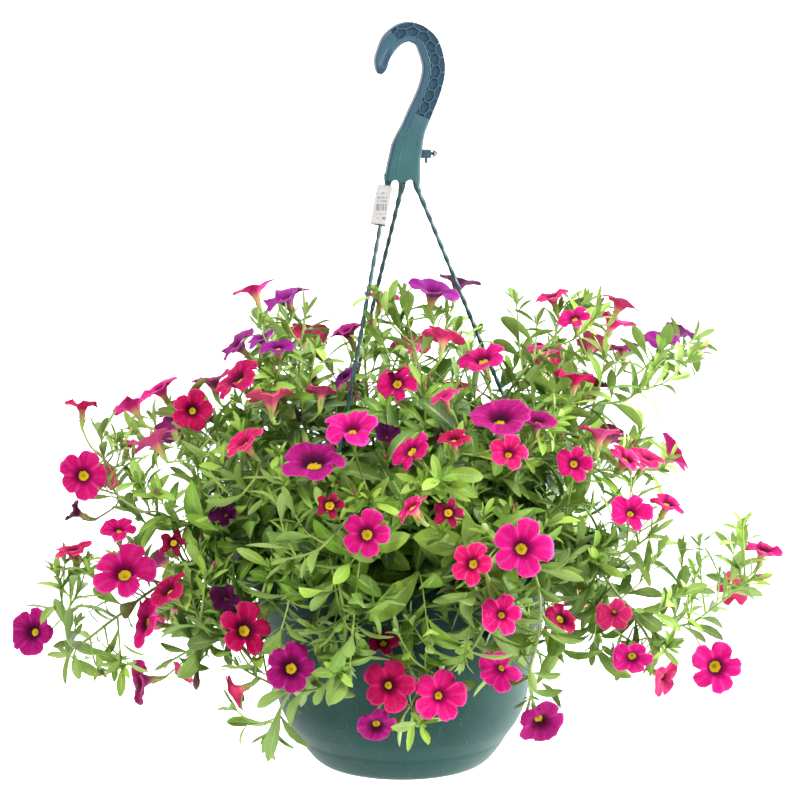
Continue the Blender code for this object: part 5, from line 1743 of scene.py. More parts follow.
@lru_cache(maxsize=None)
def plastic_group() -> bpy.types.NodeTree:
    """Returns the shared look of moulded plastic: cloudy colour, dust specks, fine scratches and grain."""
    tree, desk, given, out = shared_group(
        "moulded_plastic", {"Colour": (0.1, 0.2, 0.2), "Dust colour": (0.4, 0.45, 0.42), "Cloud": 0.25,
                            "Dust": 0.3, "Roughness": 0.5, "Speck scale": 900.0},
        {"Colour": "Color", "Roughness": "Float", "Height": "Float"})
    point = desk.point()
    cloud = desk.noise(point, 34.0, 4.0, 0.62)
    lighter = desk.product(desk.math("SUBTRACT", cloud, 0.5), given["Cloud"])
    colour = desk.node("HueSaturation")
    desk.plug(colour.inputs["Color"], given["Colour"])
    desk.plug(colour.inputs["Value"], desk.math("ADD", 1.0, desk.product(lighter, 2.4)))
    grain = desk.noise(point, given["Speck scale"], 2.0)
    patchy = desk.step(desk.noise(point, 60.0, 3.0), 0.42, 0.66)
    specks = desk.product(desk.step(grain, 0.60, 0.74), patchy)
    stretched = desk.node("Mapping")
    desk.plug(stretched.inputs["Vector"], point)
    stretched.inputs["Rotation"].default_value = (0.5, 0.2, 0.9)
    stretched.inputs["Scale"].default_value = (1.0, 1.0, 0.06)
    scratch = desk.step(desk.noise(stretched.outputs[0], 520.0, 1.0), 0.70, 0.76)
    marks = desk.math("MAXIMUM", specks, desk.product(scratch, 0.4))
    mask = desk.product(marks, given["Dust"])
    desk.plug(out["Colour"], desk.mix(mask, colour.outputs[0], given["Dust colour"]))
    desk.plug(out["Roughness"], desk.math("ADD", given["Roughness"], desk.product(cloud, 0.16)))
    desk.plug(out["Height"], desk.math("ADD", desk.product(grain, 0.6), cloud))
    return tree


@dataclass(frozen=True)
class Plastic:
    """A moulded plastic of one colour, with a little dust on it; where set, its upper part is painted light
    and its recesses painted shade.
    """

    name: str
    colour: Colour
    dust_colour: Colour = shade(150, 156, 140)
    cloud: float = 0.3
    dust: float = 0.35
    roughness: float = 0.45
    gloss: float = 0.28
    # Painted light: between the two heights of the span below, the colour turns to the second, bluer colour,
    # standing in for the light that falls on the hook's upper limb.
    high_colour: Colour | None = None
    high_span: Span = (0.452, 0.520)
    # Painted shade: faces nearer the middle plane than this depth, the floors of the honeycomb cells, are
    # darkened towards the recess colour below.
    recess: float = 0.0
    recess_colour: Colour = shade(30, 54, 78)
    frost: float = 0.0

    def make(self) -> bpy.types.Material:
        """Returns the material."""
        finish = Finish(self.name, self.roughness, Specular_IOR_Level=self.gloss, Sheen_Weight=self.frost,
                        Sheen_Roughness=0.35)
        desk = finish.desk
        axes = desk.node("SeparateXYZ")
        turn = desk.node("Mapping")
        desk.plug(turn.inputs["Vector"], desk.point())
        turn.inputs["Rotation"].default_value = (0.0, 0.0, -HOOK_YAW)
        desk.plug(axes.inputs[0], turn.outputs[0])
        base: object = self.colour
        # Painted light: the upper part takes the bluer top colour.
        if self.high_colour:
            base = desk.mix(desk.step(axes.outputs[2], *self.high_span), self.colour, self.high_colour)
        look = placed_group(desk, plastic_group(), {
            "Colour": base, "Dust colour": self.dust_colour, "Cloud": self.cloud, "Dust": self.dust,
            "Roughness": self.roughness - 0.08})
        colour = look.outputs["Colour"]
        # Painted shade: the cell floors are darkened, standing in for the shade in the recesses.
        if self.recess:
            floor = desk.step(desk.math("ABSOLUTE", axes.outputs[1]), self.recess, self.recess - 0.0008)
            colour = desk.mix(desk.product(floor, 0.62), colour, self.recess_colour)
        finish.set("Base Color", colour)
        finish.set("Roughness", look.outputs["Roughness"])
        finish.set("Normal", desk.bump(look.outputs["Height"], 0.25, 0.0006))
        return finish.material


@dataclass(frozen=True)
class Leafage:
    """The green of leaves and stems: own tint, paler midrib and underside, fine veins and a soft gloss."""

    name: str = "leaf_green"
    under: Colour = shade(142, 168, 100)
    midrib: Colour = shade(176, 198, 118)

    def make(self) -> bpy.types.Material:
        """Returns the material."""
        finish = Finish(self.name, 0.5, Specular_IOR_Level=0.42, Sheen_Weight=0.04, Sheen_Roughness=0.5)
        desk = finish.desk
        tint = desk.attribute("tint")
        across, along, under = desk.parts(desk.attribute("place"))
        point = desk.point()
        blotch = desk.noise(point, 160.0, 3.0)
        fine = desk.noise(point, 1500.0, 2.0)
        shift = desk.math("ADD", 0.72, desk.math("ADD", desk.product(blotch, 0.40), desk.product(fine, 0.16)))
        colour = desk.mix(1.0, tint, desk.join(shift, shift, desk.product(shift, 0.96)), "MULTIPLY")
        rib = desk.product(desk.step(across, 0.20, 0.05), desk.step(along, 1.0, 0.6))
        slant = desk.math("SUBTRACT", desk.product(along, 62.0), desk.product(across, 11.0))
        veins = desk.math("SINE", slant)
        side_veins = desk.product(desk.step(veins, 0.80, 1.0), desk.step(across, 0.95, 0.4))
        pale = desk.math("MAXIMUM", desk.product(rib, 0.62), desk.product(side_veins, 0.16))
        colour = desk.mix(pale, colour, self.midrib)
        flagged = desk.step(under, 0.9, 1.0)
        colour = desk.mix(desk.product(flagged, 0.5), colour, self.under)
        finish.set("Base Color", colour)
        height = desk.math("SUBTRACT", desk.product(fine, 0.5), desk.product(pale, 1.2))
        finish.set("Roughness", desk.math("ADD", 0.36, desk.product(fine, 0.22)))
        finish.set("Normal", desk.bump(height, 0.5, 0.0005))
        return finish.material


PETAL_HAIR = shade(248, 206, 228)
# Painted shade: the very bottom of the throat is darkened towards this brown.
THROAT_SHADE = shade(120, 84, 20)
TUBE_COLOUR = shade(206, 168, 112)


@lru_cache(maxsize=None)
def petal_group() -> bpy.types.NodeTree:
    """Returns the shared drawing of a trumpet's face: eye, ring, veins, pale streaks and edge, with painted
    shade in the ring and deep in the throat.
    """
    tree, desk, given, out = shared_group(
        "trumpet_face", {"Face": (0.8, 0.0, 0.3), "Edge": (0.9, 0.2, 0.5), "Vein": (0.4, 0.0, 0.1),
                         "Back": (0.6, 0.2, 0.3), "Eye": (0.9, 0.6, 0.1), "Ring": (0.3, 0.0, 0.1),
                         "Eye share": 0.2, "Ring share": 0.3, "Rib": 0.5},
        {"Colour": "Color", "Height": "Float"})
    across, along, back = desk.parts(desk.attribute("place"))
    point = desk.point()
    ragged = desk.product(desk.math("SUBTRACT", desk.noise(point, 700.0, 2.0), 0.5), 0.10)
    reach = desk.math("ADD", along, ragged)
    soft = desk.noise(point, 140.0, 3.0)
    streaked = desk.join(desk.product(across, 9.0), desk.product(along, 0.9), desk.product(soft, 0.6))
    threads = desk.noise(streaked, 3.4, 3.0, 0.6)
    paler = desk.math("ADD", desk.product(soft, 0.32), desk.step(reach, 0.15, 0.75, 0.0, 0.22))
    value = desk.math("ADD", 0.66, paler)
    face = desk.mix(1.0, given["Face"], desk.join(value, value, value), "MULTIPLY")
    hairs = desk.product(desk.step(desk.noise(point, 2400.0, 1.0), 0.66, 0.74), desk.step(along, 0.45, 0.95))
    streak = desk.product(desk.step(across, 0.80, 0.99), desk.step(along, 0.20, 0.55))
    crease = desk.product(desk.step(across, 0.17, 0.05), desk.step(along, 0.36, 0.55))
    rib = desk.product(desk.step(across, 0.07, 0.0), desk.step(along, 1.0, 0.5))
    # Dark ring round the eye: partly the flower's own colour, partly painted shade in the funnel.
    ring = desk.step(reach, given["Ring share"], given["Eye share"])
    eye = desk.math("LESS_THAN", reach, desk.product(given["Eye share"], 0.97))
    for mask, colour in (
            (desk.product(desk.step(threads, 0.52, 0.68), 0.45), given["Vein"]),
            (desk.product(desk.step(threads, 0.46, 0.30), 0.34), given["Edge"]),
            (desk.product(hairs, 0.35), PETAL_HAIR),
            (desk.product(streak, 0.34), given["Edge"]),
            (desk.product(desk.step(reach, 0.90, 1.0), 0.70), given["Edge"]),
            (desk.product(crease, desk.product(given["Rib"], 0.40)), given["Edge"]),
            (desk.product(rib, given["Rib"]), given["Vein"]),
            (desk.product(ring, 0.94), given["Ring"]),
            (eye, given["Eye"]),
            # Painted shade at the bottom of the throat.
            (desk.product(desk.step(along, 0.10, 0.02), 0.6), THROAT_SHADE)):
        face = desk.mix(mask, face, colour)
    behind = desk.mix(desk.step(along, 0.30, 0.10), given["Back"], TUBE_COLOUR)
    behind = desk.mix(desk.product(rib, 0.4), behind, given["Vein"])
    colour = desk.mix(desk.step(back, 0.4, 0.6), face, behind)
    tinted = desk.mix(1.0, colour, desk.attribute("tint"), "MULTIPLY")
    desk.plug(out["Colour"], desk.mix(desk.step(reach, 0.18, 0.34), colour, tinted))
    desk.plug(out["Height"], desk.math("SUBTRACT", desk.product(threads, 0.8), desk.product(rib, 0.8)))
    return tree


def petal_finish(kind: str) -> bpy.types.Material:
    """Makes the velvet of one kind of bloom.

    Args:
        kind: the name of its colours.

    Returns:
        The material.
    """
    petals = PETALS[kind]
    finish = Finish(f"petals_{kind}", 0.6, Specular_IOR_Level=0.08)
    look = placed_group(finish.desk, petal_group(), {
        "Face": petals.face, "Edge": petals.edge, "Vein": petals.vein, "Back": petals.back,
        "Eye": petals.eye, "Ring": petals.ring, "Eye share": petals.eye_share,
        "Ring share": petals.ring_share, "Rib": petals.rib})
    finish.set("Base Color", look.outputs["Colour"])
    finish.set("Normal", finish.desk.bump(look.outputs["Height"], 0.45, 0.0008))
    return finish.material


def soil_finish() -> bpy.types.Material:
    """Returns the damp peat of the pot, with paler crumbs."""
    finish = Finish("potting_mix", 0.92, Specular_IOR_Level=0.2)
    desk = finish.desk
    point = desk.point()
    clods = desk.step(desk.noise(point, 260.0, 5.0, 0.7), 0.35, 0.7)
    crumbs = desk.step(desk.noise(point, 900.0, 2.0), 0.68, 0.74)
    colour = desk.mix(clods, shade(38, 28, 20), shade(92, 70, 50))
    colour = desk.mix(crumbs, colour, shade(168, 158, 138))
    finish.set("Base Color", colour)
    finish.set("Normal", desk.bump(desk.noise(point, 600.0, 4.0, 0.7), 0.9, 0.002))
    return finish.material


# A row of bars each: where it starts and stops up the label, how fine its bars are and how wide apart.
LABEL_BARS = (
    (0.86, 0.90, 26.0, 0.5), (0.73, 0.80, 15.0, 0.46), (0.64, 0.68, 22.0, 0.5), (0.34, 0.57, 30.0, 0.48),
    (0.22, 0.25, 24.0, 0.5), (0.09, 0.15, 14.0, 0.5),
)


def paper_finish(low: Vector, high: Vector) -> bpy.types.Material:
    """Makes the label's coated paper, printed with plain grey bars.

    Args:
        low: the lowest corner of the label.
        high: its highest corner.

    Returns:
        The material.
    """
    finish = Finish("label_sheet", 0.55, Specular_IOR_Level=0.3)
    desk = finish.desk
    point = desk.point()
    axes = desk.node("SeparateXYZ")
    desk.plug(axes.inputs[0], point)
    across = desk.step(axes.outputs[0], low.x, high.x)
    up = desk.step(axes.outputs[2], low.z, high.z)
    ink: object = 0.0
    for start, stop, fine, spaced in LABEL_BARS:
        row = desk.product(desk.step(up, start, start + 0.01), desk.step(up, stop + 0.01, stop))
        cells = desk.noise(desk.join(desk.product(across, fine), start * 40.0, 0.0), 1.0, 0.0)
        ink = desk.math("MAXIMUM", ink, desk.product(row, desk.step(cells, spaced, spaced + 0.03)))
    inset = desk.product(desk.step(across, 0.18, 0.20), desk.step(across, 0.84, 0.82))
    paper = desk.mix(desk.noise(point, 200.0, 3.0), shade(168, 166, 166), shade(188, 185, 183))
    finish.set("Base Color", desk.mix(desk.product(ink, inset, 0.75), paper, shade(78, 76, 84)))
    finish.set("Normal", desk.bump(desk.noise(point, 420.0, 3.0), 0.3, 0.0005))
    return finish.material


# ---------------------------------------------------------------- pot, soil and hanger


def dressed(piece: bpy.types.Object, slot: str, *nodes: str) -> bpy.types.Object:
    """Hangs a piece on the frame.

    Args:
        piece: the piece.
        slot: the material slot of the record; not used.
        nodes: the frame's nodes that it stands for.

    Returns:
        The piece.
    """
    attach(piece, "root")
    for node in nodes:
        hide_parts(node)
    LOG.info("%s: %d faces", piece.name, len(piece.data.polygons))
    return piece


@dataclass
class Pot:
    """The turned plastic pot and the soil in it."""

    steps: int = 144
    profile_step: float = 0.003
    foot: tuple[Span, ...] = (
        (0.0625, 0.0), (0.0668, 0.0010), (0.0700, 0.0036), (0.0755, 0.0105), (0.0806, 0.0186),
    )
    bowl: tuple[Span, ...] = (
        (0.0808, 0.0193), (0.0862, 0.0270), (0.0908, 0.0343), (0.0962, 0.0480), (0.0992, 0.0660),
        (0.1050, 0.0900), (0.1090, 0.1120), (0.1129, 0.1440),
    )
    lip: tuple[Span, ...] = (
        (0.1141, 0.1464), (0.1262, 0.1476), (0.1276, 0.1490), (0.1279, 0.1600), (0.1274, 0.1617),
        (0.1262, 0.1619),
    )
    inside: tuple[Span, ...] = (
        (0.1254, 0.1610), (0.1250, 0.1512), (0.1108, 0.1494), (0.1027, 0.0900), (0.0967, 0.0660),
        (0.0937, 0.0470), (0.0660, 0.0040),
    )
    soil_side: tuple[Span, ...] = (
        (0.0648, 0.0043), (0.0925, 0.0480), (0.0952, 0.0660), (SOIL_RADIUS, SOIL_TOP),
    )
    soil_rings: tuple[float, ...] = (0.96, 0.88, 0.79, 0.69, 0.58, 0.47, 0.36, 0.25, 0.14, 0.05)
    soil_relief: float = 0.0026
    soil_lumps: float = 70.0
    smooth_edge: float = 0.02
    crumbs: int = 420
    crumb_reach: float = 0.102
    crumb_size: Span = (0.0008, 0.0024)

    def turned(self, profile: tuple[Span, ...]) -> bmesh.types.BMesh:
        """Turns a profile about the pot's axis.

        Args:
            profile: its points, each a radius and a height.

        Returns:
            The solid, closed at both its ends.
        """
        shape = bmesh.new()
        chain = [shape.verts.new((radius, 0.0, height)) for radius, height in profile]
        edges = [shape.edges.new(pair) for pair in zip(chain, chain[1:])]
        bmesh.ops.spin(shape, geom=[*chain, *edges], cent=(0.0, 0.0, 0.0), axis=(0.0, 0.0, 1.0), angle=TAU,
                       steps=self.steps, use_merge=True)
        bmesh.ops.remove_doubles(shape, verts=shape.verts, dist=1e-6)
        bmesh.ops.holes_fill(shape, edges=[edge for edge in shape.edges if edge.is_boundary], sides=0)
        return shape

    def pot(self, finish: bpy.types.Material) -> None:
        """Builds the pot's wall and lip.

        Args:
            finish: its material.
        """
        curved = [smooth_route([Vector((radius, 0.0, height)) for radius, height in line], self.profile_step)
                  for line in (self.foot, self.bowl)]
        outside = [(point.x, point.z) for line in curved for point in line]
        shape = self.turned((*outside, *self.lip, *self.inside))
        dressed(finished("pot_wall", shape, finish, 40.0), "pot_plastic", "pot")

    def soil(self, finish: bpy.types.Material) -> None:
        """Builds the soil, with a rough top of crumbs.

        Args:
            finish: its material.
        """
        top = [(SOIL_RADIUS * share, SOIL_TOP) for share in self.soil_rings]
        shape = self.turned((*self.soil_side, *top))
        for vertex in shape.verts:
            if vertex.co.z > SOIL_TOP - 1e-5:
                wander = noise.fractal(vertex.co * self.soil_lumps, 0.7, 2.0, 4)
                inward = min(1.0, (SOIL_RADIUS - math.hypot(vertex.co.x, vertex.co.y)) / self.smooth_edge)
                vertex.co.z += wander * self.soil_relief * max(0.15, inward)
        draw = random.Random("crumbs")
        for _ in range(self.crumbs):
            reach, angle = self.crumb_reach * math.sqrt(draw.random()), draw.uniform(0.0, TAU)
            size = draw.uniform(*self.crumb_size)
            height = SOIL_TOP + size * 0.3
            spot = Matrix.Translation((reach * math.cos(angle), reach * math.sin(angle), height))
            axis = Vector((draw.random(), draw.random(), draw.random() + 0.1)).normalized()
            turn = Quaternion(axis, draw.uniform(0.0, TAU)).to_matrix().to_4x4()
            long, flat = size * draw.uniform(0.6, 1.3), size * draw.uniform(0.5, 0.9)
            squash = Matrix.Diagonal((long, size, flat, 1.0))
            bmesh.ops.create_icosphere(shape, subdivisions=1, radius=1.0, matrix=spot @ turn @ squash)
        dressed(finished("soil_bed", shape, finish, 30.0), "soil", "potting_soil")


def hook_point(across: float, height: float, depth: float = 0.0) -> Vector:
    """Returns a point of the hook from its place across the plate, its height and its depth."""
    return Matrix.Rotation(HOOK_YAW, 3, "Z") @ Vector((across, depth, height))


def hook_frame(across: float, height: float, depth: float = 0.0) -> Matrix:
    """Returns the frame of the hook's face, X across it, at a point of the hook."""
    return Matrix.Translation(hook_point(across, height, depth)) @ Matrix.Rotation(HOOK_YAW, 4, "Z")


def side_of(way: Vector) -> Vector:
    """Returns the direction across the limb, in the hook's own plane, where it runs along another."""
    return Vector((way.z, 0.0, -way.x))


@dataclass
class Hook:
    """The moulded hook with its honeycombed limb and the plate that the strands leave."""

    line: tuple[Place, ...] = (
        # across, height, width of the limb
        (-0.0170, 0.5265, 0.0030), (-0.0160, 0.5330, 0.0085), (-0.0150, 0.5390, 0.0110),
        (-0.0080, 0.5515, 0.0140), (0.0033, 0.5575, 0.0150), (0.0142, 0.5540, 0.0152),
        (0.0203, 0.5458, 0.0172), (0.0240, 0.5303, 0.0170), (0.0203, 0.5133, 0.0170),
        (0.0100, 0.4893, 0.0180), (0.0030, 0.4690, 0.0235), (0.0, 0.4460, 0.0270),
    )
    thickness: float = 0.012
    square: float = 0.36
    fine_step: float = 0.0024
    sides: int = 24
    cell: Span = (0.0046, 0.0042)
    cell_rows: tuple[Span, ...] = ((-0.0006, 0.0), (-0.0069, 0.5), (0.0057, 0.5))
    rib: float = 0.00045
    cell_depth: float = 0.0014
    borders: Span = (0.27, 0.05)
    comb: tuple[float, float] = (0.190, 0.690)
    tip_rings: int = 5
    scallop: float = 0.0043
    scallop_height: float = STRAND_TOP
    scallop_across: Span = (-0.0056, 0.0056)
    tip_hollow: Place = (-0.0134, 0.5375, 0.0072)
    tip_hollow_size: Place = (0.0040, 0.0024, 0.0115)
    tip_lean: float = math.radians(22.0)
    bead: float = 0.0009
    ridge_bead: float = 0.0005
    socket: Place = (0.0026, 0.0030, 0.008)
    catch: Span = (0.0150, 0.46675)
    catch_size: Place = (0.014, 0.007, 0.0065)
    catch_edge: float = 0.0010
    rings: tuple[tuple[float, ...], ...] = (
        # across, height, half width, half height, bead
        (0.0060, 0.4745, 0.0052, 0.0052, 0.0006), (0.0095, 0.4860, 0.0033, 0.0060, 0.0005),
    )

    def spine(self) -> tuple[list[Vector], list[float]]:
        """Returns the fine centre line of the limb and its width at each point."""
        line = [Vector((across, 0.0, height)) for across, height, _ in self.line]
        widths = [width for _, _, width in self.line]
        counts = [max(1, round((b - a).length / self.fine_step)) for a, b in zip(line, line[1:])]
        path = smooth_route(line, self.fine_step)
        spans = []
        for index, count in enumerate(counts):
            start, stop = widths[index], widths[index + 1]
            eased = [(1.0 - math.cos(math.pi * part / count)) / 2.0 for part in range(count)]
            spans += [start + (stop - start) * share for share in eased]
        for ring in range(self.tip_rings):
            spans[ring] = spans[self.tip_rings] * self.rounding(ring)
        return path, [*spans, widths[-1]]

    def rounding(self, ring: int) -> float:
        """Returns how far the tip has opened out at a ring, from 0 to 1."""
        return math.sqrt(1.0 - (1.0 - min(1.0, (ring + 0.3) / (self.tip_rings + 0.3))) ** 2)

    def squared(self, share: float) -> float:
        """Returns a share of a circle's radius moved out towards a square's side, its sign kept."""
        return math.copysign(abs(share) ** self.square, share)

    def swept(self, path: list[Vector], widths: list[float], thickness: float,
              tapered: bool) -> bmesh.types.BMesh:
        """Sweeps the limb's rounded section along a line.

        Args:
            path: the line, each point's X across the plate and Z its height.
            widths: the section's width at each point.
            thickness: its thickness.
            tapered: whether it thins towards its start, as the hook's tip does.

        Returns:
            The closed limb.
        """
        form = sleeve(self.sides, len(path))
        shape = bmesh.new()
        ways = tangents(path)
        spots = []
        for ring, side in zip(form.ring, form.side):
            angle = TAU * side / self.sides
            taper = self.rounding(int(ring)) if tapered else 1.0
            across = self.squared(math.cos(angle)) * widths[ring] / 2.0
            depth = self.squared(math.sin(angle)) * thickness / 2.0 * taper
            spot = path[ring] + side_of(ways[ring]) * across
            spots.append(shape.verts.new(hook_point(spot.x, spot.z, depth)))
        start = 0
        for size in form.sizes:
            shape.faces.new([spots[index] for index in form.corners[start:start + size]])
            start += size
        bmesh.ops.recalc_face_normals(shape, faces=shape.faces[:])
        return shape

    def cells(self, path: list[Vector]) -> bmesh.types.BMesh:
        """Makes the six-sided cutters that follow the honeycombed part of the limb, on both faces.

        Args:
            path: the limb's centre line.

        Returns:
            All the cutters.
        """
        shape = bmesh.new()
        ways = tangents(path)
        gone = [0.0]
        for before, after in zip(path, path[1:]):
            gone.append(gone[-1] + (after - before).length)
        half, side = self.cell

        def spot(along: float, across: float, depth: float) -> bmesh.types.BMVert:
            """Adds a corner.

            Args:
                along: its place along the limb.
                across: its place across it.
                depth: its place through it.

            Returns:
                The corner.
            """
            near = max(i for i in range(len(path) - 1) if gone[i] <= along or i == 0)
            share = (along - gone[near]) / (gone[near + 1] - gone[near])
            way = ways[near].lerp(ways[near + 1], min(1.0, max(0.0, share))).normalized()
            place = path[near].lerp(path[near + 1], share) + side_of(way) * across
            return shape.verts.new(hook_point(place.x, place.z, depth))

        first, last = (gone[-1] * share for share in self.comb)
        corners = ((1.0, 0.5), (0.0, 1.0), (-1.0, 0.5), (-1.0, -0.5), (0.0, -1.0), (1.0, -0.5))
        for across, shift in self.cell_rows:
            for row in range(-1, round((last - first) / (2.0 * half)) + 1):
                middle = first + (2.0 * (row + shift) + 0.6) * half
                for face in (1.0, -1.0):
                    rings = [[spot(middle + a * (half - self.rib), across + b * (side - self.rib * 1.15),
                                   face * (self.thickness / 2.0 + depth)) for a, b in corners]
                             for depth in (-self.cell_depth, self.cell_depth)]
                    for i in range(6):
                        shape.faces.new((rings[0][i], rings[0][i - 1], rings[1][i - 1], rings[1][i]))
                    for ring in rings:
                        shape.faces.new(ring)
        bmesh.ops.recalc_face_normals(shape, faces=shape.faces[:])
        return shape

    def scallops(self) -> bmesh.types.BMesh:
        """Makes the cutters that arch the plate's lower edge between the strands and hollow the tip's faces.

        Returns:
            All the cutters.
        """
        shape = bmesh.new()
        for across in self.scallop_across:
            matrix = hook_frame(across, self.scallop_height) @ Matrix.Rotation(math.pi / 2.0, 4, "X")
            bmesh.ops.create_cone(shape, cap_ends=True, segments=40, radius1=self.scallop,
                                  radius2=self.scallop, depth=self.thickness * 2.5, matrix=matrix)
        across, height, depth = self.tip_hollow
        for face in (-1.0, 1.0):
            matrix = (hook_frame(across, height, face * depth) @ Matrix.Rotation(self.tip_lean, 4, "Y")
                      @ Matrix.Diagonal((*self.tip_hollow_size, 1.0)))
            bmesh.ops.create_uvsphere(shape, u_segments=32, v_segments=16, radius=1.0, matrix=matrix)
        return shape

    def build(self, finish: bpy.types.Material) -> None:
        """Builds the hook with its honeycomb, its plate's relief and its catch.

        Args:
            finish: its material.
        """
        path, widths = self.spine()
        body = finished("hook_blank", self.swept(path, widths, self.thickness, True), finish)
        cutters = finished("hook_cutters", self.cells(path), finish)
        arches = finished("hook_arches", self.scallops(), finish)
        first, last = (round(share * (len(path) - 1)) for share in self.comb)
        ways = tangents(path)
        inner, outer = self.borders
        line = [path[i] + side_of(ways[i]) * widths[i] * (outer - inner) / 2.0
                for i in range(first, last + 1)]
        panel_widths = [width * (1.0 - inner - outer) for width in widths[first:last + 1]]
        panel = finished("hook_panel", self.swept(line, panel_widths, self.thickness * 1.6, False), finish)
        cut(cutters, panel, Cut.COMMON)
        cut(body, cutters, Cut.AWAY)
        cut(body, arches, Cut.AWAY)
        shape = bmesh.new()
        shape.from_mesh(body.data)
        for piece in (body, cutters, panel, arches):
            bpy.data.objects.remove(piece, do_unlink=True)
        self.details(shape)
        self.ridge(shape, path, widths)
        dressed(finished("hook_and_plate", shape, finish, 32.0), "hanger_plastic", "hanger_hook")

    def details(self, shape: bmesh.types.BMesh) -> None:
        """Adds the strand sockets, the catch at the plate's side and the raised rings on the plate.

        Args:
            shape: the hook's mesh.
        """
        low, high, length = self.socket
        for across in STRAND_ROOTS.values():
            foot = hook_point(across * 0.97, STRAND_TOP + CLEARANCE + length / 2.0)
            self.peg(shape, foot, UP, low, high, length)
        for across in self.scallop_across:
            self.arch(shape, across)
        right = hook_point(1.0, 0.0)
        matrix = hook_frame(*self.catch) @ Matrix.Diagonal((*self.catch_size, 1.0))
        block = bmesh.ops.create_cube(shape, size=1.0, matrix=matrix)
        edges = list({edge for vertex in block["verts"] for edge in vertex.link_edges})
        bmesh.ops.bevel(shape, geom=edges, offset=self.catch_edge, segments=2, profile=0.5, affect="EDGES",
                        material=-1)
        for across, height, way, low, high, length in (
                (0.0221, 0.4668, right, 0.0012, 0.0012, 0.0046),
                (0.0258, 0.4668, right, 0.0032, 0.0006, 0.0034),
                (0.0185, 0.4622, UP, 0.0010, 0.0012, 0.0052)):
            self.peg(shape, hook_point(across, height), way, low, high, length)
        for ring in self.rings:
            self.ring(shape, *ring)

    def arch(self, shape: bmesh.types.BMesh, across: float) -> None:
        """Adds the raised bead that follows an arch of the plate's lower edge, on both faces.

        Args:
            shape: the hook's mesh.
            across: where the arch's middle is across the plate.
        """
        radius = self.scallop + CLEARANCE
        for depth in (-0.35 * self.thickness, 0.35 * self.thickness):
            turns = [math.radians(6.0 + 12.0 * step) for step in range(15)]
            add_bead(shape, [hook_point(across + math.cos(turn) * radius,
                                        self.scallop_height + math.sin(turn) * radius, depth)
                             for turn in turns], self.bead)

    def ridge(self, shape: bmesh.types.BMesh, path: list[Vector], widths: list[float]) -> None:
        """Adds the low ridge that runs down both faces beside the honeycomb and over the plate.

        Args:
            shape: the hook's mesh.
            path: the limb's centre line.
            widths: its width at each point.
        """
        ways = tangents(path)
        span = range(round(self.comb[0] * (len(path) - 1)), len(path) - 2)
        line = [path[i] + side_of(ways[i]) * widths[i] * (0.49 - self.borders[0]) for i in span]
        for face in (-1.0, 1.0):
            depth = face * (self.thickness / 2.0 - 0.0002)
            add_bead(shape, [hook_point(spot.x, spot.z, depth) for spot in line], self.ridge_bead)

    @staticmethod
    def peg(shape: bmesh.types.BMesh, middle: Vector, way: Vector, low: float, high: float,
            length: float) -> None:
        """Adds a small round peg.

        Args:
            shape: the hook's mesh.
            middle: where its middle is.
            way: the direction of its axis.
            low: its radius at the start.
            high: its radius at the end.
            length: how long it is.
        """
        matrix = Matrix.Translation(middle) @ frame_along(way)
        bmesh.ops.create_cone(shape, cap_ends=True, segments=20, radius1=low, radius2=high, depth=length,
                              matrix=matrix)

    def ring(self, shape: bmesh.types.BMesh, across: float, height: float, wide: float, high: float,
             bead: float) -> None:
        """Adds a thin raised ring on both faces of the plate.

        Args:
            shape: the hook's mesh.
            across: where its middle is across the plate.
            height: how high its middle is.
            wide: half its width.
            high: half its height.
            bead: the radius of its bead.
        """
        for face in (-1.0, 1.0):
            loop = bmesh.new()
            turns = [TAU * part / 8 for part in range(8)]
            chain = [loop.verts.new((wide + math.cos(turn) * bead, 0.0, math.sin(turn) * bead * 0.6))
                     for turn in turns]
            edges = [loop.edges.new((chain[i - 1], chain[i])) for i in range(8)]
            bmesh.ops.spin(loop, geom=[*chain, *edges], cent=(0.0, 0.0, 0.0), axis=(0.0, 0.0, 1.0), angle=TAU,
                           steps=32, use_merge=True)
            upright = Matrix.Rotation(math.pi / 2.0, 4, "X") @ Matrix.Diagonal((1.0, high / wide, 1.0, 1.0))
            matrix = hook_frame(across, height, face * self.thickness / 2.0 * 0.98) @ upright
            bmesh.ops.transform(loop, matrix=matrix, verts=loop.verts[:])
            mesh = bpy.data.meshes.new("hook_ring")
            loop.to_mesh(mesh)
            loop.free()
            shape.from_mesh(mesh)
            bpy.data.meshes.remove(mesh)


def add_bead(shape: bmesh.types.BMesh, points: list[Vector], radius: float) -> None:
    """Adds a thin round bead to a mesh.

    Args:
        shape: the mesh.
        points: the bead's centre line.
        radius: its radius.
    """
    made = tube(points, [radius] * len(points), 8)
    corners = [shape.verts.new(point) for point in made.points]
    for face in made.faces:
        shape.faces.new([corners[index] for index in face])


class Cut(Enum):
    """How one solid cuts another."""

    AWAY = "DIFFERENCE"
    COMMON = "INTERSECT"


def cut(piece: bpy.types.Object, tool: bpy.types.Object, kind: Cut) -> None:
    """Cuts one object with another.

    Args:
        piece: the object that is changed.
        tool: the other one.
        kind: whether the tool is taken away, or what both have in common stays.
    """
    modifier = piece.modifiers.new("cut", "BOOLEAN")
    modifier.operation = kind.value
    modifier.object = tool
    modifier.solver = "EXACT"
    modifier.use_self = True
    graph = bpy.context.evaluated_depsgraph_get()
    mesh = bpy.data.meshes.new_from_object(piece.evaluated_get(graph))
    piece.modifiers.clear()
    piece.data = mesh


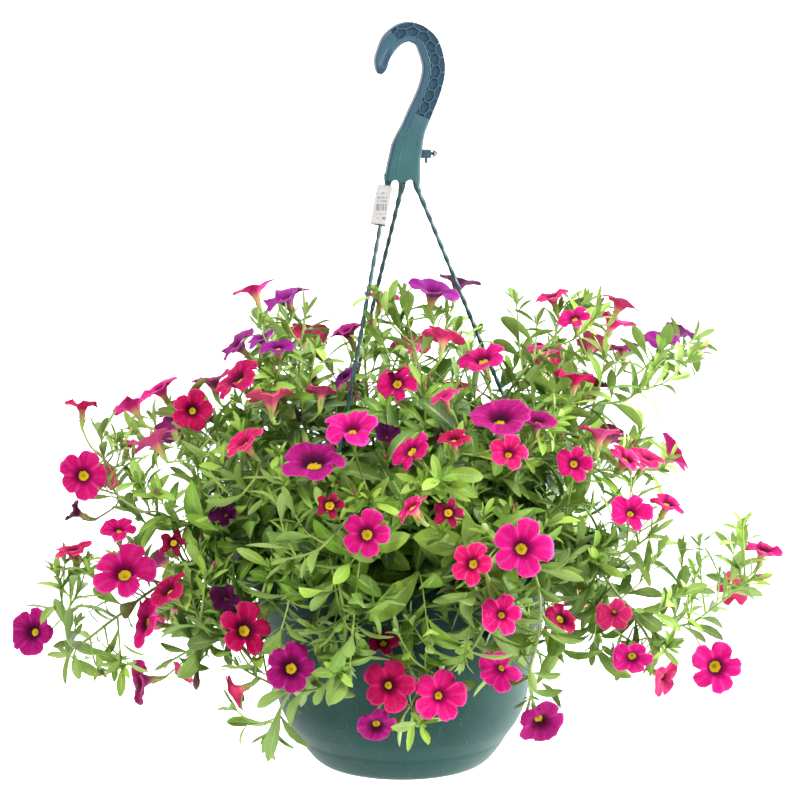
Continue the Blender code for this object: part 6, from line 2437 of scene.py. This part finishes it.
@dataclass
class Strands:
    """The three twisted strands with the clips that straddle the lip."""

    radius: float = 0.00155
    lobe: float = 0.16
    pitch: float = 0.0115
    step: float = 0.0016
    sides: int = 14
    flare: float = 0.012
    clip_width: float = 0.008
    clip_edge: float = 0.00045
    clip_outline: tuple[Span, ...] = (
        (0.1221, 0.1520), (0.1241, 0.1520), (0.1247, 0.1623), (0.1284, 0.1623), (0.1284, 0.1500),
        (0.1314, 0.1510), (0.1308, 0.1649), (0.1221, 0.1649),
    )

    def path(self, name: str, step: float) -> list[Vector]:
        """Draws a strand's centre line.

        Args:
            name: the strand's name.
            step: how far apart its points are.

        Returns:
            The points, from the plate to the rim.
        """
        azimuth = math.radians(STRAND_AZIMUTHS[name])
        out = Vector((math.cos(azimuth), math.sin(azimuth), 0.0))
        top = hook_point(STRAND_ROOTS[name], STRAND_TOP)
        foot = out * STRAND_FOOT[0] + UP * STRAND_FOOT[1]
        bends = [top.lerp(foot, share) + out * swell for share, swell in STRAND_BENDS[name]]
        return smooth_route([top, top - UP * STRAND_LEAD, *bends, foot], step)

    def build(self, name: str, finish: bpy.types.Material) -> None:
        """Builds one strand and its clip.

        Args:
            name: the strand's name.
            finish: its material.
        """
        path = self.path(name, self.step)
        form = sleeve(self.sides, len(path))
        line = np.array([tuple(point) for point in path])
        along = np.concatenate([[0.0], np.cumsum(np.linalg.norm(np.diff(line, axis=0), axis=1))])
        across, other = Sheet.twist_free(path)
        angle = form.side * TAU / self.sides
        gone = along[form.ring]
        left = along[-1] - gone
        swell = 1.0 + 0.8 * np.exp(-gone / self.flare * 1.6) + 0.5 * np.exp(-left / self.flare * 2.0)
        ripple = self.lobe * np.clip(gone / 0.01, 0.0, 1.0)
        reach = self.radius * swell * (1.0 + ripple * np.cos(2.0 * angle - gone * TAU / self.pitch))
        points = line[form.ring] + (across[form.ring] * np.cos(angle)[:, None]
                                    + other[form.ring] * np.sin(angle)[:, None]) * reach[:, None]
        sheet = Sheet()
        sheet.add(form, points, np.array((0.1, 0.2, 0.2)), np.array((0.5, 0.5, 0.0, 0.5)))
        cord = sheet.build("cord", finish, 50.0)
        shape = bmesh.new()
        shape.from_mesh(cord.data)
        bpy.data.objects.remove(cord, do_unlink=True)
        self.clip(shape, math.radians(STRAND_AZIMUTHS[name]))
        dressed(finished(f"strand_{name}", shape, finish, 45.0), "hanger_plastic", f"hanger_strand_{name}")

    def clip(self, shape: bmesh.types.BMesh, azimuth: float) -> None:
        """Adds the rounded clip at a strand's foot.

        Args:
            shape: the strand's mesh.
            azimuth: where the clip stands on the rim.
        """
        turn = Matrix.Rotation(azimuth, 3, "Z")
        near = -self.clip_width / 2.0
        corners = [shape.verts.new(turn @ Vector((x, near, z))) for x, z in self.clip_outline]
        face = shape.faces.new(corners)
        made = bmesh.ops.extrude_face_region(shape, geom=[face], use_keep_orig=True)
        verts = [item for item in made["geom"] if isinstance(item, bmesh.types.BMVert)]
        bmesh.ops.translate(shape, verts=verts, vec=turn @ Vector((0.0, self.clip_width, 0.0)))
        edges = list({edge for vertex in [*corners, *verts] for edge in vertex.link_edges})
        bmesh.ops.bevel(shape, geom=edges, offset=self.clip_edge, segments=2, profile=0.5, affect="EDGES",
                        material=-1)


# ---------------------------------------------------------------- the dressed plant


class LeafSpot(Enum):
    """Where a leaf grows, which sets its size and its age."""

    STEM = "stem"
    SHOOT = "shoot"
    TIP = "tip"
    CROWN = "crown"


@dataclass(frozen=True)
class LeafSizes:
    """The spans that a leaf's length, width share, lean and arch are drawn from."""

    length: Span
    width: Span
    lean: Span
    arch: Span


LEAF_SIZES = {
    LeafSpot.STEM: LeafSizes((0.024, 0.048), (0.20, 0.38), (0.55, 1.35), (0.05, 0.50)),
    LeafSpot.SHOOT: LeafSizes((0.018, 0.036), (0.19, 0.36), (0.45, 1.20), (0.0, 0.45)),
    LeafSpot.TIP: LeafSizes((0.010, 0.021), (0.18, 0.32), (0.20, 0.80), (-0.15, 0.30)),
    LeafSpot.CROWN: LeafSizes((0.031, 0.056), (0.29, 0.42), (0.70, 1.40), (0.10, 0.45)),
}


SLOTS = ("petal_magenta", "petal_pink", "petal_crimson", "petal_purple", "petal_violet")
PETAL_CORNER = 80.0
SMALL_LEAF_TRIES = ((0.0, 1.0), (0.7, 0.9), (-0.7, 0.8), (1.6, 0.7), (-1.6, 0.55))
FADED_STATIONS = (0.0, 0.003, 0.006, 0.009, 0.012, 0.014)
FADED_RADII = (0.0013, 0.0010, 0.0022, 0.0031, 0.0026, 0.0009)
FADED_DARK = shade(58, 24, 48)
FADED_PALE = shade(112, 70, 74)
BUD_STATIONS = (0.0, 0.0045, 0.0075, 0.0105)
BUD_COLOUR = shade(186, 70, 112)


@dataclass
class Foliage:
    """Draws the sprays finely and fills them out with smaller leaves and side shoots."""

    layout: Layout
    faces: dict[Bloom, Matrix]
    clear: Space
    low: Vector
    high: Vector
    leaf_gap: float = 0.0065
    shoot_gap: float = 0.0097
    faded_share: float = 0.45
    bud_share: float = 0.35
    fine_step: float = 0.006
    bare_tip_height: float = 0.26
    shoot_tries: int = 7
    shoot_length: Span = (0.024, 0.064)
    shoot_shrink: float = 0.84
    shoot_step: float = 0.007
    shoot_room: float = 0.0018
    shoot_limits: Span = (0.178, 0.248)
    faded_tries: int = 6
    faded_room: float = 0.0036
    crown_shoots: int = 90
    crown_reach: float = 0.098
    crown_height: Span = (0.05, 0.15)
    crown_step: float = 0.009
    skirt_shoots: int = 34
    skirt_tries: int = 12
    skirt_room: float = 0.0019
    skirt_drop: Span = (0.016, 0.052)
    skirt_reach: Span = (0.143, 0.168)
    skirt_rise: Span = (0.172, 0.200)
    skirt_youth: Span = (0.3, 0.7)
    leaves: int = 0

    def inside(self, point: Vector) -> bool:
        """Tells whether a point lies in the whole object's box."""
        return all(self.low[i] <= point[i] <= self.high[i] for i in range(3))

    def is_clear(self, path: list[Vector], radius: float) -> bool:
        """Tells whether a tube along a path touches nothing that leaves stay clear of."""
        return not self.clear.blocker("", tube(path, [radius] * len(path)))

    def try_leaf(self, sheet: Sheet, joint: Vector, way: Vector, angle: float, kind: LeafSpot, youth: float,
                 draw: random.Random, scale: float = 1.0) -> None:
        """Adds a small leaf where there is room for it.

        Args:
            sheet: where it goes.
            joint: where it leaves its stem.
            way: the stem's direction.
            angle: its angle about the stem.
            kind: where it grows.
            youth: its age, from 0, old, to 1, new.
            draw: the spray's own random draws.
            scale: a factor on its length.
        """
        sizes = LEAF_SIZES[kind]
        length = draw.uniform(*sizes.length) * scale
        lean, arch = draw.uniform(*sizes.lean), draw.uniform(*sizes.arch)
        share = draw.uniform(*sizes.width)
        for turn, shrink in SMALL_LEAF_TRIES:
            matrix = leaf_frame(joint, way, angle + turn, lean)
            size = length * shrink
            shape = leaf_shape(size, size * share, arch).moved(matrix)
            if all(self.inside(point) for point in shape.points) and not self.clear.blocker("", shape):
                add_leaf(sheet, Leaf(matrix, size, size * share, arch, youth), draw)
                self.leaves += 1
                return

    def dress_stem(self, sheet: Sheet, stem: Stem, draw: random.Random) -> None:
        """Adds a stem of the layout with its large leaves, its small ones, its side shoots and its tip.

        Args:
            sheet: where they go.
            stem: the stem.
            draw: the spray's own random draws.
        """
        path = smooth_route(stem.knots, self.fine_step)
        if path[-1].z > self.bare_tip_height and path[-1].z > path[-3].z:
            path = path[:-3]
        last = len(path) - 1
        sheet.add_tube(path, stem_radii(path), blend(WOODY, STEM_COLOUR, 0.88), 8)
        for leaf in stem.leaves:
            add_leaf(sheet, leaf, draw)
            self.leaves += 1
        ways = tangents(path)
        gone, next_leaf, next_shoot = 0.0, draw.uniform(0.002, 0.010), 0.03
        turn = draw.uniform(0.0, TAU)
        for index in range(1, last):
            gone += (path[index] - path[index - 1]).length
            point, share = path[index], index / last
            if in_soil(point):
                continue
            if gone > next_leaf:
                next_leaf = gone + self.leaf_gap * draw.uniform(0.7, 1.3)
                turn += PHYLLOTAXY + draw.uniform(-0.5, 0.5)
                youth, scale = 0.75 * share * share + 0.12, 1.05 - 0.35 * share
                self.try_leaf(sheet, point, ways[index], turn, LeafSpot.STEM, youth, draw, scale)
            if gone > next_shoot:
                next_shoot = gone + self.shoot_gap * draw.uniform(0.7, 1.4)
                self.side_shoot(sheet, point, ways[index], draw.uniform(0.0, TAU), share, path[-1], draw)
        self.tip(sheet, path[-1], ways[-1], 1.0, draw)
        if draw.random() < self.faded_share:
            spot = round(last * draw.uniform(0.35, 0.85))
            self.faded_bloom(sheet, path[spot], ways[spot], draw)

    def side_shoot(self, sheet: Sheet, joint: Vector, way: Vector, angle: float, share: float, tip: Vector,
                   draw: random.Random) -> None:
        """Adds a short leafy side shoot that bends up towards the light, where there is room for it.

        Args:
            sheet: where it goes.
            joint: where it leaves its stem.
            way: the stem's direction there.
            angle: its angle about the stem.
            share: how far along the stem it leaves.
            tip: the stem's tip, which it stays within where the tip is far out or high.
            draw: the spray's own random draws.
        """
        farthest = max(math.hypot(tip.x, tip.y), self.shoot_limits[0])
        highest = max(tip.z, self.shoot_limits[1]) + 0.002
        for attempt in range(self.shoot_tries):
            side = Quaternion(way, angle + attempt * 1.7) @ way.orthogonal().normalized()
            heading = (way * 0.45 + side * 0.8 + UP * 0.35).normalized()
            length = draw.uniform(*self.shoot_length) * (self.shoot_shrink ** attempt)
            path = smooth_route([joint, joint + heading * length * 0.5,
                                 joint + heading * length * 0.85 + UP * length * 0.25], self.shoot_step)
            if path[-1].z > highest or math.hypot(path[-1].x, path[-1].y) > farthest:
                continue
            if all(self.inside(point) for point in path) and self.is_clear(path, self.shoot_room):
                self.leafy_shoot(sheet, path, LeafSpot.SHOOT, 0.3 + 0.5 * share, draw)
                return

    def faded_bloom(self, sheet: Sheet, joint: Vector, way: Vector, draw: random.Random) -> None:
        """Adds a withered trumpet that hangs, dark and crumpled, from a short stalk.

        Args:
            sheet: where it goes.
            joint: where its stalk leaves the stem.
            way: the stem's direction.
            draw: the spray's own random draws.
        """
        for _ in range(self.faded_tries):
            side = Quaternion(way, draw.uniform(0.0, TAU)) @ way.orthogonal().normalized()
            stalk = [joint, joint + side * 0.007 + UP * 0.002, joint + side * 0.012 - UP * 0.004]
            body = [stalk[-1] + (side * 0.35 - UP) * reach for reach in FADED_STATIONS]
            if self.inside(body[-1]) and self.is_clear(body, self.faded_room):
                sheet.add_tube(stalk, [0.0008, 0.0008, 0.0010], STEM_COLOUR, 6)
                radii = [draw.uniform(0.8, 1.2) * radius for radius in FADED_RADII]
                sheet.add_tube(body, radii, blend(FADED_DARK, FADED_PALE, draw.random()), 5)
                return

    def leafy_shoot(self, sheet: Sheet, path: list[Vector], kind: LeafSpot, youth: float,
                    draw: random.Random) -> None:
        """Adds a thin shoot with leaves all along it and a tuft at its tip.

        Args:
            sheet: where it goes.
            path: its centre line.
            kind: where its leaves grow.
            youth: the age of its first leaf, from 0, old, to 1, new.
            draw: the spray's own random draws.
        """
        last = len(path) - 1
        sheet.add_tube(path, [0.0009 - 0.0003 * index / last for index in range(last + 1)], YOUNG_STEM, 6)
        ways = tangents(path)
        turn = draw.uniform(0.0, TAU)
        for index in range(1, last + 1):
            turn += PHYLLOTAXY + draw.uniform(-0.4, 0.4)
            self.try_leaf(sheet, path[index], ways[index], turn, kind, youth + 0.3 * index / last, draw,
                          1.1 - 0.3 * index / last)
        self.tip(sheet, path[-1], ways[-1], 0.8, draw)

    def tip(self, sheet: Sheet, joint: Vector, way: Vector, scale: float, draw: random.Random) -> None:
        """Adds the tuft of small new leaves at a stem's tip, and now and then a bud.

        Args:
            sheet: where it goes.
            joint: the stem's tip.
            way: the stem's direction there.
            scale: a factor on the leaves' length.
            draw: the spray's own random draws.
        """
        turn = draw.uniform(0.0, TAU)
        for index in range(draw.randint(6, 9)):
            turn += PHYLLOTAXY
            youth = draw.uniform(0.55, 1.0)
            self.try_leaf(sheet, joint - way * 0.0006 * index, way, turn, LeafSpot.TIP, youth, draw,
                          scale * (1.2 - 0.07 * index))
        if draw.random() < self.bud_share * scale:
            bud = [joint + way * reach for reach in BUD_STATIONS]
            if self.is_clear(bud, self.shoot_room) and self.inside(bud[-1]):
                sheet.add_tube(bud[:3], [0.0007, 0.0017, 0.0012], YOUNG_STEM, 6)
                sheet.add_tube(bud[1:], [0.0010, 0.0016, 0.0005], BUD_COLOUR, 6)

    def dress_stalk(self, sheet: Sheet, stalk: Stalk, draw: random.Random) -> None:
        """Adds a flower stalk, widening to the calyx, and its sepals.

        Args:
            sheet: where they go.
            stalk: the stalk.
            draw: the spray's own random draws.
        """
        *route, top = stalk.knots
        path = [*smooth_route(route, 0.004), top]
        last = len(path) - 1
        radii = [STALK_RADIUS * 0.85] * (last - 1) + [STALK_RADIUS * 1.3, CALYX_RADIUS * 0.82]
        colour = blend(STEM_COLOUR, WOODY, 0.6) if stalk.bloom.colour == "dark" else YOUNG_STEM
        sheet.add_tube(path, radii, colour, 7)
        add_sepals(sheet, stalk.bloom, self.faces[stalk.bloom], draw)

    def dress_spray(self, spray: Spray, leaf: bpy.types.Material,
                    petals: dict[str, bpy.types.Material]) -> None:
        """Builds one spray's foliage, its small blooms and its large ones, each clear of the rest.

        Args:
            spray: the spray.
            leaf: the finish of its leaves and stems.
            petals: the finish of each kind of bloom.
        """
        draw = random.Random(f"{spray.name} fine")
        sheet = Sheet()
        for stem in (stem for stem in self.layout.stems if stem.owner == spray.name):
            self.dress_stem(sheet, stem, draw)
        for stalk in (stalk for stalk in self.layout.stalks if stalk.owner == spray.name):
            self.dress_stalk(sheet, stalk, draw)
        label = spray.name.removeprefix("spray_")
        dressed(sheet.build(f"foliage_{label}", leaf), "foliage", spray.name)
        for kind in sorted({bloom.colour for bloom in spray.blooms if not bloom.node}):
            flowers = Sheet()
            for index, bloom in enumerate(spray.blooms):
                if bloom.colour == kind and not bloom.node:
                    own_draw = random.Random(f"{spray.name} bloom {index}")
                    add_bloom(flowers, bloom, self.faces[bloom], own_draw, False)
            slot = f"petal_{kind}" if f"petal_{kind}" in SLOTS else "petal_magenta"
            piece = flowers.build(f"flowers_{label}_{kind}", petals[kind], PETAL_CORNER)
            dressed(piece, slot, spray.name)
        for bloom in (bloom for bloom in spray.blooms if bloom.node):
            flower = Sheet()
            add_bloom(flower, bloom, self.faces[bloom], random.Random(bloom.node), True)
            name = bloom.node.replace("bloom_", "flower_")
            piece = flower.build(name, petals[bloom.colour], PETAL_CORNER)
            dressed(piece, f"petal_{bloom.colour}", bloom.node)

    def crown(self, leaf: bpy.types.Material) -> None:
        """Fills the middle over the soil with upright shoots, whose leaves take the darkest, old green as
        painted shade.

        Args:
            leaf: the finish of their leaves and stems.
        """
        draw = random.Random("crown")
        sheet = Sheet()
        for index in range(self.crown_shoots):
            reach = self.crown_reach * math.sqrt((index + 0.5) / self.crown_shoots)
            angle = index * PHYLLOTAXY
            out = Vector((math.cos(angle), math.sin(angle), 0.0))
            foot = out * reach + UP * (SOIL_TOP - 0.004)
            height = draw.uniform(*self.crown_height) * (1.2 - reach * 4.5)
            top = foot + UP * height + out * height * draw.uniform(0.1, 0.6)
            path = smooth_route([foot, foot + UP * height * 0.5 + out * 0.004, top], self.crown_step)
            if self.is_clear(path[2:], self.shoot_room):
                # Painted shade: youth 0 gives these leaves the darkest, old green, so the middle over the
                # soil reads as shaded.
                self.leafy_shoot(sheet, path, LeafSpot.CROWN, 0.0, draw)
        dressed(sheet.build("foliage_crown", leaf), "foliage")
        self.skirt(leaf, draw)

    def skirt(self, leaf: bpy.types.Material, draw: random.Random) -> None:
        """Hangs shoots over the lip all round.

        Args:
            leaf: the finish of their leaves and stems.
            draw: the crown's random draws, which go on here.
        """
        sheet = Sheet()
        hung = 0
        for index in range(self.skirt_shoots):
            for _ in range(self.skirt_tries):
                angle = TAU * (index + draw.uniform(-0.4, 0.4)) / self.skirt_shoots
                path = self.over_lip(angle, draw)
                if self.is_clear(path[1:], self.skirt_room):
                    self.leafy_shoot(sheet, path, LeafSpot.CROWN, draw.uniform(*self.skirt_youth), draw)
                    hung += 1
                    break
        LOG.info("%d of %d shoots hang over the lip", hung, self.skirt_shoots)
        dressed(sheet.build("foliage_skirt", leaf), "foliage")

    def over_lip(self, angle: float, draw: random.Random) -> list[Vector]:
        """Draws a shoot that rises from the soil's edge, bends over the lip and hangs down.

        Args:
            angle: where its foot stands about the pot's axis.
            draw: the crown's random draws.

        Returns:
            The points of its path.
        """
        swing = draw.uniform(-0.35, 0.35)
        drop = draw.uniform(*self.skirt_drop)
        far = draw.uniform(*self.skirt_reach)
        rise = draw.uniform(*self.skirt_rise)

        def spot(turn: float, reach: float, height: float) -> Vector:
            """Returns a point at a turn from the shoot's foot."""
            return Vector((math.cos(angle + turn) * reach, math.sin(angle + turn) * reach, height))

        knots = [spot(0.0, 0.094, SOIL_TOP - 0.003), spot(swing * 0.2, 0.110, rise - 0.008),
                 spot(swing * 0.5, far - 0.012, rise), spot(swing * 0.8, far, RIM_HEIGHT - drop * 0.45),
                 spot(swing, far - 0.004 + draw.uniform(0.0, 0.014), RIM_HEIGHT - drop)]
        return smooth_route(knots, self.crown_step)


def node_shape(piece: bpy.types.Object) -> Shape:
    """Returns the shape of one of the frame's own solids."""
    return Shape([vertex.co.copy() for vertex in piece.data.vertices],
                 [tuple(face.vertices) for face in piece.data.polygons])


# ---------------------------------------------------------------- studio


@dataclass(frozen=True)
class Lamp:
    """One soft studio light."""

    name: str
    at: Place
    size: float
    power: float
    colour: Colour = (1.0, 1.0, 1.0)

    def hang(self, target: Vector) -> None:
        """Puts the light in the scene.

        Args:
            target: the point that it is turned to.
        """
        data = bpy.data.lights.new(self.name, "AREA")
        data.shape, data.size, data.energy, data.color = "DISK", self.size, self.power, self.colour
        lamp = bpy.data.objects.new(self.name, data)
        lamp.location = self.at
        lamp.rotation_euler = (target - Vector(self.at)).to_track_quat("-Z", "Y").to_euler()
        bpy.context.scene.collection.objects.link(lamp)


@dataclass(frozen=True)
class Studio:
    """The pale floor with its curved back, the lights and the camera."""

    target: Place = (0.0, 0.0, 0.28)
    distance: float = 2.05
    pitch: float = math.radians(10.0)
    lens: float = 121.4
    shift: float = -0.0025
    floor: float = -0.25
    half_width: float = 6.0
    front: float = -5.0
    bend_start: float = 0.75
    bend: float = 1.5
    wall_top: float = 5.0
    daylight: float = 0.18
    lamps: tuple[Lamp, ...] = (
        Lamp("key_light", (-1.3, -2.2, 3.0), 1.1, 134.0),
        Lamp("fill_light", (2.9, -0.5, 1.1), 1.7, 128.0),
        Lamp("top_light", (0.3, 0.4, 3.2), 1.6, 40.0),
        Lamp("edge_light", (2.3, 1.1, 0.4), 1.2, 84.0),
    )

    def build(self) -> None:
        """Builds the floor, the lights, the world and the camera."""
        target = Vector(self.target)
        for lamp in self.lamps:
            lamp.hang(target)
        world = bpy.data.worlds.new("studio")
        world.use_nodes = True
        sky = world.node_tree.nodes["Background"]
        sky.inputs["Color"].default_value = (1.0, 1.0, 1.0, 1.0)
        sky.inputs["Strength"].default_value = self.daylight
        scene = bpy.context.scene
        scene.world = world
        scene.view_settings.view_transform = "Standard"
        sweep = [(self.bend_start + self.bend * math.sin(turn), self.bend - self.bend * math.cos(turn))
                 for turn in (math.radians(7.5 * step) for step in range(13))]
        wall = (self.bend_start + self.bend, self.wall_top)
        self.sheet("studio_floor", [(self.front, 0.0), (self.bend_start, 0.0)], 0.0)
        self.sheet("studio_backdrop", [*sweep, wall], 0.85)
        data = bpy.data.cameras.new("view")
        data.lens, data.sensor_width, data.shift_x = self.lens, 36.0, self.shift
        camera = bpy.data.objects.new("view", data)
        camera.location = target + Vector((0.0, -math.cos(self.pitch), math.sin(self.pitch))) * self.distance
        camera.rotation_euler = (math.pi / 2.0 - self.pitch, 0.0, 0.0)
        scene.collection.objects.link(camera)
        scene.camera = camera

    def sheet(self, name: str, rows: list[Span], glow: float) -> None:
        """Stretches a wide pale sheet through a line of (depth, height above the floor) points.

        Args:
            name: the sheet's name.
            rows: the line.
            glow: how strongly it is lit from behind.
        """
        shape = bmesh.new()
        chain = [shape.verts.new((-self.half_width, y, self.floor + z)) for y, z in rows]
        edges = [shape.edges.new(pair) for pair in zip(chain, chain[1:])]
        made = bmesh.ops.extrude_edge_only(shape, edges=edges)
        verts = [item for item in made["geom"] if isinstance(item, bmesh.types.BMVert)]
        bmesh.ops.translate(shape, verts=verts, vec=(2.0 * self.half_width, 0.0, 0.0))
        finish = Finish(f"{name}_paper", 0.9, Emission_Strength=glow)
        finish.set("Base Color", (0.90, 0.90, 0.90))
        finish.set("Emission Color", (1.0, 1.0, 1.0))
        finished(name, shape, finish.material, 60.0)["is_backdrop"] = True


# ---------------------------------------------------------------- the whole


DULL_KINDS = ("dark", "dusty")
AIR_SPAN = (0.002, 0.020)
BOX_MARGIN = Vector((0.008, 0.008, 0.0))


def blockers(nodes: dict[str, bpy.types.Object]) -> Space:
    """Collects the hard parts that the plant stays clear of.

    Args:
        nodes: the frame's nodes by name.

    Returns:
        A space that holds the pot, the soil, the hanger and the label.
    """
    space = Space()
    strands = [f"hanger_strand_{name}" for name in STRAND_ROOTS]
    for name in ("pot", "potting_soil", "hanger_hook", *strands, "price_label"):
        space.take(name, node_shape(nodes[name]))
    return space


def room_for_leaves(nodes: dict[str, bpy.types.Object], faces: dict[Bloom, Matrix]) -> Space:
    """Collects what the added leaves stay clear of.

    Args:
        nodes: the frame's nodes by name.
        faces: the frame of each bloom's face.

    Returns:
        A space that holds the hard parts, the blooms, and the air before the faces of all but the dull ones.
    """
    space = blockers(nodes)
    for bloom, frame in faces.items():
        width = bloom.width * MM
        space.take("bloom", bloom_shape(width * FACE_ROOM, bloom.tube_length).moved(frame))
        way, face = (frame.to_3x3() @ UP).normalized(), frame.translation
        if bloom.colour not in DULL_KINDS:
            ends = [face + way * AIR_SPAN[0], face + way * AIR_SPAN[1]]
            space.take("air", tube(ends, [width * 0.45, width * 0.40], 8))
    return space


def add_finishes() -> dict[str, bpy.types.Material]:
    """Makes the finishes of the pot, the soil, the hanger and the leaves.

    Returns:
        Each finish by the name of what it covers.
    """
    finishes = (
        ("pot", Plastic("pot_moulding", shade(18, 64, 59), shade(96, 136, 129), cloud=0.34, dust=0.5,
                        roughness=0.6, gloss=0.26, frost=0.16)),
        # The hook's bluer top is painted light, and its darker cell floors are painted shade.
        ("hook", Plastic("hanger_moulding", shade(50, 92, 92), shade(128, 150, 156), cloud=0.3, dust=0.2,
                         roughness=0.42, gloss=0.4, high_colour=shade(54, 86, 102), recess=0.0056)),
        # Painted shade: the strands take a darker copy of the hanger's plastic, standing in for the shade on
        # the thin twisted cords.
        ("strand", Plastic("strand_moulding_shaded", shade(30, 72, 74), shade(110, 136, 138), cloud=0.2, dust=0.12,
                           roughness=0.42, gloss=0.4)),
        ("leaf", Leafage()),
    )
    return {"soil": soil_finish(), **{name: finish.make() for name, finish in finishes}}


def main() -> None:
    """Builds the whole basket on its frame."""
    logging.basicConfig(level=logging.INFO, format="%(message)s")
    for item in list(bpy.data.objects):
        bpy.data.objects.remove(item, do_unlink=True)
    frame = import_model()
    cad_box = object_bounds()
    nodes = frame["nodes"]
    Studio().build()
    finishes = add_finishes()
    pot = Pot()
    pot.pot(finishes["pot"])
    pot.soil(finishes["soil"])
    Hook().build(finishes["hook"])
    for name in STRAND_AZIMUTHS:
        Strands().build(name, finishes["strand"])
    label = nodes["price_label"]
    label.data.materials.clear()
    label_low, label_high = (Vector(corner) for corner in Space.limits(node_shape(label)))
    label.data.materials.append(paper_finish(label_low, label_high))
    layout = Layout(blockers(nodes))
    layout.grow()
    LOG.info("%d stems, %d stalks, %d large leaves", len(layout.stems), len(layout.stalks),
             sum(len(stem.leaves) for stem in layout.stems))
    petals = {kind: petal_finish(kind) for kind in PETALS}
    low, high = (Vector(corner) for corner in cad_box)
    faces = settled_faces(layout, blockers(nodes))
    foliage = Foliage(layout, faces, room_for_leaves(nodes, faces), low - BOX_MARGIN, high + BOX_MARGIN)
    for spray in SPRAYS:
        foliage.dress_spray(spray, finishes["leaf"], petals)
    foliage.crown(finishes["leaf"])
    LOG.info("%d leaves", foliage.leaves)
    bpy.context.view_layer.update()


if __name__ == "__main__":
    main()
